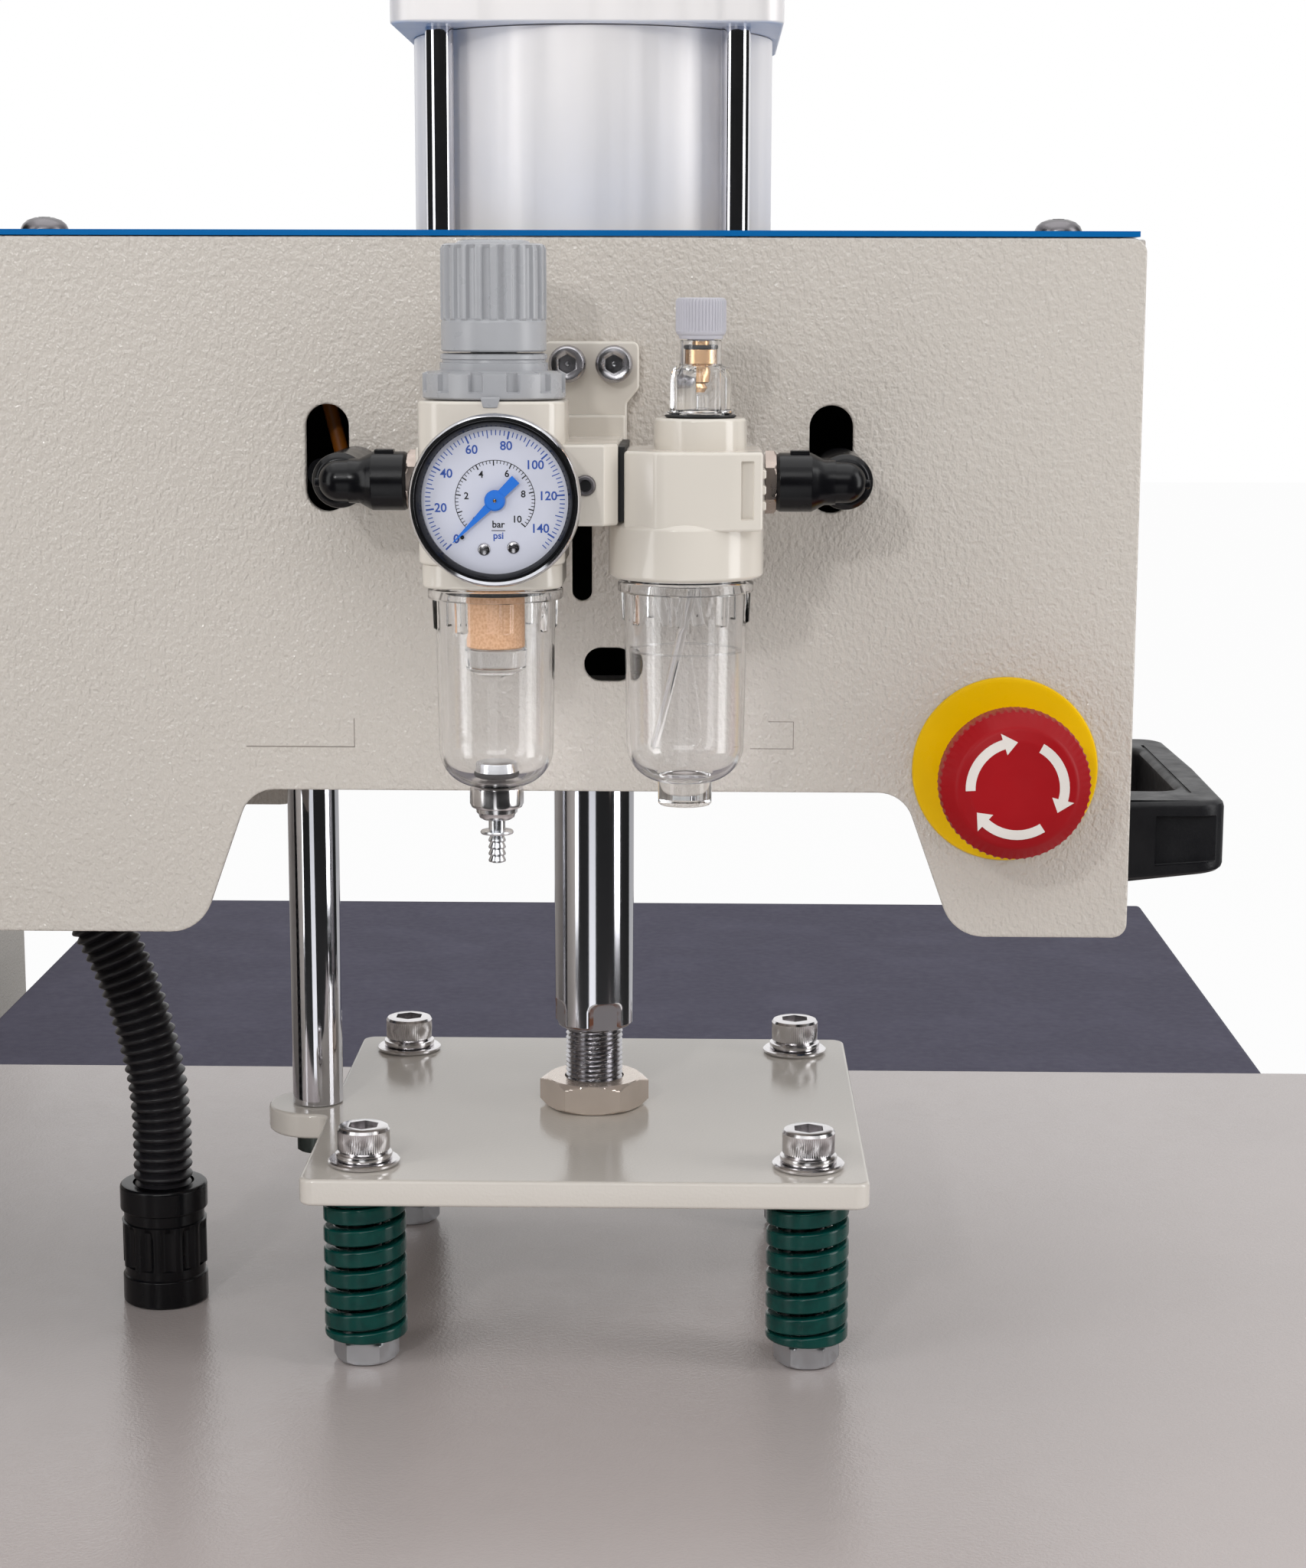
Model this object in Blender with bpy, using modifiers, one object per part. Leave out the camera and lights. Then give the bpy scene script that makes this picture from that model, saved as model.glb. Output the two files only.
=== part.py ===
"""Two-station pneumatic heat press: a head on shuttle rails presses a sprung hot platen onto either table.

Metres, +Z up, +X towards the operator, origin under the middle of the bed. The head rests at the -Y station.
"""

import math

import bmesh
import bpy
from mathutils import Matrix, Vector

# Shared clearances
GAP = 0.0003
OVERRUN = 0.01

# Bed, feet and the two tables
BED_MARGIN = 0.02
BED_DEPTH = 0.89
BED_HEIGHT = 0.04
BED_WALL = 0.003
BED_EDGE = 0.004
FOOT_HEIGHT = 0.03
FOOT_RADIUS = 0.026
FOOT_INSET = 0.045
TABLE_GAP = 0.08
TABLE_BASE_HEIGHT = 0.1291
TABLE_BASE_INSET = 0.022
TABLE_BASE_WALL = 0.003
TABLE_BASE_EDGE = 0.006
PAD_LENGTH = 0.6
PAD_WIDTH = 0.686
PAD_THICKNESS = 0.01
PAD_EDGE = 0.003

# Place of the cylinder's axis on the bed, and of the tables from it
AXIS_X = 0.1
TABLE_OFFSET_X = -0.016

# Hot platen and its cover
OPENING = 0.0415
PLATEN_LENGTH = 0.5
PLATEN_WIDTH = 0.586
PLATEN_THICKNESS = 0.02
PLATEN_EDGE = 0.0015
COVER_MARGIN = 0.015
COVER_RISE = 0.018
COVER_SKIRT = 0.03
COVER_WALL = 0.002
COVER_EDGE = 0.0015

# Sprung bolts between the platen and the mount plate
BOLT_SPACING = 0.132
BOLT_RADIUS = 0.005
BOLT_HOLE_PLAY = 0.0004
BOLT_HEAD_RADIUS = 0.0078
BOLT_HEAD_HEIGHT = 0.0078
BOLT_SOCKET_RADIUS = 0.0046
BOLT_SOCKET_DEPTH = 0.005
WASHER_RADIUS = 0.0106
WASHER_THICKNESS = 0.0014
LOCK_WASHER_RADIUS = 0.0085
LOCK_WASHER_THICKNESS = 0.0022
NUT_FLATS = 0.017
NUT_HEIGHT = 0.0072
SPRING_OUTER_RADIUS = 0.0125
SPRING_WIRE_RADIUS = 0.0021
SPRING_LENGTH = 0.0444
SPRING_TURNS = 7.0
SPRING_END_TURNS = 0.75
SPRING_END_PITCH = 0.0047
SPRING_POINTS_A_TURN = 10

# Mount plate, piston rod and guide rod
MOUNT_SIZE = 0.167
MOUNT_THICKNESS = 0.008
MOUNT_CORNER = 0.004
EAR_RADIUS = 0.0155
EAR_FILLET = 0.004
ROD_RADIUS = 0.0125
ROD_THREAD_RADIUS = 0.009
ROD_THREAD_LENGTH = 0.0265
ROD_CHAMFER = 0.0012
ROD_FLAT_HEIGHT = 0.009
ROD_FLAT_ACROSS = 0.0224
ROD_FLAT_TURN_DEG = 20.0
ROD_NUT_FLATS = 0.03
ROD_NUT_HEIGHT = 0.0092
GUIDE_DISTANCE = 0.0885
GUIDE_RADIUS = 0.008
GUIDE_RISE = 0.079
GUIDE_SPIGOT_RADIUS = 0.005
GUIDE_BOLT_FLATS = 0.013
GUIDE_BOLT_HEIGHT = 0.007
PISTON_HEIGHT = 0.025
PISTON_PLACE = 0.088
PISTON_PLAY = 0.0003

# Head box
ROD_SHOW = 0.131
HEAD_HALF_WIDTH = 0.105
HEAD_SHEET = 0.003
HEAD_FRONT = 0.152
HEAD_TOP_RISE = 0.1385
NOTCH_DROP = 0.012
NOTCH_LEFT = 0.0915
NOTCH_RIGHT = 0.0895
LEG_LENGTH = 0.0405
LEG_SLANT = 0.0145
NOTCH_FILLET = 0.01
LEG_FILLET = 0.012
HEAD_CORNER = 0.004
STEP_BACK = 0.405
STEP_RISE = 0.0765
STEP_FILLET = 0.015
BASE_PLATE_THICKNESS = 0.008
BASE_PLATE_BACK = 0.232
BASE_PLATE_FRONT = 0.078
BUSH_RADIUS = 0.014
BUSH_HEIGHT = 0.022
COVER_SHEET = 0.0015
COVER_HOLE_PLAY = 0.004
SCREW_DOME_RADIUS = 0.0062
SCREW_DOME_HEIGHT = 0.0034
SCREW_INSET = 0.016
SCREW_FRONT = 0.13
SCREW_PITCH = 0.277
SCREW_COUNT = 3

# Slots and marks of the near side plate
PORT_SLOT_WIDTH = 0.0118
PORT_SLOT_RISE = 0.0185
PORT_SLOT_DROP = 0.0105
PORT_SLOT_SPREAD = 0.0683
MIDDLE_SLOT_FORWARD = 0.0008
MIDDLE_SLOT_WIDTH = 0.0054
MIDDLE_SLOT_DROP = 0.0347
MIDDLE_SLOT_LENGTH = 0.03
CROSS_SLOT_FORWARD = 0.0228
CROSS_SLOT_LENGTH = 0.0428
CROSS_SLOT_WIDTH = 0.0093
CROSS_SLOT_DROP = 0.0522

# Pneumatic cylinder
CAP_SIZE = 0.112
CAP_HEIGHT = 0.038
CAP_EDGE = 0.004
BARREL_RADIUS = 0.05375
BARREL_WALL = 0.0035
BARREL_LENGTH = 0.152
TIE_SPACING = 0.085
TIE_RADIUS = 0.0041
TIE_NUT_FLATS = 0.013
TIE_NUT_HEIGHT = 0.008
AIR_TUBE_RADIUS = 0.004
AIR_FITTING_RADIUS = 0.0075
AIR_FITTING_LENGTH = 0.012
AIR_TUBE_REACH = 0.026
AIR_TUBE_BEND = 0.012
PORT_BELOW_TOP = 0.016

# Conduit from the head to the platen cover
CONDUIT_RADIUS = 0.00925
CONDUIT_ROOT_RADIUS = 0.0079
CONDUIT_BORE_RADIUS = 0.006
CONDUIT_RIB_PITCH = 0.00327
CONDUIT_SHIFT_Y = -0.015
CONNECTOR_BACK = 0.136
CONNECTOR_RADIUS = 0.0133
CONNECTOR_HEIGHT = 0.0302
COLLAR_RADIUS = 0.0137
COLLAR_HEIGHT = 0.008
CONDUIT_TOP_BACK = 0.18

# Rear box, rails and carriage
REAR_BOX_DEPTH = 0.115
REAR_BOX_INSET = 0.006
REAR_BOX_WALL = 0.003
REAR_BOX_EDGE = 0.005
RAIL_WIDTH = 0.015
RAIL_HEIGHT = 0.017
RAIL_SPACING = 0.06
RAIL_INSET = 0.02
CARRIAGE_THICKNESS = 0.01
CARRIAGE_LENGTH = 0.216
CARRIAGE_DEPTH = 0.112
BLOCK_WIDTH = 0.034
BLOCK_LENGTH = 0.2
BLOCK_GROUND = 0.0045

# Handle and controller on the head's front
HANDLE_LENGTH = 0.125
HANDLE_REACH = 0.0357
HANDLE_HEIGHT = 0.0245
HANDLE_LEG = 0.0205
HANDLE_BAR = 0.0125
HANDLE_CORNER = 0.007
HANDLE_INNER_CORNER = 0.007
HANDLE_EDGE = 0.0018
HANDLE_RISE = 0.0067
CONTROLLER_SIZE = 0.096
CONTROLLER_PROUD = 0.0045
CONTROLLER_DROP = 0.022
CONTROLLER_BORDER = 0.008
CONTROLLER_RECESS = 0.0015
CONTROLLER_ROOT = 0.002

# Filter regulator and lubricator
FRL_X = 0.0046
FRL_STANDOFF = 0.037
UNIT_SPACING = 0.0495
PORT_RISE = 0.0755
BODY_WIDTH = 0.0392
BODY_DEPTH = 0.039
BODY_TOP_RISE = 0.021
BODY_DROP = 0.0265
BODY_EDGE = 0.005
RING_RADIUS = 0.0184
RING_HEIGHT = 0.0068
BONNET_RADIUS = 0.0141
BONNET_HEIGHT = 0.0048
KNOB_RADIUS = 0.0136
KNOB_HEIGHT = 0.0282
KNOB_DOME = 0.0022
SPIGOT_RADIUS = 0.006
SPIGOT_HEIGHT = 0.006
GAUGE_RADIUS = 0.0216
GAUGE_DEPTH = 0.0135
GAUGE_LIP = 0.0016
GAUGE_RECESS = 0.004
GAUGE_SHIFT_X = 0.0022
GAUGE_RISE = -0.003
GAUGE_STEM_RADIUS = 0.006
POINTER_LENGTH = 0.0155
POINTER_TAIL = 0.0077
POINTER_HALF_WIDTH = 0.0012
POINTER_HUB_RADIUS = 0.0025
POINTER_THICKNESS = 0.0006
POINTER_LIFT = 0.0009
POINTER_ZERO_DEG = 225.0
BOWL_TOP_RADIUS = 0.0179
BOWL_RING_HEIGHT = 0.0038
BOWL_RADIUS = 0.016
BOWL_WALL = 0.002
BOWL_HEIGHT = 0.053
BOWL_ROUND = 0.009
DRAIN_RADIUS = 0.0074
DRAIN_BODY_HEIGHT = 0.0054
DRAIN_CONE_HEIGHT = 0.0032
DRAIN_STEM_RADIUS = 0.0023
DRAIN_STEM_LENGTH = 0.0116
DRAIN_STEM_HIDDEN = 0.0055
DRAIN_FLANGE_RADIUS = 0.0044
DRAIN_FLANGE_DROP = 0.003
DRAIN_FLANGE_THICKNESS = 0.001
SKIRT_RADIUS = 0.02
SKIRT_HEIGHT = 0.013
SHOULDER_DROP = 0.0115
NECK_RADIUS = 0.0119
NECK_RISE = 0.0165
SHOULDER_RISE = 0.0085
DOME_SHIFT_X = 0.0036
DOME_RADIUS = 0.0078
DOME_HEIGHT = 0.0164
DOME_CROWN_RADIUS = 0.005
LUB_KNOB_RADIUS = 0.0066
LUB_KNOB_HEIGHT = 0.0102
LUB_SPINDLE_RADIUS = 0.0034
LUB_SPINDLE_LENGTH = 0.0032
LUB_BOWL_RADIUS = 0.0164
LUB_BOWL_HEIGHT = 0.0535
LUB_CAP_RADIUS = 0.0072
LUB_CAP_HEIGHT = 0.0064
BRACKET_WIDTH = 0.0258
BRACKET_TOP_RISE = 0.0355
BRACKET_THICKNESS = 0.004
BRACKET_DROP = 0.0115
BRACKET_CORNER = 0.003
BRACKET_SHIFT_X = -0.0011
BRACKET_NECK_WIDTH = 0.0088
BRACKET_SCREW_SPACING = 0.0125
BRACKET_SCREW_RADIUS = 0.005
BRACKET_SCREW_HEIGHT = 0.005
BRACKET_SCREW_DROP = 0.006
SPACER_HALF_HEIGHT = 0.0115
SPACER_DEPTH = 0.036
ELBOW_RADIUS = 0.0074
ELBOW_HEX_RADIUS = 0.0072
ELBOW_HEX_LENGTH = 0.0032
ELBOW_TUBE_RADIUS = 0.004
ELBOW_TUBE_LENGTH = 0.03
ELBOW_REACH = 0.0218
ELBOW_BEND = 0.007

# Emergency stop
STOP_FORWARD = 0.1171
STOP_BELOW_NOTCH = -0.007
STOP_PLATE_RADIUS = 0.0255
STOP_PLATE_THICKNESS = 0.0016
STOP_BARREL_RADIUS = 0.011
STOP_BARREL_LENGTH = 0.045
STOP_NUT_RADIUS = 0.0145
STOP_NUT_THICKNESS = 0.006
STOP_HOLE_PLAY = 0.0004
STOP_NECK_RADIUS = 0.0135
STOP_NECK_LENGTH = 0.0125
STOP_BORE_RADIUS = 0.0075
STOP_BORE_DEPTH = 0.03
STOP_STEM_RADIUS = 0.0068
STOP_STEM_LENGTH = 0.02
STOP_CAP_RADIUS = 0.0202
STOP_CAP_RIM = 0.006
STOP_CAP_HEIGHT = 0.0145
STOP_CAP_SKIRT = 0.0055
STOP_CAP_HOLLOW_RADIUS = 0.0145
STOP_TRAVEL_ROOM = 0.0045
STOP_PIN_RADIUS = 0.0045
STOP_PIN_LENGTH = 0.003

# Fineness of round shapes
TURN_STEPS = 24
SMALL_TURN_STEPS = 14
ARC_STEPS = 4

# Levels and places that follow from the sizes above
bed_bottom = FOOT_HEIGHT + GAP
bed_top = bed_bottom + BED_HEIGHT
table_base_bottom = bed_top + GAP
table_base_top = table_base_bottom + TABLE_BASE_HEIGHT
pad_bottom = table_base_top + GAP
pad_top = pad_bottom + PAD_THICKNESS
platen_bottom = pad_top + OPENING
platen_top = platen_bottom + PLATEN_THICKNESS
cover_top = platen_top + COVER_RISE
nut_bottom = cover_top + GAP
nut_top = nut_bottom + NUT_HEIGHT
spring_bottom = nut_top + GAP
spring_top = spring_bottom + SPRING_LENGTH
mount_bottom = spring_top + GAP
mount_top = mount_bottom + MOUNT_THICKNESS
base_plate_bottom = mount_top + ROD_SHOW
base_plate_top = base_plate_bottom + BASE_PLATE_THICKNESS
notch_z = base_plate_bottom - NOTCH_DROP
leg_z = notch_z - LEG_LENGTH
head_top = base_plate_bottom + HEAD_TOP_RISE
carriage_top = leg_z + STEP_RISE
step_z = carriage_top + GAP
block_top = carriage_top - CARRIAGE_THICKNESS
rear_box_top = block_top - BLOCK_GROUND - RAIL_HEIGHT - RAIL_WIDTH / 2 - GAP
front_cap_bottom = base_plate_top + GAP
front_cap_top = front_cap_bottom + CAP_HEIGHT
barrel_bottom = front_cap_top + GAP
barrel_top = barrel_bottom + BARREL_LENGTH
top_cap_bottom = barrel_top + GAP
top_cap_top = top_cap_bottom + CAP_HEIGHT
piston_bottom = barrel_bottom + PISTON_PLACE

station_pitch = PAD_LENGTH + TABLE_GAP
bed_length = station_pitch + PAD_LENGTH + 2 * BED_MARGIN
rail_length = bed_length - 2 * RAIL_INSET
head_y = -station_pitch / 2
near_face_y = head_y - HEAD_HALF_WIDTH
table_x = AXIS_X + TABLE_OFFSET_X
front_x = AXIS_X + HEAD_FRONT
rear_box_x = -BED_DEPTH / 2 + REAR_BOX_INSET + REAR_BOX_DEPTH / 2
head_back_x = rear_box_x - CARRIAGE_DEPTH / 2
port_z = base_plate_bottom + PORT_RISE
frl_y = near_face_y - FRL_STANDOFF
frl_x = AXIS_X + FRL_X
reg_x = frl_x - UNIT_SPACING / 2
lub_x = frl_x + UNIT_SPACING / 2
body_top = port_z + BODY_TOP_RISE
body_bottom = port_z - BODY_DROP
guide_x = AXIS_X - GUIDE_DISTANCE
connector_x = AXIS_X - CONNECTOR_BACK
conduit_y = head_y + CONDUIT_SHIFT_Y

AXIS_Z = Vector((0, 0, 1))


def clear_scene():
    for obj in list(bpy.data.objects):
        bpy.data.objects.remove(obj, do_unlink=True)


clear_scene()
parts = bpy.data.collections.new("pneumatic_heat_press")
cutters = bpy.data.collections.new("cutters")
bpy.context.scene.collection.children.link(parts)
bpy.context.scene.collection.children.link(cutters)


def surface(name, colour, roughness, metallic=0.0):
    """A Principled material of one colour."""
    material = bpy.data.materials.new(name)
    material.use_nodes = True
    shader = material.node_tree.nodes["Principled BSDF"]
    shader.inputs["Base Color"].default_value = (*colour, 1)
    shader.inputs["Roughness"].default_value = roughness
    shader.inputs["Metallic"].default_value = metallic
    return material


cream_paint = surface("cream_paint", (0.6, 0.56, 0.5), 0.4)
cover_paint = surface("cover_paint", (0.5, 0.47, 0.45), 0.35)
plate_paint = surface("plate_paint", (0.62, 0.58, 0.53), 0.25)
cream_body = surface("cream_body", (0.72, 0.69, 0.6), 0.3)
blue_film = surface("blue_film", (0.01, 0.2, 0.53), 0.35)
pad_grey = surface("pad_grey", (0.12, 0.11, 0.15), 0.6)
black_plastic = surface("black_plastic", (0.02, 0.02, 0.022), 0.4)
grey_plastic = surface("grey_plastic", (0.35, 0.35, 0.36), 0.4)
clear_plastic = surface("clear_plastic", (0.85, 0.86, 0.87), 0.1)
chrome = surface("chrome", (0.75, 0.75, 0.77), 0.1, 1)
zinc = surface("zinc", (0.7, 0.72, 0.74), 0.3, 1)
nickel = surface("nickel", (0.6, 0.55, 0.48), 0.25, 1)
aluminium = surface("aluminium", (0.7, 0.7, 0.72), 0.35, 1)
spring_green = surface("spring_green", (0, 0.09, 0.06), 0.3)
stop_red = surface("stop_red", (0.5, 0.01, 0.015), 0.35)
stop_yellow = surface("stop_yellow", (0.8, 0.6, 0.01), 0.4)
pointer_blue = surface("pointer_blue", (0.02, 0.25, 0.8), 0.4)
rubber = surface("rubber", (0.02, 0.02, 0.02), 0.8)


def added(name, data, place=(0, 0, 0), collection=parts):
    """A new object in a collection, or a hidden wire helper where that is the cutters' one."""
    obj = bpy.data.objects.new(name, data)
    obj.location = place
    collection.objects.link(obj)
    if collection is cutters:
        obj.hide_render = True
        obj.display_type = "WIRE"
    return obj


def empty(name, place, parent=None):
    """An empty on a joint's axis, which carries the pieces that move with it."""
    obj = added(name, None, place)
    if parent:
        attach(obj, parent)
    return obj


places = {}


def attach(obj, parent):
    """Parents an object and keeps it where it stands."""
    places.setdefault(parent.name, Vector(parent.location))
    places.setdefault(obj.name, Vector(obj.location))
    obj.parent = parent
    obj.matrix_parent_inverse = Matrix.Translation(places[parent.name]).inverted()


def finish(obj, material, parent):
    """Gives a piece its material and its carrier, and shades its round faces smooth."""
    obj.data.materials.append(material)
    if obj.type == "MESH":
        obj.data.shade_smooth()
        obj.data.set_sharp_from_angle(angle=math.radians(35))
    attach(obj, parent)
    return obj


def box(name, low, high, collection=parts):
    """A box between two corners, with its origin at its middle."""
    low, high = Vector(low), Vector(high)
    mesh = bpy.data.meshes.new(name)
    shape = bmesh.new()
    bmesh.ops.create_cube(shape, size=1)
    bmesh.ops.scale(shape, vec=high - low, verts=shape.verts)
    shape.to_mesh(mesh)
    shape.free()
    return added(name, mesh, (low + high) / 2, collection)


def rod(name, radius, start, end, sides=TURN_STEPS, collection=parts, flats=False):
    """A cylinder or prism between two points, with its origin at the first."""
    start, end = Vector(start), Vector(end)
    mesh = bpy.data.meshes.new(name)
    shape = bmesh.new()
    length = (end - start).length
    bmesh.ops.create_cone(
        shape, cap_ends=True, segments=sides, radius1=radius, radius2=radius, depth=length
    )
    turn = math.pi / sides if flats else 0
    bmesh.ops.rotate(shape, matrix=Matrix.Rotation(turn, 3, "Z"), verts=shape.verts)
    bmesh.ops.translate(shape, vec=AXIS_Z * length / 2, verts=shape.verts)
    shape.to_mesh(mesh)
    shape.free()
    obj = added(name, mesh, start, collection)
    obj.rotation_mode = "QUATERNION"
    obj.rotation_quaternion = AXIS_Z.rotation_difference(end - start)
    return obj


def turned(name, profile, place, steps=TURN_STEPS, ring=False, axis=(0, 0, 1), collection=parts):
    """A profile of (radius, height) points, run down the outer side and turned about its axis."""
    mesh = bpy.data.meshes.new(name)
    edges = [(i, i + 1) for i in range(len(profile) - 1)]
    if ring:
        edges.append((len(profile) - 1, 0))
    mesh.from_pydata([(radius, 0, height) for radius, height in profile], edges, [])
    obj = added(name, mesh, place, collection)
    obj.rotation_mode = "QUATERNION"
    obj.rotation_quaternion = AXIS_Z.rotation_difference(Vector(axis))
    screw = obj.modifiers.new("turn", "SCREW")
    screw.steps = steps
    screw.render_steps = steps
    screw.use_merge_vertices = True
    screw.merge_threshold = GAP / 100
    return obj


def rounded(corners, steps=ARC_STEPS):
    """The points of a closed outline whose corners are (x, y, radius)."""
    points = []
    for index, (x, y, radius) in enumerate(corners):
        corner = Vector((x, y))
        before = (Vector(corners[index - 1][:2]) - corner).normalized()
        after = (Vector(corners[(index + 1) % len(corners)][:2]) - corner).normalized()
        if radius == 0:
            points.append(corner)
            continue
        half = before.angle(after) / 2
        centre = corner + (before + after).normalized() * radius / math.sin(half)
        start = corner + before * radius / math.tan(half) - centre
        end = corner + after * radius / math.tan(half) - centre
        sweep = start.angle_signed(end)
        for step in range(steps + 1):
            points.append(centre + Matrix.Rotation(-sweep * step / steps, 2) @ start)
    return points


def slot(x, y, half_length, half_width, upright):
    """The outline of a slot with round ends, along y if upright, else along x."""
    ends = []
    for side in (1, -1):
        for step in range(ARC_STEPS * 2 + 1):
            angle = math.pi * step / (ARC_STEPS * 2) + (0 if side == 1 else math.pi)
            along = side * (half_length - half_width) + half_width * math.sin(angle)
            across = half_width * math.cos(angle)
            ends.append(Vector((x + across, y + along) if upright else (x + along, y - across)))
    return ends


def circle(x, y, radius, steps=TURN_STEPS):
    return [
        Vector((x + radius * math.cos(turn), y + radius * math.sin(turn)))
        for turn in (2 * math.pi * step / steps for step in range(steps))
    ]


def flat_piece(name, outlines, thickness, place, facing="Z", collection=parts):
    """A flat outline with its holes, as thick as asked, about a middle plane that faces Z, Y or X."""
    curve = bpy.data.curves.new(name, "CURVE")
    curve.dimensions = "2D"
    curve.fill_mode = "BOTH"
    curve.extrude = thickness / 2
    for outline in outlines:
        spline = curve.splines.new("POLY")
        spline.points.add(len(outline) - 1)
        for point, (x, y) in zip(spline.points, outline):
            point.co = (x, y, 0, 1)
        spline.use_cyclic_u = True
    obj = added(name, curve, place, collection)
    if facing == "Y":
        obj.rotation_euler = (math.pi / 2, 0, 0)
    if facing == "X":
        obj.rotation_euler = (math.pi / 2, 0, math.pi / 2)
    return obj


def tube(name, points, radii, resolution=2, collection=parts):
    """A round tube along points, with one radius or one at each point."""
    curve = bpy.data.curves.new(name, "CURVE")
    curve.dimensions = "3D"
    curve.use_fill_caps = True
    curve.bevel_resolution = resolution
    widest = max(radii) if isinstance(radii, list) else radii
    curve.bevel_depth = widest
    spline = curve.splines.new("POLY")
    spline.points.add(len(points) - 1)
    for index, point in enumerate(points):
        spline.points[index].co = (*point, 1)
        spline.points[index].radius = radii[index] / widest if isinstance(radii, list) else 1
    return added(name, curve, (0, 0, 0), collection)


def as_mesh(obj):
    """The object as a welded mesh, so that it can be cut or joined."""
    bpy.context.view_layer.update()
    graph = bpy.context.evaluated_depsgraph_get()
    mesh = bpy.data.meshes.new_from_object(obj.evaluated_get(graph))
    shape = bmesh.new()
    shape.from_mesh(mesh)
    bmesh.ops.remove_doubles(shape, verts=shape.verts, dist=GAP / 100)
    bmesh.ops.recalc_face_normals(shape, faces=shape.faces)
    shape.to_mesh(mesh)
    shape.free()
    name, place, collection = obj.name, obj.matrix_world.copy(), obj.users_collection[0]
    bpy.data.objects.remove(obj, do_unlink=True)
    made = added(name, mesh, (0, 0, 0), collection)
    made.matrix_world = place
    return made


def combine(target, helpers, operation):
    """Joins helpers to a mesh or cuts them from it."""
    for helper in helpers:
        change = target.modifiers.new(helper.name, "BOOLEAN")
        change.operation = operation
        change.solver = "EXACT"
        change.object = helper
    return target


def soften(obj, width, segments=2, angle=50):
    """Rounds the sharp edges of a piece."""
    bevel = obj.modifiers.new("edges", "BEVEL")
    bevel.width = width
    bevel.segments = segments
    bevel.limit_method = "ANGLE"
    bevel.angle_limit = math.radians(angle)
    return obj


def shell(name, low, high, wall, edge):
    """A sheet box that is open underneath, with its upper and upright edges rounded."""
    low, high = Vector(low), Vector(high)
    case = soften(box(name, low - AXIS_Z * edge * 2, high), edge)
    wide = Vector((OVERRUN, OVERRUN, 0))
    foot_low = low - wide - AXIS_Z * (edge * 2 + OVERRUN)
    foot_high = Vector((high.x, high.y, low.z)) + wide
    inner_low = low + Vector((wall, wall, -OVERRUN))
    inner_high = high - Vector((wall, wall, wall))
    helpers = [box(name + "_trim", foot_low, foot_high, cutters)]
    helpers.append(box(name + "_hollow", inner_low, inner_high, cutters))
    return combine(case, helpers, "DIFFERENCE")


def bolt_places():
    """The four sprung bolts, near left first."""
    half = BOLT_SPACING / 2
    return [(AXIS_X + x * half, head_y + y * half) for y in (-1, 1) for x in (-1, 1)]


machine = empty("machine", (0, 0, 0))
head = empty("head_carrier", (rear_box_x, head_y, carriage_top), machine)
press = empty("press_carrier", (AXIS_X, head_y, mount_top), head)
platen = empty("platen_carrier", (AXIS_X, head_y, platen_bottom), press)


def make_bed():
    low = (-BED_DEPTH / 2, -bed_length / 2, bed_bottom)
    high = (BED_DEPTH / 2, bed_length / 2, bed_top)
    finish(shell("bed", low, high, BED_WALL, BED_EDGE), cream_paint, machine)
    reach_x = BED_DEPTH / 2 - FOOT_INSET
    reach_y = bed_length / 2 - FOOT_INSET
    for number, (x, y) in enumerate(((-1, -1), (1, -1), (-1, 1), (1, 1)), 1):
        pad_height = FOOT_HEIGHT / 2
        profile = [
            (0, FOOT_HEIGHT + BED_HEIGHT - BED_WALL),
            (BOLT_RADIUS, FOOT_HEIGHT + BED_HEIGHT - BED_WALL),
            (BOLT_RADIUS, pad_height),
            (FOOT_RADIUS, pad_height),
            (FOOT_RADIUS, 0),
            (0, 0),
        ]
        foot = turned(f"foot_{number}", profile, (x * reach_x, y * reach_y, 0), SMALL_TURN_STEPS)
        finish(foot, rubber, machine)


def make_tables():
    for name, side in (("near", -1), ("far", 1)):
        y = side * station_pitch / 2
        half_x = PAD_WIDTH / 2 - TABLE_BASE_INSET
        half_y = PAD_LENGTH / 2 - TABLE_BASE_INSET
        low = (table_x - half_x, y - half_y, table_base_bottom)
        high = (table_x + half_x, y + half_y, table_base_top)
        base = shell("table_base_" + name, low, high, TABLE_BASE_WALL, TABLE_BASE_EDGE)
        finish(base, cream_paint, machine)
        low = (table_x - PAD_WIDTH / 2, y - PAD_LENGTH / 2, pad_bottom)
        high = (table_x + PAD_WIDTH / 2, y + PAD_LENGTH / 2, pad_top)
        finish(soften(box("table_pad_" + name, low, high), PAD_EDGE), pad_grey, machine)


def make_rear_box():
    half_y = bed_length / 2 - REAR_BOX_INSET
    low = (rear_box_x - REAR_BOX_DEPTH / 2, -half_y, table_base_bottom)
    high = (rear_box_x + REAR_BOX_DEPTH / 2, half_y, rear_box_top)
    finish(shell("rear_box", low, high, REAR_BOX_WALL, REAR_BOX_EDGE), cream_paint, machine)
    for name, side in (("back", -1), ("front", 1)):
        x = rear_box_x + side * RAIL_SPACING / 2
        low = (x - RAIL_WIDTH / 2, -rail_length / 2, rear_box_top + GAP)
        high = (x + RAIL_WIDTH / 2, rail_length / 2, rear_box_top + GAP + RAIL_HEIGHT)
        finish(box("rail_" + name, low, high), chrome, machine)


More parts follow.
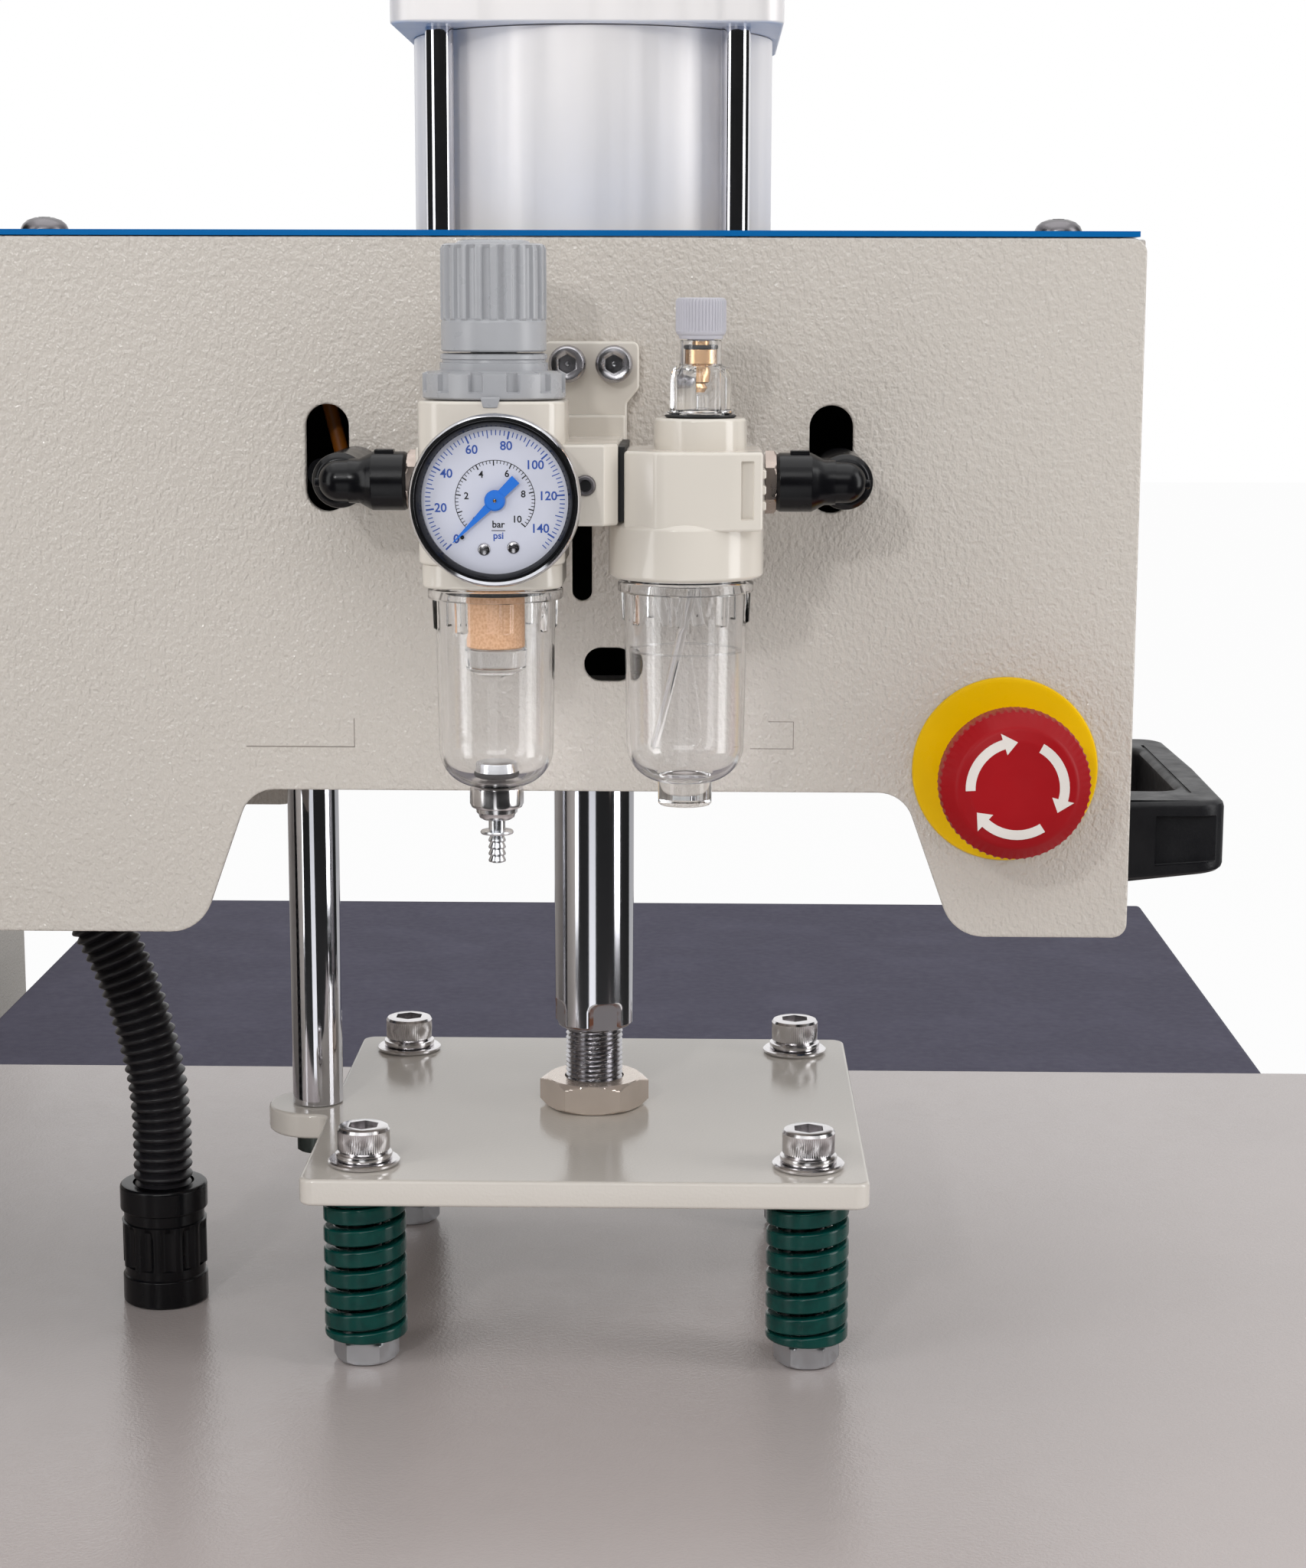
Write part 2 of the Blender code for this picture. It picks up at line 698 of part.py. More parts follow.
def make_carriage():
    low = (rear_box_x - CARRIAGE_DEPTH / 2, head_y - CARRIAGE_LENGTH / 2, block_top)
    high = (rear_box_x + CARRIAGE_DEPTH / 2, head_y + CARRIAGE_LENGTH / 2, carriage_top)
    plate = box("carriage", low, high)
    blocks, grooves = [], []
    bottom = rear_box_top + GAP + BLOCK_GROUND
    for side in (-1, 1):
        x = rear_box_x + side * RAIL_SPACING / 2
        low = (x - BLOCK_WIDTH / 2, head_y - BLOCK_LENGTH / 2, bottom)
        high = (x + BLOCK_WIDTH / 2, head_y + BLOCK_LENGTH / 2, block_top + CARRIAGE_THICKNESS / 2)
        blocks.append(box(f"carriage_block_{side}", low, high, cutters))
        half = RAIL_WIDTH / 2 + GAP
        low = (x - half, head_y - CARRIAGE_LENGTH, bottom - OVERRUN)
        high = (x + half, head_y + CARRIAGE_LENGTH, rear_box_top + RAIL_HEIGHT + 2 * GAP)
        grooves.append(box(f"carriage_groove_{side}", low, high, cutters))
    combine(plate, blocks, "UNION")
    combine(plate, grooves, "DIFFERENCE")
    finish(plate, zinc, head)


def side_outline():
    """The head's side plate, seen from the near side: x, z and corner radius."""
    left, right = AXIS_X - NOTCH_LEFT, AXIS_X + NOTCH_RIGHT
    step_x = AXIS_X - STEP_BACK
    return rounded(
        [
            (head_back_x, head_top, HEAD_CORNER),
            (front_x, head_top, HEAD_CORNER),
            (front_x, leg_z, HEAD_CORNER),
            (right + LEG_SLANT, leg_z, LEG_FILLET),
            (right, notch_z, NOTCH_FILLET),
            (left, notch_z, NOTCH_FILLET),
            (left - LEG_SLANT, leg_z, LEG_FILLET),
            (step_x, leg_z, STEP_FILLET),
            (step_x, step_z, STEP_FILLET),
            (head_back_x, step_z, HEAD_CORNER),
        ]
    )


def near_side_holes():
    """Slots for the air lines and the emergency stop's hole."""
    half_port = (PORT_SLOT_RISE + PORT_SLOT_DROP) / 2
    port_middle = port_z + (PORT_SLOT_RISE - PORT_SLOT_DROP) / 2
    holes = [
        slot(AXIS_X + side * PORT_SLOT_SPREAD, port_middle, half_port, PORT_SLOT_WIDTH / 2, True)
        for side in (-1, 1)
    ]
    middle_z = port_z - MIDDLE_SLOT_DROP + MIDDLE_SLOT_LENGTH / 2
    middle_x = AXIS_X + MIDDLE_SLOT_FORWARD
    cross_x = AXIS_X + CROSS_SLOT_FORWARD
    cross_z = port_z - CROSS_SLOT_DROP
    holes.append(slot(middle_x, middle_z, MIDDLE_SLOT_LENGTH / 2, MIDDLE_SLOT_WIDTH / 2, True))
    holes.append(slot(cross_x, cross_z, CROSS_SLOT_LENGTH / 2, CROSS_SLOT_WIDTH / 2, False))
    hole = STOP_BARREL_RADIUS + STOP_HOLE_PLAY
    holes.append(circle(AXIS_X + STOP_FORWARD, notch_z - STOP_BELOW_NOTCH, hole))
    return holes


def make_head_box():
    middle = HEAD_HALF_WIDTH - HEAD_SHEET / 2
    near = flat_piece(
        "head_side_near", [side_outline(), *near_side_holes()], HEAD_SHEET, (0, head_y - middle, 0), "Y"
    )
    finish(near, cream_paint, head)
    far = flat_piece("head_side_far", [side_outline()], HEAD_SHEET, (0, head_y + middle, 0), "Y")
    finish(far, cream_paint, head)
    inner = HEAD_HALF_WIDTH - HEAD_SHEET - GAP
    low = (front_x - HEAD_SHEET, head_y - inner, leg_z)
    high = (front_x, head_y + inner, head_top - GAP)
    front = box("head_front", low, high)
    top = head_top - CONTROLLER_DROP
    low = (front_x - CONTROLLER_ROOT, head_y - CONTROLLER_SIZE / 2, top - CONTROLLER_SIZE)
    high = (front_x + CONTROLLER_PROUD, head_y + CONTROLLER_SIZE / 2, top)
    bezel = box("controller_bezel", low, high, cutters)
    border = Vector((0, CONTROLLER_BORDER, CONTROLLER_BORDER))
    low = Vector(low) + border
    low.x = front_x + CONTROLLER_PROUD - CONTROLLER_RECESS
    high = Vector(high) - border
    high.x = front_x + CONTROLLER_PROUD + OVERRUN
    window = box("controller_window", low, high, cutters)
    combine(front, [bezel], "UNION")
    combine(front, [window], "DIFFERENCE")
    finish(front, cream_paint, head)


def make_base_plate():
    """The plate that carries the cylinder, with the guide rod's bush on it."""
    inner = HEAD_HALF_WIDTH - HEAD_SHEET - GAP
    outline = rounded(
        [
            (AXIS_X - BASE_PLATE_BACK, head_y - inner, 0),
            (AXIS_X + BASE_PLATE_FRONT, head_y - inner, 0),
            (AXIS_X + BASE_PLATE_FRONT, head_y + inner, 0),
            (AXIS_X - BASE_PLATE_BACK, head_y + inner, 0),
        ]
    )
    rod_hole = circle(AXIS_X, head_y, ROD_RADIUS + GAP)
    cable_x = AXIS_X - CONDUIT_TOP_BACK
    cable_hole = circle(cable_x, conduit_y, CONDUIT_BORE_RADIUS, SMALL_TURN_STEPS)
    middle = (base_plate_bottom + base_plate_top) / 2
    sheet = flat_piece(
        "head_base_plate", [outline, rod_hole, cable_hole], BASE_PLATE_THICKNESS, (0, 0, middle)
    )
    plate = as_mesh(sheet)
    low = (guide_x, head_y, middle)
    bush = rod("bush", BUSH_RADIUS, low, (guide_x, head_y, base_plate_top + BUSH_HEIGHT), collection=cutters)
    low = (guide_x, head_y, base_plate_bottom - OVERRUN)
    high = (guide_x, head_y, base_plate_top + BUSH_HEIGHT + OVERRUN)
    bore = rod("bush_bore", GUIDE_RADIUS + GAP, low, high, collection=cutters)
    combine(plate, [bush], "UNION")
    combine(plate, [bore], "DIFFERENCE")
    finish(plate, cream_paint, head)


def make_top_cover():
    bottom = head_top + GAP
    half = CAP_SIZE / 2 + COVER_HOLE_PLAY
    low = (head_back_x, head_y - HEAD_HALF_WIDTH, bottom)
    high = (front_x - HEAD_CORNER / 2, head_y + HEAD_HALF_WIDTH, bottom + COVER_SHEET)
    cover = box("top_cover", low, high)
    low = (AXIS_X - half, head_y - half, bottom - OVERRUN)
    high = (AXIS_X + half, head_y + half, bottom + OVERRUN)
    combine(cover, [box("cylinder_window", low, high, cutters)], "DIFFERENCE")
    tube_hole = AIR_TUBE_RADIUS + 2 * GAP
    y = head_y + CAP_SIZE / 2 + AIR_TUBE_REACH
    low, high = (AXIS_X, y, bottom - OVERRUN), (AXIS_X, y, bottom + OVERRUN)
    combine(cover, [rod("tube_hole", tube_hole, low, high, SMALL_TURN_STEPS, cutters)], "DIFFERENCE")
    domes = []
    for number in range(SCREW_COUNT):
        x = AXIS_X + SCREW_FRONT - number * SCREW_PITCH
        for side in (-1, 1):
            y = head_y + side * (HEAD_HALF_WIDTH - SCREW_INSET)
            profile = [
                (0, COVER_SHEET + SCREW_DOME_HEIGHT),
                (SCREW_DOME_RADIUS / 2, COVER_SHEET + SCREW_DOME_HEIGHT * 0.82),
                (SCREW_DOME_RADIUS, COVER_SHEET + SCREW_DOME_HEIGHT / 5),
                (SCREW_DOME_RADIUS, COVER_SHEET / 2),
                (0, COVER_SHEET / 2),
            ]
            name = f"cover_screw_{number}_{side}"
            domes.append(turned(name, profile, (x, y, bottom), SMALL_TURN_STEPS, collection=cutters))
    combine(cover, domes, "UNION")
    finish(cover, blue_film, head)


def cap_block(name, bottom):
    half = CAP_SIZE / 2
    low = (AXIS_X - half, head_y - half, bottom)
    high = (AXIS_X + half, head_y + half, bottom + CAP_HEIGHT)
    return soften(box(name, low, high), CAP_EDGE)


def make_cylinder():
    front = cap_block("cylinder_front_cap", front_cap_bottom)
    low = (AXIS_X, head_y, front_cap_bottom - OVERRUN)
    high = (AXIS_X, head_y, front_cap_top + OVERRUN)
    combine(front, [rod("cap_bore", ROD_RADIUS + GAP, low, high, collection=cutters)], "DIFFERENCE")
    finish(front, aluminium, head)
    inner = BARREL_RADIUS - BARREL_WALL
    profile = [(BARREL_RADIUS, BARREL_LENGTH), (BARREL_RADIUS, 0), (inner, 0), (inner, BARREL_LENGTH)]
    barrel = turned("cylinder_barrel", profile, (AXIS_X, head_y, barrel_bottom), ring=True)
    finish(barrel, aluminium, head)
    top = cap_block("cylinder_top_cap", top_cap_bottom)
    ties = []
    for x in (-1, 1):
        for y in (-1, 1):
            place = Vector((AXIS_X + x * TIE_SPACING / 2, head_y + y * TIE_SPACING / 2, 0))
            low = place + AXIS_Z * barrel_bottom
            high = place + AXIS_Z * (top_cap_top + TIE_NUT_HEIGHT)
            ties.append(rod(f"tie_{x}_{y}", TIE_RADIUS, low, high, SMALL_TURN_STEPS, cutters))
            low = place + AXIS_Z * (top_cap_top - TIE_NUT_HEIGHT / 2)
            high = place + AXIS_Z * (top_cap_top + TIE_NUT_HEIGHT * 0.8)
            radius = TIE_NUT_FLATS / 2 / math.cos(math.pi / 6)
            ties.append(rod(f"tie_nut_{x}_{y}", radius, low, high, 6, cutters))
    combine(top, [*ties, air_tube()], "UNION")
    finish(top, aluminium, head)


def air_tube():
    """The line from the top cap down through the cover, behind the barrel."""
    z = top_cap_top - PORT_BELOW_TOP
    face = head_y + CAP_SIZE / 2
    turn_y = face + AIR_TUBE_REACH
    points = [(AXIS_X, face - AIR_FITTING_LENGTH / 2, z), (AXIS_X, face + AIR_FITTING_LENGTH, z)]
    radii = [AIR_FITTING_RADIUS, AIR_FITTING_RADIUS]
    for step in range(ARC_STEPS + 1):
        angle = math.pi / 2 * step / ARC_STEPS
        y = turn_y - AIR_TUBE_BEND * (1 - math.sin(angle))
        points.append((AXIS_X, y, z - AIR_TUBE_BEND * (1 - math.cos(angle))))
        radii.append(AIR_TUBE_RADIUS)
    points.append((AXIS_X, turn_y, base_plate_top + BUSH_HEIGHT))
    radii.append(AIR_TUBE_RADIUS)
    return as_mesh(tube("air_tube", points, radii, collection=cutters))


def make_piston_rod():
    rise = piston_bottom - mount_bottom
    thread_top = ROD_THREAD_LENGTH + MOUNT_THICKNESS
    piston_radius = BARREL_RADIUS - BARREL_WALL - PISTON_PLAY
    profile = [
        (0, rise + PISTON_HEIGHT),
        (piston_radius, rise + PISTON_HEIGHT),
        (piston_radius, rise),
        (ROD_RADIUS, rise),
        (ROD_RADIUS, thread_top + ROD_CHAMFER),
        (ROD_RADIUS - ROD_CHAMFER, thread_top),
        (ROD_THREAD_RADIUS, thread_top),
        (ROD_THREAD_RADIUS, 0),
        (0, 0),
    ]
    shaft = turned("piston_rod", profile, (AXIS_X, head_y, mount_bottom))
    flats = []
    middle = mount_bottom + thread_top + ROD_FLAT_HEIGHT / 2 - OVERRUN / 2
    half = Vector((ROD_RADIUS * 2, OVERRUN, ROD_FLAT_HEIGHT / 2 + OVERRUN / 2))
    for side in range(4):
        cutter = box(f"wrench_flat_{side}", -half, half, cutters)
        angle = math.radians(ROD_FLAT_TURN_DEG) + side * math.pi / 2
        outward = Vector((math.sin(angle), -math.cos(angle), 0))
        place = Vector((AXIS_X, head_y, middle))
        cutter.location = place + outward * (ROD_FLAT_ACROSS / 2 + OVERRUN)
        cutter.rotation_euler = (0, 0, angle)
        flats.append(cutter)
    combine(shaft, flats, "DIFFERENCE")
    finish(shaft, chrome, press)
    bottom = mount_top + GAP
    low, high = (AXIS_X, head_y, bottom), (AXIS_X, head_y, bottom + ROD_NUT_HEIGHT)
    nut = rod("rod_nut", ROD_NUT_FLATS / 2 / math.cos(math.pi / 6), low, high, 6, flats=True)
    low = (AXIS_X, head_y, bottom - OVERRUN)
    high = (AXIS_X, head_y, bottom + ROD_NUT_HEIGHT + OVERRUN)
    bore = rod("rod_nut_bore", ROD_THREAD_RADIUS + GAP, low, high, collection=cutters)
    finish(combine(nut, [bore], "DIFFERENCE"), nickel, press)


def make_mount_plate():
    half = MOUNT_SIZE / 2
    left = AXIS_X - half
    ear_reach = guide_x - EAR_RADIUS
    outline = rounded(
        [
            (left, head_y - half, MOUNT_CORNER),
            (AXIS_X + half, head_y - half, MOUNT_CORNER),
            (AXIS_X + half, head_y + half, MOUNT_CORNER),
            (left, head_y + half, MOUNT_CORNER),
            (left, head_y + EAR_RADIUS, EAR_FILLET),
            (ear_reach, head_y + EAR_RADIUS, EAR_RADIUS - GAP),
            (ear_reach, head_y - EAR_RADIUS, EAR_RADIUS - GAP),
            (left, head_y - EAR_RADIUS, EAR_FILLET),
        ]
    )
    holes = [circle(AXIS_X, head_y, ROD_THREAD_RADIUS + GAP)]
    holes.append(circle(guide_x, head_y, GUIDE_SPIGOT_RADIUS + GAP, SMALL_TURN_STEPS))
    for x, y in bolt_places():
        holes.append(circle(x, y, BOLT_RADIUS + BOLT_HOLE_PLAY, SMALL_TURN_STEPS))
    middle = (mount_bottom + mount_top) / 2
    plate = flat_piece("mount_plate", [outline, *holes], MOUNT_THICKNESS, (0, 0, middle))
    finish(plate, plate_paint, press)


def make_guide_rod():
    """The rod that keeps the platen square, screwed to the mount plate's ear from below."""
    bottom = mount_top + GAP
    top = base_plate_bottom + GUIDE_RISE
    below = mount_bottom - GAP
    head_radius = GUIDE_BOLT_FLATS / 2
    profile = [
        (0, top - below),
        (GUIDE_RADIUS - ROD_CHAMFER, top - below),
        (GUIDE_RADIUS, top - below - ROD_CHAMFER),
        (GUIDE_RADIUS, bottom - below),
        (GUIDE_SPIGOT_RADIUS, bottom - below),
        (GUIDE_SPIGOT_RADIUS, 0),
        (head_radius, 0),
        (head_radius, -GUIDE_BOLT_HEIGHT),
        (0, -GUIDE_BOLT_HEIGHT),
    ]
    finish(turned("guide_rod", profile, (guide_x, head_y, below)), chrome, press)


def make_sprung_bolts():
    """Each bolt hangs from the mount plate and runs through a spring to the platen's top."""
    top = mount_top + GAP
    end = platen_top + GAP - top
    washer = WASHER_THICKNESS
    lock = washer + LOCK_WASHER_THICKNESS
    crown = lock + BOLT_HEAD_HEIGHT
    profile = [
        (0, crown - BOLT_SOCKET_DEPTH),
        (BOLT_SOCKET_RADIUS, crown - BOLT_SOCKET_DEPTH),
        (BOLT_SOCKET_RADIUS, crown),
        (BOLT_HEAD_RADIUS, crown),
        (BOLT_HEAD_RADIUS, lock),
        (LOCK_WASHER_RADIUS, lock),
        (LOCK_WASHER_RADIUS, washer),
        (WASHER_RADIUS, washer),
        (WASHER_RADIUS, 0),
        (BOLT_RADIUS, 0),
        (BOLT_RADIUS, end),
        (0, end),
    ]
    nut_radius = NUT_FLATS / 2 / math.cos(math.pi / 6)
    for number, (x, y) in enumerate(bolt_places(), 1):
        bolt = turned(f"spring_bolt_{number}", profile, (x, y, top), SMALL_TURN_STEPS)
        finish(bolt, chrome, platen)
        low, high = (x, y, nut_bottom), (x, y, nut_top)
        nut = rod(f"spring_nut_{number}", nut_radius, low, high, 6, flats=True)
        low, high = (x, y, nut_bottom - OVERRUN), (x, y, nut_top + OVERRUN)
        bore = rod(f"nut_bore_{number}", BOLT_RADIUS + GAP, low, high, SMALL_TURN_STEPS, cutters)
        finish(combine(nut, [bore], "DIFFERENCE"), zinc, platen)


def spring_heights(count):
    """The rise at each point of a spring: close turns at both ends and an even pitch between."""
    span = SPRING_LENGTH - 2 * SPRING_WIRE_RADIUS
    open_turns = SPRING_TURNS - 2 * SPRING_END_TURNS
    open_pitch = (span - 2 * SPRING_END_TURNS * SPRING_END_PITCH) / open_turns
    heights = []
    for index in range(count + 1):
        turn = SPRING_TURNS * index / count
        in_first = min(turn, SPRING_END_TURNS)
        in_last = max(turn - SPRING_TURNS + SPRING_END_TURNS, 0)
        between = turn - in_first - in_last
        heights.append((in_first + in_last) * SPRING_END_PITCH + between * open_pitch)
    return heights


def least_gap(points, radius, skip):
    """The least distance between the surfaces of a tube's stretches that aren't neighbours."""
    least = math.inf
    for index, point in enumerate(points):
        for other in points[index + skip :]:
            least = min(least, (point - other).length)
    return least - 2 * radius


def make_springs():
    count = round(SPRING_TURNS * SPRING_POINTS_A_TURN)
    heights = spring_heights(count)
    coil_radius = SPRING_OUTER_RADIUS - SPRING_WIRE_RADIUS
    for number, (x, y) in enumerate(bolt_places(), 1):
        points = []
        for index, height in enumerate(heights):
            angle = 2 * math.pi * SPRING_TURNS * index / count
            place = Vector((x, y, spring_bottom + SPRING_WIRE_RADIUS + height))
            points.append(place + coil_radius * Vector((math.cos(angle), math.sin(angle), 0)))
        spring = tube(f"spring_{number}", points, SPRING_WIRE_RADIUS, 1)
        finish(spring, spring_green, press)
    gap = least_gap(points, SPRING_WIRE_RADIUS, SPRING_POINTS_A_TURN // 2)
    print(f"least gap between a spring's curls: {gap * 1000:.2f} mm")


def make_platen():
    half_x, half_y = PLATEN_WIDTH / 2, PLATEN_LENGTH / 2
    low = (table_x - half_x, head_y - half_y, platen_bottom)
    high = (table_x + half_x, head_y + half_y, platen_top)
    finish(soften(box("heat_platen", low, high), PLATEN_EDGE, 1), aluminium, platen)
    half_x, half_y = half_x + COVER_MARGIN, half_y + COVER_MARGIN
    low = (table_x - half_x, head_y - half_y, cover_top - COVER_SKIRT)
    high = (table_x + half_x, head_y + half_y, cover_top)
    cover = shell("platen_cover", low, high, COVER_WALL, COVER_EDGE)
    holes = []
    for number, (x, y) in enumerate(bolt_places(), 1):
        low, high = (x, y, cover_top - OVERRUN), (x, y, cover_top + OVERRUN)
        name = f"cover_hole_{number}"
        holes.append(rod(name, BOLT_RADIUS + GAP, low, high, SMALL_TURN_STEPS, cutters))
    finish(combine(cover, holes, "DIFFERENCE"), cover_paint, platen)


def conduit_route():
    """Points along the conduit, bottom first: straight at both ends and a smooth sway between."""
    bottom = cover_top + GAP + CONNECTOR_HEIGHT + COLLAR_HEIGHT + GAP
    rise = base_plate_bottom - GAP - bottom
    reach = CONDUIT_TOP_BACK - CONNECTOR_BACK
    sway_shares = ((0, 0), (0.12, 0), (0.24, 0.04), (0.38, 0.16), (0.51, 0.34), (0.64, 0.6))
    sway_shares += ((0.76, 0.86), (0.88, 1), (1, 1))
    places = [
        Vector((connector_x - across * reach, conduit_y, bottom + up * rise))
        for up, across in sway_shares
    ]
    return [places[0], *smooth(places), places[-1]]


def smooth(places, steps=24):
    """A Catmull-Rom curve from the second place to the last but one, as closely spaced points."""
    points = []
    for a, b, c, d in zip(places, places[1:], places[2:], places[3:]):
        for step in range(steps):
            t = step / steps
            bend = (a * 2 - b * 5 + c * 4 - d) * t**2 + (b * 3 - a - c * 3 + d) * t**3
            points.append((b * 2 + (c - a) * t + bend) / 2)
    return points + [places[-2]]


def walked(points, spacing):
    """Points at an even spacing along a polyline."""
    made, carried = [points[0]], 0.0
    for start, end in zip(points, points[1:]):
        run = (end - start).length
        along = spacing - carried
        while along <= run:
            made.append(start.lerp(end, along / run))
            along += spacing
        carried = (carried + run) % spacing
    return made


def make_conduit():
    route = conduit_route()
    length = sum((b - a).length for a, b in zip(route, route[1:]))
    ribs = round((length - 4 * CONDUIT_RADIUS) / CONDUIT_RIB_PITCH)
    spacing = length / (2 * ribs + round(8 * CONDUIT_RADIUS / CONDUIT_RIB_PITCH))
    points = walked(route, spacing)
    points[-1] = route[-1]
    plain = (len(points) - 2 * ribs) // 2
    radii = []
    for index in range(len(points)):
        ribbed = plain <= index < len(points) - plain
        radii.append(CONDUIT_RADIUS if ribbed and index % 2 else CONDUIT_ROOT_RADIUS)
    outer = as_mesh(tube("conduit", points, radii))
    inner_points = [points[0] * 2 - points[2], *points[::6], points[-1] * 2 - points[-3]]
    bore = as_mesh(tube("conduit_bore", inner_points, CONDUIT_BORE_RADIUS, 1, cutters))
    bore.hide_render = True
    finish(combine(outer, [bore], "DIFFERENCE"), black_plastic, head)
    print(f"conduit: {ribs} ribs on {length * 1000:.0f} mm")


def make_connector():
    total = CONNECTOR_HEIGHT + COLLAR_HEIGHT
    profile = [
        (COLLAR_RADIUS, total),
        (COLLAR_RADIUS, CONNECTOR_HEIGHT),
        (CONNECTOR_RADIUS, CONNECTOR_HEIGHT),
        (CONNECTOR_RADIUS, 0),
        (CONDUIT_BORE_RADIUS, 0),
        (CONDUIT_BORE_RADIUS, total),
    ]
    place = (connector_x, conduit_y, cover_top + GAP)
    finish(turned("conduit_connector", profile, place, ring=True), black_plastic, platen)


def make_handle():
    half = HANDLE_LENGTH / 2
    inner_half = half - HANDLE_LEG
    back = front_x + GAP
    grip = back + HANDLE_REACH
    inner = grip - HANDLE_BAR
    outline = rounded(
        [
            (back, head_y - half, 0),
            (grip, head_y - half, HANDLE_CORNER),
            (grip, head_y + half, HANDLE_CORNER),
            (back, head_y + half, 0),
            (back, head_y + inner_half, 0),
            (inner, head_y + inner_half, HANDLE_INNER_CORNER),
            (inner, head_y - inner_half, HANDLE_INNER_CORNER),
            (back, head_y - inner_half, 0),
        ]
    )
    middle = leg_z + HANDLE_RISE + HANDLE_HEIGHT / 2
    piece = as_mesh(flat_piece("front_handle", [outline], HANDLE_HEIGHT, (0, 0, middle)))
    finish(soften(piece, HANDLE_EDGE), black_plastic, head)


def make_emergency_stop():
    x, z = AXIS_X + STOP_FORWARD, notch_z - STOP_BELOW_NOTCH
    face = near_face_y
    back = HEAD_SHEET + 2 * GAP
    outward = (0, -1, 0)
    neck_top = GAP + STOP_PLATE_THICKNESS + STOP_NECK_LENGTH
    profile = [
        (0, neck_top),
        (STOP_NECK_RADIUS, neck_top),
        (STOP_NECK_RADIUS, GAP + STOP_PLATE_THICKNESS),
        (STOP_PLATE_RADIUS, GAP + STOP_PLATE_THICKNESS),
        (STOP_PLATE_RADIUS, GAP),
        (STOP_BARREL_RADIUS, GAP),
        (STOP_BARREL_RADIUS, GAP - back),
        (STOP_NUT_RADIUS, GAP - back),
        (STOP_NUT_RADIUS, GAP - back - STOP_NUT_THICKNESS),
        (STOP_BARREL_RADIUS, GAP - back - STOP_NUT_THICKNESS),
        (STOP_BARREL_RADIUS, -STOP_BARREL_LENGTH),
        (0, -STOP_BARREL_LENGTH),
    ]
    plate = turned("estop_plate", profile, (x, face, z), axis=outward)
    bore_top = neck_top + OVERRUN
    low, high = (x, face - bore_top, z), (x, face - neck_top + STOP_BORE_DEPTH, z)
    bore = rod("estop_bore", STOP_BORE_RADIUS, low, high, collection=cutters)
    finish(combine(plate, [bore], "DIFFERENCE"), stop_yellow, head)
    stop = empty("estop_carrier", (x, face, z), head)
    stem_top = neck_top + STOP_TRAVEL_ROOM
    profile = [
        (0, stem_top + STOP_PIN_LENGTH),
        (STOP_PIN_RADIUS, stem_top + STOP_PIN_LENGTH),
        (STOP_PIN_RADIUS, stem_top),
        (STOP_STEM_RADIUS, stem_top),
        (STOP_STEM_RADIUS, stem_top - STOP_STEM_LENGTH),
        (0, stem_top - STOP_STEM_LENGTH),
    ]
    stem = turned("estop_stem", profile, (x, face, z), SMALL_TURN_STEPS, axis=outward)
    finish(stem, black_plastic, stop)
    low = stem_top + GAP
    crown = low + STOP_CAP_HEIGHT
    skirt = low - STOP_CAP_SKIRT
    pocket = stem_top + STOP_PIN_LENGTH + GAP
    profile = [
        (0, crown),
        (STOP_CAP_RADIUS - STOP_CAP_RIM, crown),
        (STOP_CAP_RADIUS - STOP_CAP_RIM / 3, crown - STOP_CAP_RIM / 3),
        (STOP_CAP_RADIUS, crown - STOP_CAP_RIM),
        (STOP_CAP_RADIUS - STOP_CAP_RIM / 4, skirt),
        (STOP_CAP_HOLLOW_RADIUS, skirt),
        (STOP_CAP_HOLLOW_RADIUS, low),
        (STOP_PIN_RADIUS + GAP, low),
        (STOP_PIN_RADIUS + GAP, pocket),
        (0, pocket),
    ]
    cap = turned("estop_cap", profile, (x, face, z), axis=outward)
    finish(cap, stop_red, stop)


def make_bracket():
    """The T bracket on the head and the spacer that clamps the two units together."""
    x = frl_x + BRACKET_SHIFT_X
    half = BRACKET_WIDTH / 2
    top = port_z + BRACKET_TOP_RISE
    bottom = port_z - BRACKET_DROP
    middle = near_face_y - GAP - BRACKET_THICKNESS / 2
    outline = rounded(
        [
            (x - half, top, BRACKET_CORNER),
            (x + half, top, BRACKET_CORNER),
            (x + half, bottom, BRACKET_CORNER),
            (x - half, bottom, BRACKET_CORNER),
        ]
    )
    plate = as_mesh(
        flat_piece("frl_bracket", [outline], BRACKET_THICKNESS, (0, middle, 0), "Y")
    )
    neck_half = BRACKET_NECK_WIDTH / 2
    low = (frl_x - neck_half, frl_y - SPACER_DEPTH / 2, port_z - SPACER_HALF_HEIGHT)
    high = (frl_x + neck_half, middle, port_z + SPACER_HALF_HEIGHT)
    helpers = [box("frl_spacer", low, high, cutters)]
    face = near_face_y - GAP - BRACKET_THICKNESS
    z = top - BRACKET_SCREW_DROP
    for side in (-1, 1):
        screw_x = x + side * BRACKET_SCREW_SPACING / 2
        low = (screw_x, face + BRACKET_THICKNESS / 2, z)
        high = (screw_x, face - BRACKET_SCREW_HEIGHT, z)
        name = f"bracket_screw_{side}"
        helpers.append(rod(name, BRACKET_SCREW_RADIUS, low, high, SMALL_TURN_STEPS, cutters))
    finish(combine(plate, helpers, "UNION"), cream_body, head)


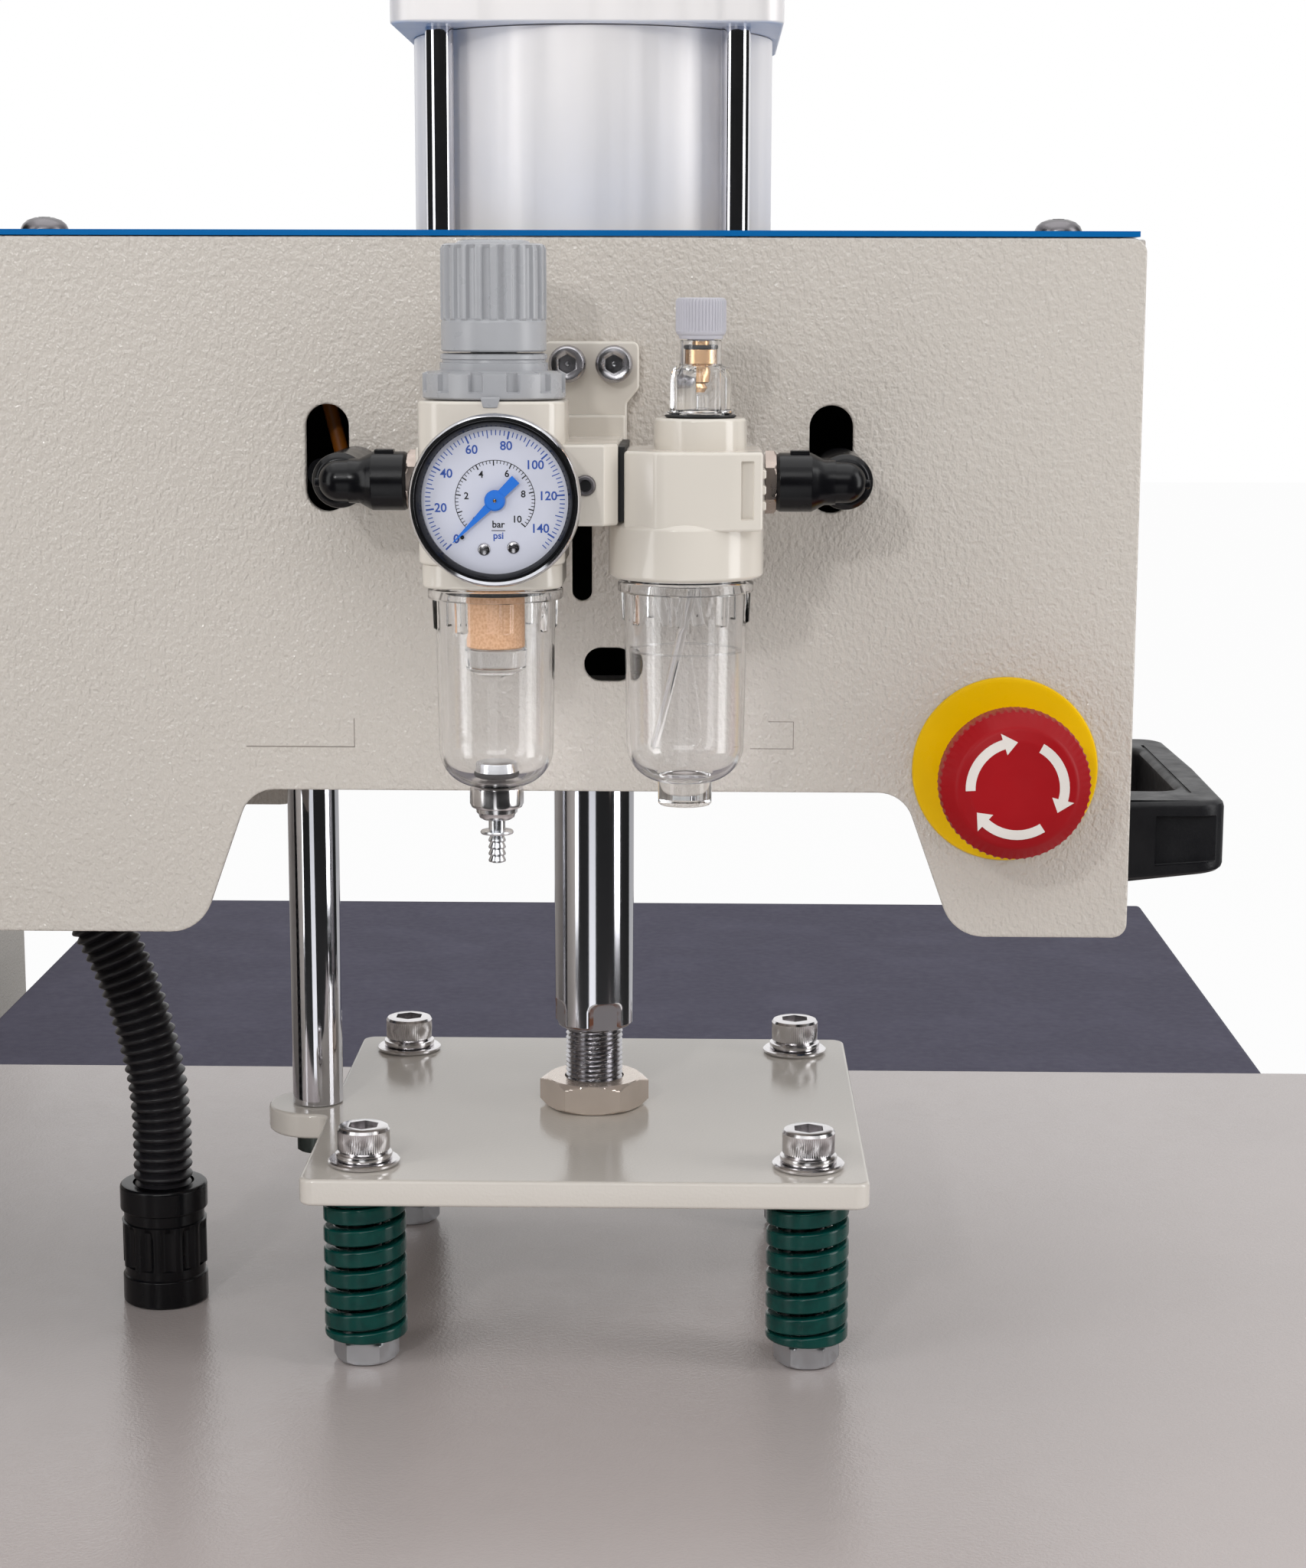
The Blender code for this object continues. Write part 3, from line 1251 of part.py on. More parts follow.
def make_regulator():
    low = (reg_x - BODY_WIDTH / 2, frl_y - BODY_DEPTH / 2, body_bottom)
    high = (reg_x + BODY_WIDTH / 2, frl_y + BODY_DEPTH / 2, body_top)
    finish(soften(box("reg_body", low, high), BODY_EDGE), cream_body, head)
    spigot = RING_HEIGHT + BONNET_HEIGHT + SPIGOT_HEIGHT
    profile = [
        (0, spigot),
        (SPIGOT_RADIUS, spigot),
        (SPIGOT_RADIUS, RING_HEIGHT + BONNET_HEIGHT),
        (BONNET_RADIUS, RING_HEIGHT + BONNET_HEIGHT),
        (BONNET_RADIUS, RING_HEIGHT + GAP),
        (RING_RADIUS, RING_HEIGHT * 0.9),
        (RING_RADIUS, 0),
        (0, 0),
    ]
    bottom = body_top + GAP
    finish(turned("reg_bonnet", profile, (reg_x, frl_y, bottom)), grey_plastic, head)
    bottom += RING_HEIGHT + BONNET_HEIGHT + GAP
    pocket = SPIGOT_HEIGHT + GAP
    profile = [
        (0, KNOB_HEIGHT),
        (KNOB_RADIUS * 0.8, KNOB_HEIGHT),
        (KNOB_RADIUS, KNOB_HEIGHT - KNOB_DOME),
        (KNOB_RADIUS, 0),
        (SPIGOT_RADIUS + GAP, 0),
        (SPIGOT_RADIUS + GAP, pocket),
        (0, pocket),
    ]
    carrier = empty("reg_knob_carrier", (reg_x, frl_y, bottom), head)
    finish(turned("reg_knob", profile, (reg_x, frl_y, bottom)), grey_plastic, carrier)


def make_gauge():
    x, z = reg_x + GAUGE_SHIFT_X, port_z + GAUGE_RISE
    back = frl_y - BODY_DEPTH / 2 - GAP
    outward = (0, -1, 0)
    inner = GAUGE_RADIUS - 2 * GAUGE_LIP
    profile = [
        (0, GAUGE_DEPTH - GAUGE_RECESS),
        (inner, GAUGE_DEPTH - GAUGE_RECESS),
        (inner, GAUGE_DEPTH),
        (GAUGE_RADIUS - GAUGE_LIP / 2, GAUGE_DEPTH),
        (GAUGE_RADIUS, GAUGE_DEPTH - GAUGE_LIP),
        (GAUGE_RADIUS, GAUGE_DEPTH / 2),
        (GAUGE_RADIUS - GAUGE_LIP, GAUGE_DEPTH / 2),
        (GAUGE_RADIUS - GAUGE_LIP, GAUGE_LIP),
        (GAUGE_STEM_RADIUS, GAUGE_LIP),
        (GAUGE_STEM_RADIUS, 0),
        (0, 0),
    ]
    finish(turned("gauge_case", profile, (x, back, z), axis=outward), chrome, head)
    tip, tail = POINTER_LENGTH, -POINTER_TAIL
    outline = [Vector((tip, 0)), Vector((0, POINTER_HALF_WIDTH)), Vector((tail, POINTER_HALF_WIDTH))]
    outline += [Vector((tail, -POINTER_HALF_WIDTH)), Vector((0, -POINTER_HALF_WIDTH))]
    y = back - GAUGE_DEPTH + GAUGE_RECESS - POINTER_LIFT
    arm = as_mesh(flat_piece("gauge_pointer", [outline], POINTER_THICKNESS, (x, y, z), "Y"))
    arm.rotation_euler = (math.pi / 2, -math.radians(POINTER_ZERO_DEG), 0)
    hub_half = POINTER_LIFT - GAP
    low, high = (x, y + hub_half, z), (x, y - hub_half, z)
    hub = rod("pointer_hub", POINTER_HUB_RADIUS, low, high, SMALL_TURN_STEPS, cutters)
    finish(combine(arm, [hub], "UNION"), pointer_blue, head)


def bowl_profile(radius, height):
    """A clear bowl, open at its top: (radius, height) points down the outside and up the inside."""
    inside = radius - BOWL_WALL
    points = [(BOWL_TOP_RADIUS, height), (BOWL_TOP_RADIUS, height - BOWL_RING_HEIGHT)]
    points.append((radius, height - BOWL_RING_HEIGHT))
    for step in range(ARC_STEPS + 1):
        angle = math.pi / 2 * step / ARC_STEPS
        reach = radius - BOWL_ROUND + BOWL_ROUND * math.cos(angle)
        points.append((reach, BOWL_ROUND * (1 - math.sin(angle))))
    points.append((0, 0))
    points.append((0, BOWL_WALL))
    points.append((inside - BOWL_ROUND / 2, BOWL_WALL))
    points.append((inside, BOWL_WALL + BOWL_ROUND / 2))
    points.append((inside, height))
    return points


def make_bowls():
    top = body_bottom - GAP
    bottom = top - BOWL_HEIGHT
    profile = bowl_profile(BOWL_RADIUS, BOWL_HEIGHT)
    finish(turned("filter_bowl", profile, (reg_x, frl_y, bottom), ring=True), clear_plastic, head)
    valve_top = bottom - GAP
    cone = -DRAIN_BODY_HEIGHT - DRAIN_CONE_HEIGHT
    bore = DRAIN_STEM_RADIUS + GAP
    profile = [
        (DRAIN_RADIUS, 0),
        (DRAIN_RADIUS, -DRAIN_BODY_HEIGHT),
        (DRAIN_STEM_RADIUS * 1.6, cone),
        (bore, cone),
        (bore, 0),
    ]
    place = (reg_x, frl_y, valve_top)
    housing = turned("drain_body", profile, place, SMALL_TURN_STEPS, ring=True)
    finish(housing, nickel, head)
    end = cone - DRAIN_STEM_LENGTH
    flange = cone - DRAIN_FLANGE_DROP
    profile = [
        (0, cone + DRAIN_STEM_HIDDEN),
        (DRAIN_STEM_RADIUS, cone + DRAIN_STEM_HIDDEN),
        (DRAIN_STEM_RADIUS, flange),
        (DRAIN_FLANGE_RADIUS, flange),
        (DRAIN_FLANGE_RADIUS, flange - DRAIN_FLANGE_THICKNESS),
        (DRAIN_STEM_RADIUS, flange - DRAIN_FLANGE_THICKNESS),
        (DRAIN_STEM_RADIUS, end),
        (0, end),
    ]
    carrier = empty("drain_carrier", place, head)
    stem = turned("drain_stem", profile, place, SMALL_TURN_STEPS)
    finish(stem, nickel, carrier)
    skirt_bottom = port_z - SHOULDER_DROP - SKIRT_HEIGHT
    bottom = skirt_bottom - GAP - LUB_BOWL_HEIGHT
    profile = bowl_profile(LUB_BOWL_RADIUS, LUB_BOWL_HEIGHT)
    profile[-5] = (LUB_CAP_RADIUS, 0)
    profile.insert(-4, (LUB_CAP_RADIUS, -LUB_CAP_HEIGHT))
    profile.insert(-4, (0, -LUB_CAP_HEIGHT))
    finish(turned("lub_bowl", profile, (lub_x, frl_y, bottom), ring=True), clear_plastic, head)


def make_lubricator():
    low = (lub_x - BODY_WIDTH / 2, frl_y - BODY_DEPTH / 2, port_z - SHOULDER_DROP)
    high = (lub_x + BODY_WIDTH / 2, frl_y + BODY_DEPTH / 2, port_z + SHOULDER_RISE)
    block = soften(box("lub_body", low, high), BODY_EDGE)
    bottom = port_z - SHOULDER_DROP - SKIRT_HEIGHT
    low = (lub_x, frl_y, bottom)
    high = (lub_x, frl_y, port_z - SHOULDER_DROP + BODY_EDGE / 2)
    skirt = rod("lub_skirt", SKIRT_RADIUS, low, high, collection=cutters)
    dome_x = lub_x + DOME_SHIFT_X
    low, high = (dome_x, frl_y, port_z), (dome_x, frl_y, port_z + NECK_RISE)
    neck = rod("lub_neck", NECK_RADIUS, low, high, collection=cutters)
    finish(combine(block, [skirt, neck], "UNION"), cream_body, head)
    place = (dome_x, frl_y, port_z + NECK_RISE + GAP)
    profile = [
        (0, DOME_HEIGHT),
        (DOME_CROWN_RADIUS, DOME_HEIGHT),
        (DOME_RADIUS, DOME_HEIGHT * 0.8),
        (DOME_RADIUS, 0),
        (0, 0),
    ]
    finish(turned("lub_dome", profile, place, SMALL_TURN_STEPS), clear_plastic, head)
    place = (dome_x, frl_y, port_z + NECK_RISE + DOME_HEIGHT + 2 * GAP)
    profile = [
        (0, LUB_SPINDLE_LENGTH + LUB_KNOB_HEIGHT),
        (LUB_KNOB_RADIUS * 0.94, LUB_SPINDLE_LENGTH + LUB_KNOB_HEIGHT),
        (LUB_KNOB_RADIUS, LUB_SPINDLE_LENGTH + LUB_KNOB_HEIGHT * 0.94),
        (LUB_KNOB_RADIUS, LUB_SPINDLE_LENGTH),
        (LUB_SPINDLE_RADIUS, LUB_SPINDLE_LENGTH),
        (LUB_SPINDLE_RADIUS, 0),
        (0, 0),
    ]
    carrier = empty("lub_knob_carrier", place, head)
    finish(turned("lub_knob", profile, place, SMALL_TURN_STEPS), grey_plastic, carrier)


def make_elbows():
    """Push-in elbows that turn the air lines back into the head's slots."""
    for name, side, body_x in (("left", -1, reg_x), ("right", 1, lub_x)):
        start = body_x + side * (BODY_WIDTH / 2 + GAP)
        bend_x = start + side * ELBOW_REACH
        slot_x = AXIS_X + side * PORT_SLOT_SPREAD
        points = [(start, frl_y, port_z), (start + side * ELBOW_HEX_LENGTH, frl_y, port_z)]
        points.append((start + side * (ELBOW_HEX_LENGTH + GAP), frl_y, port_z))
        radii = [ELBOW_HEX_RADIUS, ELBOW_HEX_RADIUS, ELBOW_RADIUS]
        for step in range(ARC_STEPS + 1):
            angle = math.pi / 2 * step / ARC_STEPS
            x = bend_x - side * ELBOW_BEND * (1 - math.sin(angle))
            points.append((x, frl_y + ELBOW_BEND * (1 - math.cos(angle)), port_z))
            radii.append(ELBOW_RADIUS)
        sleeve_end = near_face_y - 2 * GAP
        points.append((slot_x, sleeve_end - GAP, port_z))
        radii.append(ELBOW_RADIUS)
        points.append((slot_x, sleeve_end, port_z))
        radii.append(ELBOW_TUBE_RADIUS)
        points.append((slot_x, sleeve_end + ELBOW_TUBE_LENGTH, port_z))
        radii.append(ELBOW_TUBE_RADIUS)
        finish(tube("elbow_" + name, points, radii, 3), black_plastic, head)


make_bed()
make_tables()
make_rear_box()
make_carriage()
make_head_box()
make_base_plate()
make_top_cover()
make_cylinder()
make_piston_rod()
make_mount_plate()
make_guide_rod()
make_sprung_bolts()
make_springs()
make_platen()
make_conduit()
make_connector()
make_handle()
make_emergency_stop()
make_bracket()
make_regulator()
make_gauge()
make_bowls()
make_lubricator()
make_elbows()
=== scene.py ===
import math

import bmesh
import bpy
from mathutils import Matrix, Vector


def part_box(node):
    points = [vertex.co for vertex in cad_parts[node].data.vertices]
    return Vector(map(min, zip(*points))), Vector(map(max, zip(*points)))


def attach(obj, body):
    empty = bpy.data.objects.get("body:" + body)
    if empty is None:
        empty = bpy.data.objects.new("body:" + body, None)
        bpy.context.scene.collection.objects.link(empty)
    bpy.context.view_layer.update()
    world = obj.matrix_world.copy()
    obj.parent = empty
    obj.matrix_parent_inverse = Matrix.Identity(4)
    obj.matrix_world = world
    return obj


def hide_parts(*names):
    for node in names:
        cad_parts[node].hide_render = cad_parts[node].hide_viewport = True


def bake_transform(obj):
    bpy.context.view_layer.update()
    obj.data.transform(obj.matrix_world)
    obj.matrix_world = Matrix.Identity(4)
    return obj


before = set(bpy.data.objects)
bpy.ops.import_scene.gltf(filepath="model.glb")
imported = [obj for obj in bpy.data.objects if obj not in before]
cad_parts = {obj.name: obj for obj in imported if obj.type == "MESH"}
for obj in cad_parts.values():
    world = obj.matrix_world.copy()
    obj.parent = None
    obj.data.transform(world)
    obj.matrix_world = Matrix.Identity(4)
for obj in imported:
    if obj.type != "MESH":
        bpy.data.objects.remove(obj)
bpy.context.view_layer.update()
fullTurn = 2 * math.pi
weld = 1e-6  # points closer than this become one
textSet = {"raised": 0.00004, "weight": 0.018}


def tint(red, green, blue):  # a colour as a screen shows it, made into the linear one a shader takes
    channels = (red / 255, green / 255, blue / 255)
    return tuple(c / 12.92 if c <= 0.04045 else ((c + 0.055) / 1.055) ** 2.4 for c in channels)


class Wire:  # a value inside a node tree, so that its maths reads as plain expressions
    def __init__(self, nodes, socket):
        self.nodes, self.socket = nodes, socket

    def maths(self, operation, *values):
        return self.nodes.add("ShaderNodeMath", {"operation": operation}, dict(enumerate(values)))

    def __add__(self, other):
        return self.maths("ADD", self, other)

    def __radd__(self, other):
        return self.maths("ADD", other, self)

    def __sub__(self, other):
        return self.maths("SUBTRACT", self, other)

    def __rsub__(self, other):
        return self.maths("SUBTRACT", other, self)

    def __mul__(self, other):
        return self.maths("MULTIPLY", self, other)

    def __gt__(self, other):
        return self.maths("GREATER_THAN", self, other)

    def __lt__(self, other):
        return self.maths("LESS_THAN", self, other)

    def __pow__(self, other):
        return self.maths("POWER", self, other)


class Nodes:  # a node tree, and the one method that makes its nodes
    def __init__(self, tree):
        self.tree = tree

    def add(self, kind, settings=None, inputs=None, output=0):
        node = self.tree.nodes.new(kind)
        for name, value in (settings or {}).items():
            if name == "stops":
                self.setStops(node.color_ramp, value)
            else:
                setattr(node, name, value)
        for name, value in (inputs or {}).items():
            self.feed(node.inputs[name], value)
        return Wire(self, node.outputs[output])

    def feed(self, socket, value):
        if isinstance(value, Wire):
            self.tree.links.new(value.socket, socket)
        elif socket.type == "RGBA":
            socket.default_value = (*value[:3], 1)
        else:
            socket.default_value = value

    def setStops(self, ramp, stops):
        while len(ramp.elements) < len(stops):
            ramp.elements.new(1)
        for element, (position, level) in zip(ramp.elements, stops):
            element.position = position
            element.color = (level, level, level, 1)


class Finish(Nodes):  # one material: a Principled shader and the patterns that feed it
    def __init__(self, name, sockets):
        self.material = bpy.data.materials.new(name)
        self.material.use_nodes = True
        super().__init__(self.material.node_tree)
        self.shader = self.tree.nodes["Principled BSDF"]
        for socket, value in sockets.items():
            self.paint(socket, value)
        self.place = self.add("ShaderNodeTexCoord", output="Object")

    def paint(self, socket, value):
        self.feed(self.shader.inputs[socket], value)

    def stretched(self, scale):
        return self.add("ShaderNodeMapping", None, {"Vector": self.place, "Scale": scale})

    def grain(self, scale, detail=2.0, stretch=(1, 1, 1), roughness=0.5):
        inputs = {"Vector": self.stretched(stretch), "Scale": scale, "Detail": detail}
        inputs["Roughness"] = roughness
        return self.add("ShaderNodeTexNoise", None, inputs)

    def cells(self, scale, feature="F1", output="Distance"):
        return self.add(
            "ShaderNodeTexVoronoi", {"feature": feature}, {"Vector": self.place, "Scale": scale}, output
        )

    def ramp(self, value, *stops):
        return self.add("ShaderNodeValToRGB", {"stops": stops}, {"Fac": value})

    def spread(self, value, low, high, newLow=0.0, newHigh=1.0):
        inputs = {0: value, 1: low, 2: high, 3: newLow, 4: newHigh}
        return self.add("ShaderNodeMapRange", None, inputs)

    def mixed(self, mask, first, second):
        return self.add("ShaderNodeMix", {"data_type": "RGBA"}, {0: mask, 6: first, 7: second}, 2)

    def axes(self):
        node = self.add("ShaderNodeSeparateXYZ", None, {0: self.place})
        outputs = node.socket.node.outputs
        return [Wire(self, outputs[index]) for index in range(3)]

    def bump(self, height, distance, strength=1.0):
        inputs = {"Height": height, "Distance": distance, "Strength": strength}
        self.paint("Normal", self.add("ShaderNodeBump", None, inputs))

    def colour(self, mask, first, second):
        self.paint("Base Color", self.mixed(mask, first, second))

    def roughen(self, scale, detail, low, high):
        self.paint("Roughness", self.spread(self.grain(scale, detail), 0.3, 0.7, low, high))

    def veil(self, share, shader):  # shows another shader in place of the Principled one, by a share
        output = next(node for node in self.tree.nodes if node.type == "OUTPUT_MATERIAL")
        inputs = {0: share, 1: Wire(self, self.shader.outputs[0]), 2: shader}
        self.feed(output.inputs[0], self.add("ShaderNodeMixShader", None, inputs))


def facing(place, side="up"):  # the local z axis points to the side, and y stays upright where it can
    axes = {
        "up": ((1, 0, 0), (0, 1, 0), (0, 0, 1)),
        "down": ((1, 0, 0), (0, -1, 0), (0, 0, -1)),
        "near": ((1, 0, 0), (0, 0, 1), (0, -1, 0)),
        "far": ((-1, 0, 0), (0, 0, 1), (0, 1, 0)),
        "right": ((0, 1, 0), (0, 0, 1), (1, 0, 0)),
        "left": ((0, -1, 0), (0, 0, 1), (-1, 0, 0)),
    }[side]
    return Matrix.Translation(place) @ Matrix(axes).transposed().to_4x4()


def eased(corners, closed=True, steps=5):  # an outline or profile whose corners are (x, y, radius)
    points, last = [], len(corners) - 1
    for index, corner in enumerate(corners):
        spot, radius = Vector(corner[:2]), corner[2] if len(corner) > 2 else 0
        if radius == 0 or (not closed and index in (0, last)):
            points.append(spot)
            continue
        before = (Vector(corners[index - 1][:2]) - spot).normalized()
        after = (Vector(corners[(index + 1) % len(corners)][:2]) - spot).normalized()
        half = before.angle(after) / 2
        centre = spot + (before + after).normalized() * radius / math.sin(half)
        start = spot + before * radius / math.tan(half) - centre
        end = spot + after * radius / math.tan(half) - centre
        sweep = start.angle_signed(end)
        for step in range(steps + 1):
            points.append(centre + Matrix.Rotation(-sweep * step / steps, 2) @ start)
    return points


def rectangle(left, bottom, right, top, corner=0.0, steps=5):
    corners = ((left, bottom), (right, bottom), (right, top), (left, top))
    return eased([(x, y, corner) for x, y in corners], steps=steps)


def ring(x, y, radius, steps=48):
    turns = [fullTurn * step / steps for step in range(steps)]
    return [Vector((x + radius * math.cos(turn), y + radius * math.sin(turn))) for turn in turns]


def slotHole(x, y, halfLength, halfWidth, upright):
    points = []
    for end in (1, -1):
        for step in range(17):
            angle = math.pi * step / 16 + (0 if end == 1 else math.pi)
            along = end * (halfLength - halfWidth) + halfWidth * math.sin(angle)
            across = halfWidth * math.cos(angle)
            points.append(Vector((x + across, y + along) if upright else (x + along, y - across)))
    return points


def hexed(acrossFlats, turn=0.0):  # cuts a round to a hexagon with a flat at the turn
    def cut(angle, radius, height):
        off = (angle - turn + math.pi / 6) % (math.pi / 3) - math.pi / 6
        return min(radius, acrossFlats / 2 / math.cos(off))

    return cut


def socketOf(sixSides, reach):  # leaves all but the socket round
    return lambda angle, radius, height: sixSides(angle, radius, height) if radius < reach else radius


def ribbed(count, depth, low=-1.0, high=1.0, sharpness=1.0):  # flutes a round between two heights
    def cut(angle, radius, height):
        if not low <= height <= high:
            return radius
        wave = math.cos(angle * count)
        return radius - depth * (0.5 - 0.5 * math.copysign(abs(wave) ** sharpness, wave))

    return cut


def railed(points, up=None):  # a point, and the two directions across the path there
    made, normal = [], None
    for index, point in enumerate(points):
        ahead = points[min(index + 1, len(points) - 1)] - points[max(index - 1, 0)]
        ahead.normalize()
        if up:
            normal = up(index)
        elif normal is None:
            normal = ahead.orthogonal()
        across = ahead.cross(normal).normalized()
        normal = across.cross(ahead).normalized()
        made.append((point, across, normal))
    return made


class Piece:  # one visible piece, gathered from shapes that may have different finishes
    def __init__(self, name):
        self.name, self.shape, self.finishes = name, bmesh.new(), []

    def indexOf(self, finish):
        if finish not in self.finishes:
            self.finishes.append(finish)
        return self.finishes.index(finish)

    def skin(self, rows, finish, matrix=None, loop=False):  # joins rows of points; a row of one is a pole
        matrix = matrix or Matrix.Identity(4)
        rings = [[self.shape.verts.new(matrix @ Vector(point)) for point in row] for row in rows]
        pairs = list(zip(rings, rings[1:])) + ([(rings[-1], rings[0])] if loop else [])
        faces = []
        for lower, upper in pairs:
            count = max(len(lower), len(upper))
            for step in range(count):
                after = (step + 1) % count
                corners = [lower[step % len(lower)], lower[after % len(lower)]]
                corners += [upper[after % len(upper)], upper[step % len(upper)]]
                corners = list(dict.fromkeys(corners))
                if len(corners) > 2:
                    faces.append(self.shape.faces.new(corners))
        bmesh.ops.recalc_face_normals(self.shape, faces=faces)
        index = self.indexOf(finish)
        for face in faces:
            face.material_index = index
        return self

    def lathe(self, profile, finish, place, side="up", steps=48, cut=None, loop=False):
        rows = []
        for radius, height in profile:
            if radius < weld:
                rows.append([(0, 0, height)])
                continue
            row = []
            for step in range(steps):
                angle = fullTurn * step / steps
                reach = cut(angle, radius, height) if cut else radius
                row.append((reach * math.cos(angle), reach * math.sin(angle), height))
            rows.append(row)
        return self.skin(rows, finish, facing(place, side), loop)

    def turned(self, corners, finish, place, side="up", steps=48, cut=None, loop=False):
        return self.lathe(eased(corners, False), finish, place, side, steps, cut, loop)

    def drum(self, radius, top, bottom, finish, place, side="up", steps=48, edges=()):
        corners = [(0, top), (radius, top, *edges[:1]), (radius, bottom, *edges[1:]), (0, bottom)]
        return self.lathe(eased(corners, False) if edges else corners, finish, place, side, steps)

    # section(index) lists (across, up) offsets
    def sweep(self, points, section, finish, up=None, closed=False):
        points = [Vector(point) for point in points]
        rows = []
        for index, (point, across, normal) in enumerate(railed(points, up)):
            rows.append([point + across * a + normal * b for a, b in section(index)])
        if not closed:
            rows = [[points[0]], *rows, [points[-1]]]
        return self.skin(rows, finish, loop=closed)

    def tube(self, points, radius, finish, sides=16):
        radii = radius if callable(radius) else lambda index: radius
        turns = [fullTurn * side / sides for side in range(sides)]

        def section(index):
            return [(radii(index) * math.cos(turn), radii(index) * math.sin(turn)) for turn in turns]

        return self.sweep(points, section, finish)

    def takeMesh(self, mesh, matrix, finish):
        mesh.transform(matrix)
        index = self.indexOf(finish)
        for polygon in mesh.polygons:
            polygon.material_index = index
        self.shape.from_mesh(mesh)
        bpy.data.meshes.remove(mesh)
        return self

    def takeCurve(self, curve, matrix, finish):
        carrier = bpy.data.objects.new("carrier", curve)
        bpy.context.scene.collection.objects.link(carrier)
        bpy.context.view_layer.update()
        graph = bpy.context.evaluated_depsgraph_get()
        mesh = bpy.data.meshes.new_from_object(carrier.evaluated_get(graph))
        bpy.data.objects.remove(carrier)
        welded = bmesh.new()
        welded.from_mesh(mesh)
        bmesh.ops.remove_doubles(welded, verts=welded.verts, dist=weld)
        bmesh.ops.recalc_face_normals(welded, faces=welded.faces)
        welded.to_mesh(mesh)
        welded.free()
        mesh.materials.clear()
        return self.takeMesh(mesh, matrix, finish)

    def slab(self, outlines, thickness, finish, place, side="up", edge=0.0):  # about a middle plane
        curve = bpy.data.curves.new("outline", "CURVE")
        curve.dimensions = "2D"
        curve.fill_mode = "BOTH"
        curve.extrude = thickness / 2 - edge
        curve.bevel_depth = edge
        curve.bevel_resolution = 2
        curve.offset = -edge
        for outline in outlines:
            spline = curve.splines.new("POLY")
            spline.points.add(len(outline) - 1)
            for point, (x, y) in zip(spline.points, outline):
                point.co = (x, y, 0, 1)
            spline.use_cyclic_u = True
        return self.takeCurve(curve, facing(place, side), finish)

    def text(self, words, height, finish, place, side="near"):
        curve = bpy.data.curves.new("words", "FONT")
        curve.body = words
        curve.size = height
        curve.extrude = textSet["raised"]
        curve.offset = height * textSet["weight"]
        curve.resolution_u = 3
        curve.align_x, curve.align_y = "CENTER", "CENTER"
        return self.takeCurve(curve, facing(place, side), finish)

    def block(self, low, high, finish, edge=0.001, segments=3):
        low, high = Vector(low), Vector(high)
        cube = bmesh.new()
        bmesh.ops.create_cube(cube, size=1)
        bmesh.ops.scale(cube, vec=high - low, verts=cube.verts)
        bmesh.ops.bevel(cube, geom=cube.edges, offset=edge, segments=segments, affect="EDGES", profile=0.5)
        mesh = bpy.data.meshes.new("block")
        cube.to_mesh(mesh)
        cube.free()
        return self.takeMesh(mesh, Matrix.Translation((low + high) / 2), finish)

    def bent(self, move):  # moves each point by a function of its place
        for vert in self.shape.verts:
            vert.co = move(vert.co)
        return self

    def object(self, smooth=38):
        mesh = bpy.data.meshes.new(self.name)
        self.shape.to_mesh(mesh)
        self.shape.free()
        for finish in self.finishes:
            mesh.materials.append(finish.material)
        mesh.shade_smooth()
        mesh.set_sharp_from_angle(angle=math.radians(smooth))
        made = bpy.data.objects.new(self.name, mesh)
        bpy.context.scene.collection.objects.link(made)
        return made

    def carved(self, cutters):  # cuts other pieces out of this one
        target = self.object()
        for cutter in cutters:
            tool = cutter.object()
            change = target.modifiers.new("cut", "BOOLEAN")
            change.operation, change.solver, change.object = "DIFFERENCE", "EXACT", tool
        bpy.context.view_layer.update()
        graph = bpy.context.evaluated_depsgraph_get()
        mesh = bpy.data.meshes.new_from_object(target.evaluated_get(graph))
        for change in list(target.modifiers):
            bpy.data.objects.remove(change.object)
        bpy.data.objects.remove(target)
        self.shape = bmesh.new()
        self.shape.from_mesh(mesh)
        return self

    def done(self, body, replaced=(), slot=None, smooth=38):
        made = self.object(smooth)
        level = made.modifiers.new("level_faces", "WEIGHTED_NORMAL")
        level.keep_sharp = True
        if body:
            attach(made, body)
        if replaced:
            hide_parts(*replaced)
        return made


def dress(finish, *nodes):
    for node in nodes:
        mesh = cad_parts[node].data
        mesh.materials.clear()
        mesh.materials.append(finish.material)


def boxed(node):  # a node's lowest corner, its highest, and its middle
    low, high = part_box(node)
    return low, high, (low + high) / 2


def fourOf(name):
    return [f"{name}_{number}" for number in range(1, 5)]


# Finishes
paintLook = {
    "colour": tint(206, 199, 191),
    "worn": 0.93,
    "soil": 0.6,
    "peel": 900,
    "finePeel": 2340,
    "peelDepth": 0.00034,
    "lumpShare": 0.75,
    "fineShare": 0.25,
}


def makePowderCoat():  # textured paint, whose lumps catch the light as flecks
    coat = Finish("cream_powder_coat", {"Roughness": 0.2, "Base Color": paintLook["colour"]})
    lumps = coat.ramp(coat.grain(paintLook["peel"], 1.2, (1, 1, 0.8)), (0.32, 0.0), (0.7, 1.0))
    fine = coat.grain(paintLook["finePeel"], 1.0)
    soil = coat.spread(coat.grain(9, 3), 0.35, 0.75)
    worn = tuple(c * paintLook["worn"] for c in paintLook["colour"])
    coat.colour(soil * paintLook["soil"], paintLook["colour"], worn)
    coat.paint("Roughness", coat.spread(fine, 0.3, 0.7, 0.13, 0.21))
    coat.bump(lumps * paintLook["lumpShare"] + fine * paintLook["fineShare"], paintLook["peelDepth"])
    return coat


powderCoat = makePowderCoat()

satinLook = {"cover": tint(188, 179, 177), "plate": tint(222, 216, 208), "body": tint(220, 213, 203)}


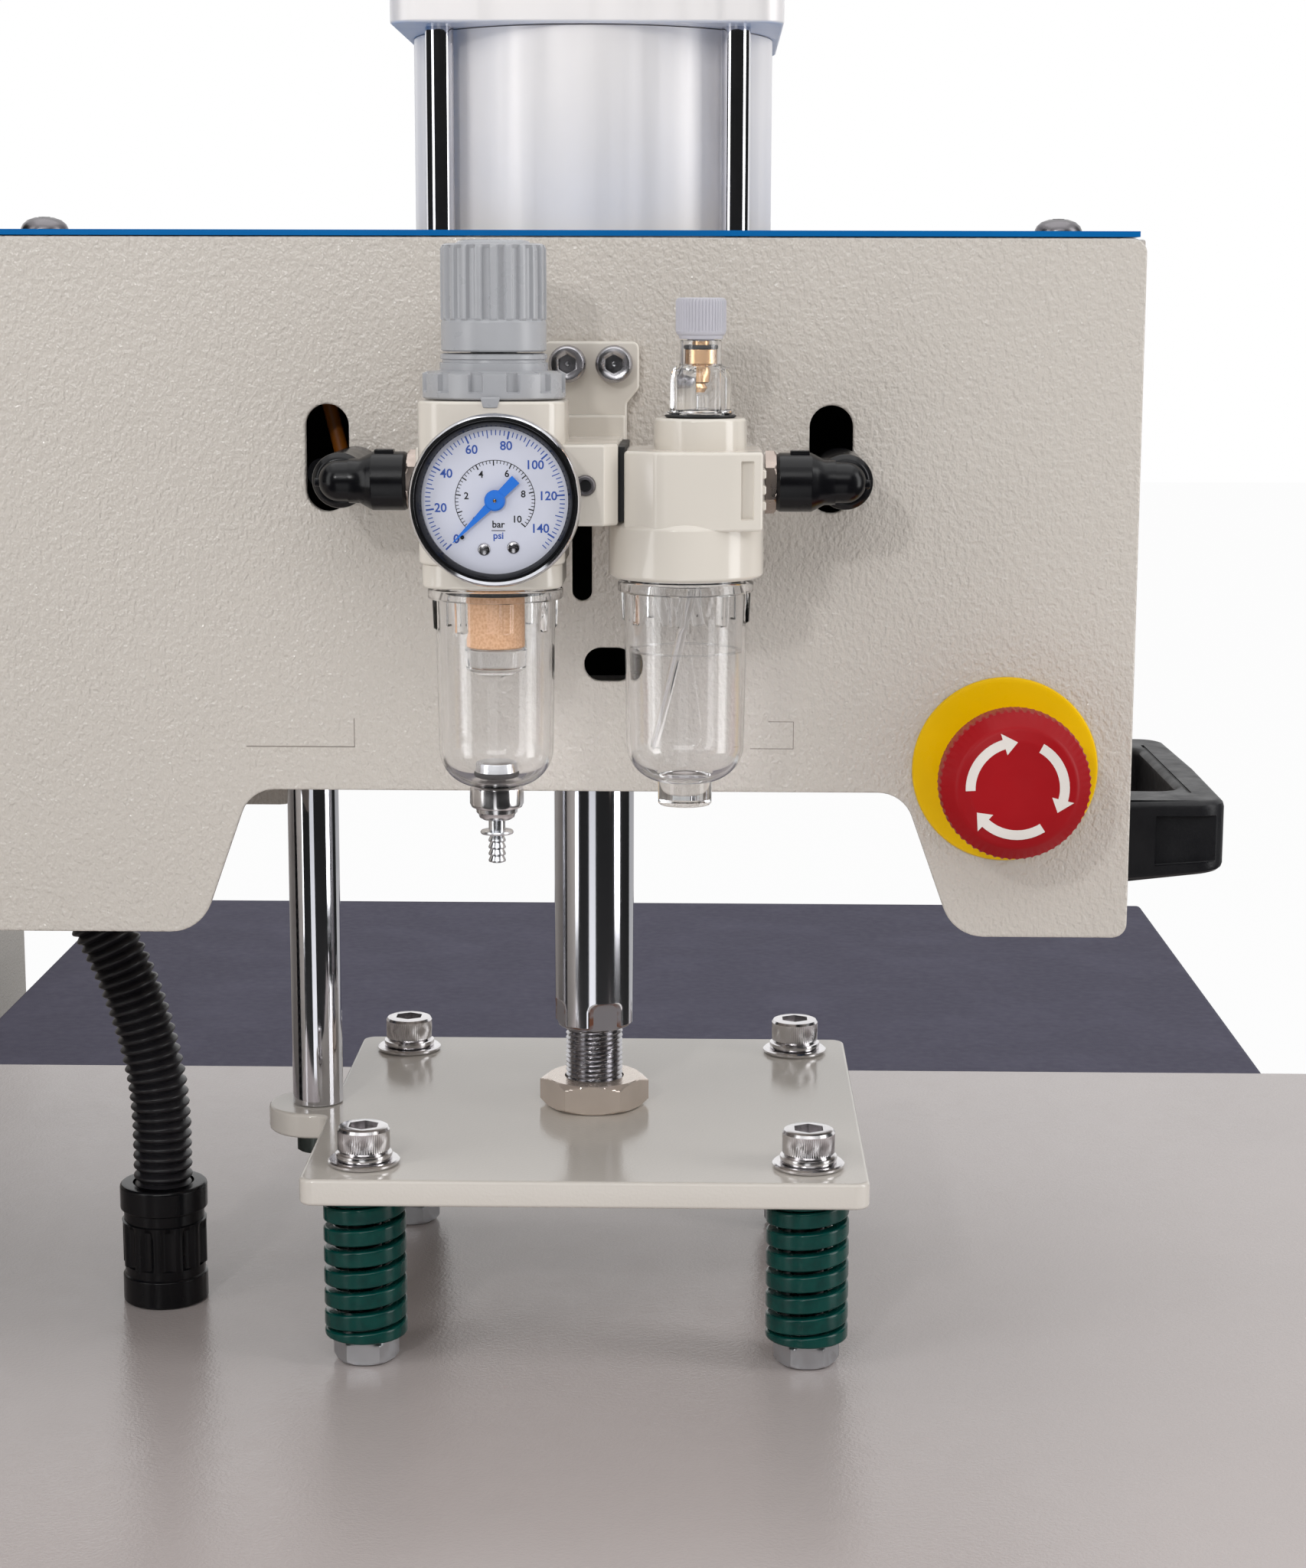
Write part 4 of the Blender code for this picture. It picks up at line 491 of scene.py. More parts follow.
def makeSatin(name, colour, roughness, shine, mottle, peel):  # smooth paint and enamel
    satin = Finish(name, {"Base Color": colour, "Specular IOR Level": shine})
    satin.colour(satin.spread(satin.grain(14, 4), 0.4, 0.7), colour, tuple(c * (1 - mottle) for c in colour))
    satin.roughen(90, 3, roughness * 0.8, roughness * 1.2)
    satin.bump(satin.ramp(satin.grain(1100, 1), (0.38, 0.0), (0.64, 1.0)), peel)
    return satin


coverPaint = makeSatin("platen_cover_paint", satinLook["cover"], 0.22, 0.45, 0.03, 0.00003)
plateGloss = makeSatin("mount_plate_gloss", satinLook["plate"], 0.12, 0.55, 0.02, 0.000012)
enamel = makeSatin("cream_enamel", satinLook["body"], 0.15, 0.6, 0.02, 0.000002)

filmLook = {"colour": tint(0, 92, 160), "pale": tint(6, 106, 174), "crease": 0.0003}
blueFilm = Finish(
    "blue_film", {"Roughness": 0.28, "Specular IOR Level": 0.15, "Base Color": filmLook["colour"]}
)
blueFilm.colour(blueFilm.grain(30, 3), filmLook["colour"], filmLook["pale"])
blueFilm.bump(blueFilm.grain(45, 3, (1, 0.2, 1)), filmLook["crease"], 0.5)

padLook = {"colour": tint(84, 82, 98), "dust": tint(104, 102, 120), "pore": 0.00008}
padSponge = Finish("pad_sponge", {"Specular IOR Level": 0.2, "Base Color": padLook["colour"]})
padSponge.colour(
    padSponge.spread(padSponge.grain(26, 4), 0.45, 0.8) * 0.4, padLook["colour"], padLook["dust"]
)
padSponge.roughen(200, 2, 0.7, 0.85)
padSponge.bump(padSponge.cells(1400), padLook["pore"], 0.6)


def makePlastic(name, colour, roughness, grainSize=900, depth=0.00004, shine=0.5):
    plastic = Finish(name, {"Base Color": colour, "Specular IOR Level": shine})
    lighter = tuple(min(1, c * 1.18 + 0.002) for c in colour)
    plastic.colour(plastic.spread(plastic.grain(35, 4), 0.5, 0.85), colour, lighter)
    plastic.roughen(160, 3, roughness * 0.85, roughness * 1.15)
    plastic.bump(plastic.grain(grainSize, 2), depth, 0.7)
    return plastic


knobColour = tint(166, 167, 171)
handleBlack = makePlastic("handle_black", tint(18, 18, 22), 0.46, 1100, 0.00008, 0.35)
fittingBlack = makePlastic("fitting_black", tint(11, 11, 14), 0.24, 1500, 0.00001, 0.28)
hoseBlack = makePlastic("hose_black", tint(24, 23, 27), 0.36)
knobGrey = makePlastic("knob_grey", knobColour, 0.3, 1500, 0.00001)
knobGrey.colour(knobGrey.grain(300, 2), knobColour, tint(172, 173, 177))
knobPale = makePlastic("knob_pale", tint(190, 188, 196), 0.4)
stopRed = makePlastic("stop_red", tint(152, 8, 18), 0.4, 1500, 0.00001, 0.18)
stopYellow = makePlastic("stop_yellow", tint(232, 186, 0), 0.3, 1500, 0.00001, 0.15)
softWhite = makePlastic("soft_white", tint(218, 211, 205), 0.45)
pointerBlue = makePlastic("pointer_blue", tint(24, 112, 214), 0.45)
footRubber = makePlastic("foot_rubber", tint(34, 34, 36), 0.75, 700, 0.00015)
sealRubber = makePlastic("seal_rubber", tint(18, 18, 20), 0.5)
filterAmber = makePlastic("filter_amber", tint(212, 164, 124), 0.7, 1500, 0.0002)
filterAmber.colour(filterAmber.cells(1500), tint(196, 146, 106), tint(226, 184, 148))
# Painted highlight: a pale thread inside the drip tube stands for the light line along it
paintedHighlight = makePlastic("painted_highlight_white", tint(192, 187, 184), 0.5, shine=0.2)
dialWhite = makePlastic("dial_white", tint(206, 208, 222), 0.5, 400, 0.0)
inkBlue = makePlastic("ink_blue", tint(48, 84, 168), 0.6)
inkBlack = makePlastic("ink_black", tint(28, 28, 32), 0.6)
gaugeBlack = makePlastic("gauge_black", tint(14, 14, 16), 0.2, 1500, 0.0, 0.25)
# Painted shade: a near-black for sheets and plugs put behind slots and in bores, where there is only shade
paintedShadeBlack = makePlastic("painted_shade_black", (0.0012, 0.0012, 0.0012), 0.9)
slitShade = makePlastic("slit_shadow", tint(132, 124, 116), 0.8)
orangeTube = makePlastic("orange_tube", tint(150, 84, 18), 0.4)
blueTube = makePlastic("air_tube", tint(38, 84, 150), 0.25)
displayDark = makePlastic("display_dark", tint(14, 15, 18), 0.12, 1500, 0.0, 0.7)


def makeMetal(
    name, colour, roughness, stretch=(1, 1, 1), scale=300, depth=0.000006, change=0.12, metallic=1.0
):
    metal = Finish(name, {"Base Color": colour, "Metallic": metallic})
    brush = metal.grain(scale, 3, stretch)
    metal.colour(metal.spread(metal.grain(60, 3), 0.35, 0.7), colour, tuple(c * (1 - change) for c in colour))
    metal.paint("Roughness", metal.spread(brush, 0.3, 0.7, roughness * 0.75, roughness * 1.35))
    metal.bump(brush, depth, 0.5)
    return metal


chromeColour = (0.74, 0.74, 0.78)
chrome = makeMetal("chrome", chromeColour, 0.06, depth=0.0)
zinc = makeMetal("bright_zinc", (0.78, 0.79, 0.82), 0.22, depth=0.000001)
nickel = makeMetal("warm_nickel", (0.84, 0.74, 0.66), 0.2, (1, 1, 0.1), 900, 0.0000002, metallic=0.65)
aluminium = makeMetal("drawn_aluminium", (0.95, 0.91, 0.89), 0.42, (1, 1, 0.02), 160, 0.0, 0.02, 0.3)
darkSteel = makeMetal("blackened_steel", (0.2, 0.19, 0.2), 0.3)
greenSteel = makeMetal("green_black_steel", (0.16, 0.19, 0.18), 0.35)
brass = makeMetal("brass", (0.66, 0.42, 0.24), 0.22)
steel = makeMetal("bare_steel", (0.46, 0.45, 0.47), 0.22, depth=0.000001)
# A darker, browner copy of the warm nickel
darkNickel = makeMetal("dark_nickel", (0.44, 0.37, 0.33), 0.3)
dullZinc = makeMetal("dull_zinc", (0.7, 0.72, 0.75), 0.4)
boltZinc = makeMetal("bolt_zinc", (0.8, 0.78, 0.79), 0.2, depth=0.000001)

rustLook = {
    "colour": tint(112, 66, 44),
    "bare": tint(148, 144, 148),
    "cut": 0.01236,  # closer to the rod's axis than this is a wrench flat
    "edge": 0.01185,  # and further out than this, rust
    "flatLow": 0.3766,
    "flatHigh": 0.3865,
}


# hard chrome, with bare steel and rust where the wrench flats cut through it
def makeRodChrome(axisX, axisY):
    rod = Finish("rod_chrome", {"Metallic": 1.0, "Base Color": chromeColour})
    x, y, z = rod.axes()
    reach = ((x - axisX) ** 2 + (y - axisY) ** 2) ** 0.5
    flat = (reach < rustLook["cut"]) * (z < rustLook["flatHigh"]) * (z > rustLook["flatLow"])
    stain = rod.ramp(rod.grain(230, 2), (0.42, 0.0), (0.6, 1.0))
    rust = flat * (reach > rustLook["edge"]) * stain
    rod.colour(rust, rod.mixed(flat, chromeColour, rustLook["bare"]), rustLook["colour"])
    rod.paint("Metallic", 1 - flat * 0.55 - rust * 0.45)
    rod.paint("Roughness", 0.1 + flat * 0.35)
    return rod


springLook = {"colour": tint(0, 66, 60), "worn": tint(0, 54, 50)}
springGreen = Finish("spring_green", {"Base Color": springLook["colour"], "Specular IOR Level": 0.35})
springGreen.colour(
    springGreen.spread(springGreen.grain(240, 4), 0.4, 0.7), springLook["colour"], springLook["worn"]
)
springGreen.roughen(500, 2, 0.16, 0.26)
springGreen.bump(springGreen.grain(900, 2), 0.00001)

clearLook = {"Base Color": (0.985, 0.985, 0.99), "Roughness": 0.03, "IOR": 1.45, "Transmission Weight": 1.0}


def makeClear():  # moulded clear plastic that lets lamp light through to what is behind it
    clear = Finish("clear_plastic", clearLook)
    clear.paint("Roughness", clear.spread(clear.grain(50, 3), 0.4, 0.8, 0.015, 0.07))
    path = clear.add("ShaderNodeLightPath", output="Is Shadow Ray")
    clear.veil(path, clear.add("ShaderNodeBsdfTransparent", None, {"Color": (0.93, 0.93, 0.94)}))
    return clear


clearPlastic = makeClear()
print("finishes made")

# Places that many pieces share
axis = Vector((0.1, -0.34, 0))  # the cylinder's
portHeight = 0.5565  # of the service unit's air ports
serviceDepth = -0.482  # the service unit's middle plane
stopX, stopHeight = 0.2171, 0.476
boltSpread = 0.066  # the four sprung bolts, from the axis
nearLow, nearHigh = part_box("head_side_near")
rodChrome = makeRodChrome(axis.x, axis.y)

# Base: the bed, table bases and rear box keep their solids; the feet, pads and rails are made fuller
baseSet = {
    "footRibs": 36,
    "footRibDepth": 0.0012,
    "padEdge": 0.0035,
    "railGroove": 0.0022,
    "railEdge": 0.0008,
    "screwPitch": 0.08,
}


def makeFeet():
    feet = Piece("feet")
    ribs = ribbed(baseSet["footRibs"], baseSet["footRibDepth"], 0.002, 0.009)
    stud = [(0, 0.05), (0.005, 0.05), (0.005, 0.0205), (0.0085, 0.0205, 0.001), (0.0085, 0.0153), (0, 0.0153)]
    for node in fourOf("foot"):
        low, high, middle = boxed(node)
        radius, place = (high.x - low.x) / 2, (middle.x, middle.y, low.z)
        pad = [
            (0, 0.0152), (radius * 0.8, 0.0152, 0.002), (radius, 0.008, 0.003), (radius, 0.0, 0.0015),
            (0, 0.0),
        ]
        feet.turned(pad, footRubber, place, steps=144, cut=ribs)
        feet.turned(stud, zinc, place, steps=24)
    feet.done("base", fourOf("foot"), "rubber")


def makePads():
    for side in ("near", "far"):
        low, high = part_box(f"table_pad_{side}")
        pad = Piece(f"pad_{side}")
        pad.block(low, high, padSponge, baseSet["padEdge"], 5)
        pad.done("base", [f"table_pad_{side}"], "pad_grey")


def makeRails():
    rails, pitch = Piece("shuttle_rails"), baseSet["screwPitch"]
    socket = [
        (0.0038, 0.0), (0.0036, 0.00025), (0.0024, 0.00025), (0.0022, 0.00005), (0, 0.00005), (0, -0.001),
        (0.0038, -0.001),
    ]
    for node in ("rail_back", "rail_front"):
        low, high, middle = boxed(node)
        half, tall, run = (high.x - low.x) / 2, high.z - low.z, high.y - low.y
        waist = half - baseSet["railGroove"]
        right = [
            (half, 0), (half, tall * 0.42), (waist, tall * 0.52), (waist, tall * 0.64), (half, tall * 0.76)
        ]
        right.append((half - baseSet["railEdge"], tall))
        outline = [(-half, 0), *right, *((-x, z) for x, z in reversed(right[1:]))]
        rails.slab([eased(outline)], run, chrome, (middle.x, middle.y, low.z), "near", 0.0002)
        count = int(run / pitch)
        for number in range(count):
            y = middle.y + (number - (count - 1) / 2) * pitch
            rails.lathe(socket, darkSteel, (middle.x, y, high.z), steps=20)
    rails.done("base", ["rail_back", "rail_front"], "chrome")


dress(powderCoat, "bed", "table_base_near", "table_base_far", "rear_box", "head_base_plate")
makeFeet()
makePads()
makeRails()
print("base dressed")

# Head plates
plateSet = {
    "sheet": 0.003,
    "edge": 0.0006,
    "corner": 0.004,
    "notchTop": 0.469,
    "legEnd": 0.4285,
    "backEnd": 0.5053,
    "backStep": -0.305,
    "slant": 0.0145,
    "slotSpread": 0.0683,
    "slotHalf": 0.0059,
    "stopHole": 0.0114,
    "screwRadius": 0.0064,
    "screwSpread": 0.089,
    "screwPitch": 0.277,
    "boltHead": 0.0041,
}


def sideOutline():
    left, right, slant = 0.0085, 0.1895, plateSet["slant"]
    notch, leg, step, rear = (plateSet[name] for name in ("notchTop", "legEnd", "backStep", "backEnd"))
    corner = plateSet["corner"]
    back, front, top = nearLow.x, nearHigh.x, nearHigh.z
    corners = [(back, top, corner), (front, top, corner), (front, leg, corner), (right + slant, leg, 0.012)]
    corners += [(right, notch, 0.01), (left, notch, 0.01), (left - slant, leg, 0.012), (step, leg, 0.015)]
    corners += [(step, rear, 0.015), (back, rear, corner)]
    return eased(corners, steps=8)


def makeHeadPlates():
    half, edge, sheet = plateSet["slotHalf"], plateSet["edge"], plateSet["sheet"]
    spread = plateSet["slotSpread"]
    holes = [slotHole(axis.x + side * spread, portHeight + 0.004, 0.0145, half, True) for side in (-1, 1)]
    holes.append(slotHole(axis.x + 0.0008, portHeight - 0.0197, 0.015, 0.0027, True))
    holes.append(slotHole(axis.x + 0.0082, portHeight - 0.0522, 0.0069, 0.00465, False))
    holes.append(ring(stopX, stopHeight, plateSet["stopHole"]))
    for side, cuts in (("near", holes), ("far", [])):
        plate = Piece(f"{side}_side_plate")
        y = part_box(f"head_side_{side}")[0].y + sheet / 2
        plate.slab([sideOutline(), *cuts], sheet, powderCoat, (0, y, 0), "near", edge)
        plate.done("head", [f"head_side_{side}"], "cream_paint")
    front = Piece("front_plate")
    low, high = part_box("head_front")
    front.block((low.x, low.y, low.z + 0.0042), (nearHigh.x, high.y, high.z), powderCoat, edge, 2)
    front.done("head", ["head_front"], "cream_paint")


slitHeight = 0.6
slitMarks = [  # each mark's left, low, right and high edge, from the axis and the height above
    (-0.092, -0.119, -0.062, -0.1187),
    (-0.0622, -0.119, -0.062, -0.1109),
    (0.047, -0.1189, 0.059, -0.1187),
    (0.0588, -0.1189, 0.059, -0.1113),
    (0.052, -0.1114, 0.059, -0.1112),
]


def makeLining():  # painted shade: a black sheet behind the slots, where there is only shade, with an air tube in it, and painted shade strips along the tab slits
    shadeSheet = Piece("slot_shade_and_tube")
    # Painted shade: a black sheet behind the slots
    shadeSheet.block((-0.12, -0.411, 0.497), (0.245, -0.41, 0.615), paintedShadeBlack, 0.0003, 1)
    route = [(0.027, -0.428, 0.595), (0.03, -0.427, 0.575), (0.035, -0.428, 0.555), (0.042, -0.43, 0.54)]
    shadeSheet.tube(route, 0.0021, orangeTube)
    shadeSheet.done("head")
    slits = Piece("tab_slits")
    for left, low, right, high in slitMarks:
        start = (axis.x + left, nearLow.y - 0.00005, low + slitHeight)
        slits.block(start, (axis.x + right, nearLow.y + 0.0005, high + slitHeight), slitShade, 0.00002, 1)
    slits.done("head")


def makeHeadScrews():
    screws, radius = Piece("cover_screws"), plateSet["screwRadius"]
    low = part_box("top_cover")[0]
    dome = [
        (0, 0.0036), (radius * 0.4, 0.0035), (radius * 0.72, 0.0028), (radius * 0.92, 0.0017),
        (radius, 0.0006), (radius, 0.0), (0, 0.0),
    ]

    def crossed(angle, radius, height):
        return radius * (0.55 + 0.45 * abs(math.cos(2 * angle)) ** 0.5)

    for number in range(3):
        for side in (-1, 1):
            x = axis.x + 0.13 - number * plateSet["screwPitch"]
            place = (x, axis.y + side * plateSet["screwSpread"], low.z + 0.0015)
            screws.lathe(dome, darkSteel, place, steps=32)
            # Painted shade: a flat black cross on each dome head stands for its cross recess
            screws.lathe([
                (0, 0.0037), (0.0016, 0.00366), (0.0019, 0.0031), (0, 0.0031),
            ], sealRubber, place, steps=16, cut=crossed)
    screws.done("head")
    bolts, head = Piece("carriage_bolts"), plateSet["boltHead"]
    low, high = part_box("carriage")
    socketed = [(0, 0.0012), (0.0022, 0.0012), (0.0024, 0.0019), (head, 0.0019, 0.0006), (head, 0), (0, 0)]
    for x in (-0.04, 0.04):
        for y in (-0.095, -0.035, 0.035, 0.095):
            place = ((low.x + high.x) / 2 + x, axis.y + y, high.z - 0.0012)
            bolts.turned(socketed, darkSteel, place, steps=24)
    bolts.done("head")


dress(blueFilm, "top_cover")
dress(zinc, "carriage")
makeHeadPlates()
makeLining()
makeHeadScrews()
print("head plates made")

# Screws, vents and inlets on the sides that face away
serviceSet = {
    "half": (0.25, 0.15),
    "inset": 0.012,
    "louvres": 8,
    "pitch": 0.017,
    "slot": (0.042, 0.0028),
    "proud": 0.0014,
    "screw": 0.0048,
    "backWide": 0.1019,
    "backTall": 0.0565,
}


def buttonScrew(piece, place, side):  # a low round head with a hexagon socket
    radius = serviceSet["screw"]
    sixSides = hexed(radius * 0.95)
    profile = [
        (0, 0.0009), (radius * 0.5, 0.0009), (radius * 0.54, 0.0025), (radius * 0.8, 0.0019),
        (radius, 0.0007), (radius, -0.0002), (0, -0.0002),
    ]
    piece.lathe(profile, darkSteel, place, side, 36, socketOf(sixSides, radius * 0.56))


def makeServicePanel():
    low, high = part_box("rear_box")
    half, tall = serviceSet["half"]
    proud, inset, back, middle = serviceSet["proud"], serviceSet["inset"], low.x, (low.z + high.z) / 2
    panel = Piece("service_panel")
    holes = []
    for group in (-0.15, 0.15):
        for number in range(serviceSet["louvres"]):
            rise = (number - (serviceSet["louvres"] - 1) / 2) * serviceSet["pitch"]
            holes.append(slotHole(group, rise, *serviceSet["slot"], False))
        # Painted shade: a black sheet behind each group of louvres, where there is only shade
        start = (back - 0.0005, group - 0.05, middle - 0.08)
        panel.block(start, (back - 0.0001, group + 0.05, middle + 0.08), paintedShadeBlack, 0.0001, 1)
    outline = rectangle(-half, -tall, half, tall, 0.006)
    panel.slab([outline, *holes], proud, powderCoat, (back - proud / 2, 0, middle), "left", 0.0004)
    for y in (-half + inset, -half / 3, half / 3, half - inset):
        for z in (middle - tall + inset, middle + tall - inset):
            buttonScrew(panel, (back - proud, y, z), "left")
    for y in (low.y, high.y):
        for x in (low.x + 0.014, high.x - 0.014):
            for z in (low.z + 0.02, middle, high.z - 0.03):
                buttonScrew(panel, (x, y, z), "near" if y < 0 else "far")
    panel.done("base")


def makeInlets():
    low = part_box("rear_box")[0]
    back, y, z = low.x, 0.4, low.z + 0.07
    inlet, recess = Piece("power_inlet"), Piece("inlet_cut")
    inlet.block(
        (back - 0.004, y - 0.03, z - 0.02), (back + 0.001, y + 0.03, z + 0.02), fittingBlack, 0.0012, 2
    )
    recess.block(
        (back - 0.006, y - 0.024, z - 0.0125), (back - 0.0004, y + 0.004, z + 0.0125), fittingBlack, 0.003, 3
    )
    inlet.carved([recess])
    for offset, rise in ((-0.017, -0.003), (-0.01, 0.003), (-0.003, -0.003)):
        start = (back - 0.0036, y + offset - 0.001, z + rise - 0.002)
        inlet.block(start, (back, y + offset + 0.001, z + rise + 0.002), zinc, 0.0003, 1)
    inlet.block(
        (back - 0.0054, y + 0.009, z - 0.011), (back - 0.003, y + 0.024, z + 0.011), stopRed, 0.0012, 3
    )
    inlet.done("base")
    port, place = Piece("air_inlet"), (back, -0.4, z)
    nut = [
        (0.0045, 0.005), (0.0085, 0.005), (0.0095, 0.0045), (0.0098, 0.0038), (0.0098, -0.0002),
        (0.0045, -0.0002),
    ]
    port.lathe(nut, darkNickel, place, "left", 48, hexed(0.017), True)
    # Painted shade: a black disc in the port's bore
    port.drum(0.0046, 0.0004, -0.0002, paintedShadeBlack, place, "left", 32)
    port.done("base")


def makeBaseScrews():
    screws = Piece("base_screws")
    for side in ("near", "far"):
        low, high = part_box(f"table_base_{side}")
        outer = low.y if side == "near" else high.y
        for share in (0.04, 0.35, 0.65, 0.96):
            for z in (low.z + 0.016, high.z - 0.03):
                buttonScrew(screws, (high.x, low.y + (high.y - low.y) * share, z), "right")
                buttonScrew(screws, (low.x + (high.x - low.x) * share, outer, z), side)
    low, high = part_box("bed")
    for share in (0.03, 0.27, 0.5, 0.73, 0.97):
        buttonScrew(screws, (high.x - 0.014, low.y + (high.y - low.y) * share, high.z), "up")
        for y in (low.y + 0.018, high.y - 0.018):
            buttonScrew(screws, (-0.29 + 0.68 * share, y, high.z), "up")
    screws.done("base")


def makeBackPanel():
    cover = Piece("head_back_panel")
    depth, wide, tall = nearLow.x + 0.0008, serviceSet["backWide"], serviceSet["backTall"]
    holes = [slotHole(0, (number - 1.5) * 0.012 + 0.012, 0.05, 0.0022, False) for number in range(4)]
    outline = rectangle(-wide, -tall, wide, tall)
    cover.slab([outline, *holes], 0.0012, powderCoat, (depth, axis.y, 0.5625), "left", 0.0002)
    # Painted shade: a black sheet behind the slots, where there is only shade
    start = (depth + 0.0008, axis.y - 0.055, 0.545)
    cover.block(start, (depth + 0.0012, axis.y + 0.055, 0.604), paintedShadeBlack, 0.0001, 1)
    gland = [
        (0.004, 0.0115), (0.0078, 0.0115, 0.001), (0.0085, 0.004, 0.001), (0.011, 0.004, 0.0005), (0.011, 0),
        (0.004, 0),
    ]
    place = (depth, axis.y - 0.06, 0.525)
    cover.turned(gland, fittingBlack, place, "left", 48, hexed(0.019), True)
    # Painted shade: a black core in the gland's bore
    cover.drum(0.0041, 0.009, 0, paintedShadeBlack, place, "left", 32)
    for y in (-0.094, 0.094):
        for z in (0.514, 0.611):
            buttonScrew(cover, (depth - 0.0006, axis.y + y, z), "left")
    cover.done("head")


makeServicePanel()
makeInlets()
makeBaseScrews()
makeBackPanel()
print("service side made")

# Temperature controller on the front: two displays above four keys
controllerSet = {"half": 0.0395, "middle": 0.5495, "display": (0.03, 0.0085), "keyPitch": 0.0175}


def makeController():
    face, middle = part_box("head_front")[1].x - 0.0015, controllerSet["middle"]
    panel = Piece("controller_panel")

    def plate(y, z, size, start, stop, finish, edge, steps):
        low = (face + start, y - size[0], z - size[1])
        panel.block(low, (face + stop, y + size[0], z + size[1]), finish, edge, steps)

    plate(axis.y, middle, (controllerSet["half"],) * 2, 0, 0.0011, gaugeBlack, 0.0005, 2)
    for rise in (0.018, -0.003):
        plate(axis.y, middle + rise, controllerSet["display"], 0.0008, 0.0014, displayDark, 0.0002, 1)
    for number in range(4):
        y = axis.y + (number - 1.5) * controllerSet["keyPitch"]
        plate(y, middle - 0.0265, (0.006, 0.0045), 0.0008, 0.00149, knobGrey, 0.0003, 2)
    panel.done("head")


makeController()

# Pneumatic cylinder
cylinderSet = {"radius": 0.05375, "tie": 0.0041, "tieSpread": 0.0425, "nutFlats": 0.013}


def makeCylinder():
    dress(aluminium, "cylinder_front_cap", "heat_platen")
    low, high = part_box("cylinder_barrel")
    radius = cylinderSet["radius"]
    barrel = Piece("barrel")
    inner = radius - 0.0035
    profile = [(radius, low.z), (radius, high.z), (inner, high.z), (inner, low.z)]
    barrel.lathe(profile, aluminium, (axis.x, axis.y, 0), steps=128, loop=True)
    barrel.done("head", ["cylinder_barrel"], "aluminium")
    cap = Piece("top_cap_and_ties")
    capLow = high.z + 0.0003
    half = 0.056
    outline = rectangle(axis.x - half, axis.y - half, axis.x + half, axis.y + half, 0.008)
    cap.slab([outline], 0.038, aluminium, (0, 0, capLow + 0.019), edge=0.001)
    cap.turned([
        (0, 0.0012), (0.03, 0.0012, 0.0005), (0.032, 0), (0, 0),
    ], aluminium, (axis.x, axis.y, capLow + 0.038), steps=64)
    spread, tie = cylinderSet["tieSpread"], cylinderSet["tie"]
    for x in (-1, 1):
        for y in (-1, 1):
            place = (axis.x + x * spread, axis.y + y * spread, 0)
            cap.drum(tie, capLow + 0.046, low.z, chrome, place, steps=32, edges=(0.0006, 0))
            nut = [(0, 0.0064), (0.0058, 0.0064), (0.0066, 0.006), (0.0078, 0.0054), (0.0078, 0.0), (0, 0.0)]
            cap.lathe(nut, zinc, (place[0], place[1], capLow + 0.038), cut=hexed(cylinderSet["nutFlats"]))
    z = capLow + 0.022
    face = axis.y + half
    cap.turned([
        (0, 0.012), (0.0062, 0.012, 0.001), (0.0075, 0.0085, 0.0005), (0.0075, 0.005), (0, 0.005),
    ], fittingBlack, (axis.x, face, z), "far")
    cap.lathe([
        (0, 0.0052), (0.0072, 0.0052), (0.0076, 0.0046), (0.0082, 0.004), (0.0082, -0.001), (0, -0.001),
    ], nickel, (axis.x, face, z), "far", cut=hexed(0.014))
    points = [(axis.x, face + 0.008, z)]
    for step in range(13):
        angle = math.pi / 2 * step / 12
        points.append((axis.x, face + 0.014 + 0.012 * math.sin(angle), z - 0.012 * (1 - math.cos(angle))))
    points += [(axis.x, face + 0.026, 0.6), (axis.x, face + 0.026, 0.512)]
    cap.tube(points, 0.004, blueTube)
    cap.done("head", ["cylinder_top_cap"], "aluminium")


makeCylinder()
print("cylinder made")

# Rod, nut, mount plate and guide rod
rodSet = {
    "radius": 0.0125, "thread": 0.0091, "pitch": 0.0015, "threadDepth": 0.0009, "flats": 0.0224,
    "flatTurn": 20,
}


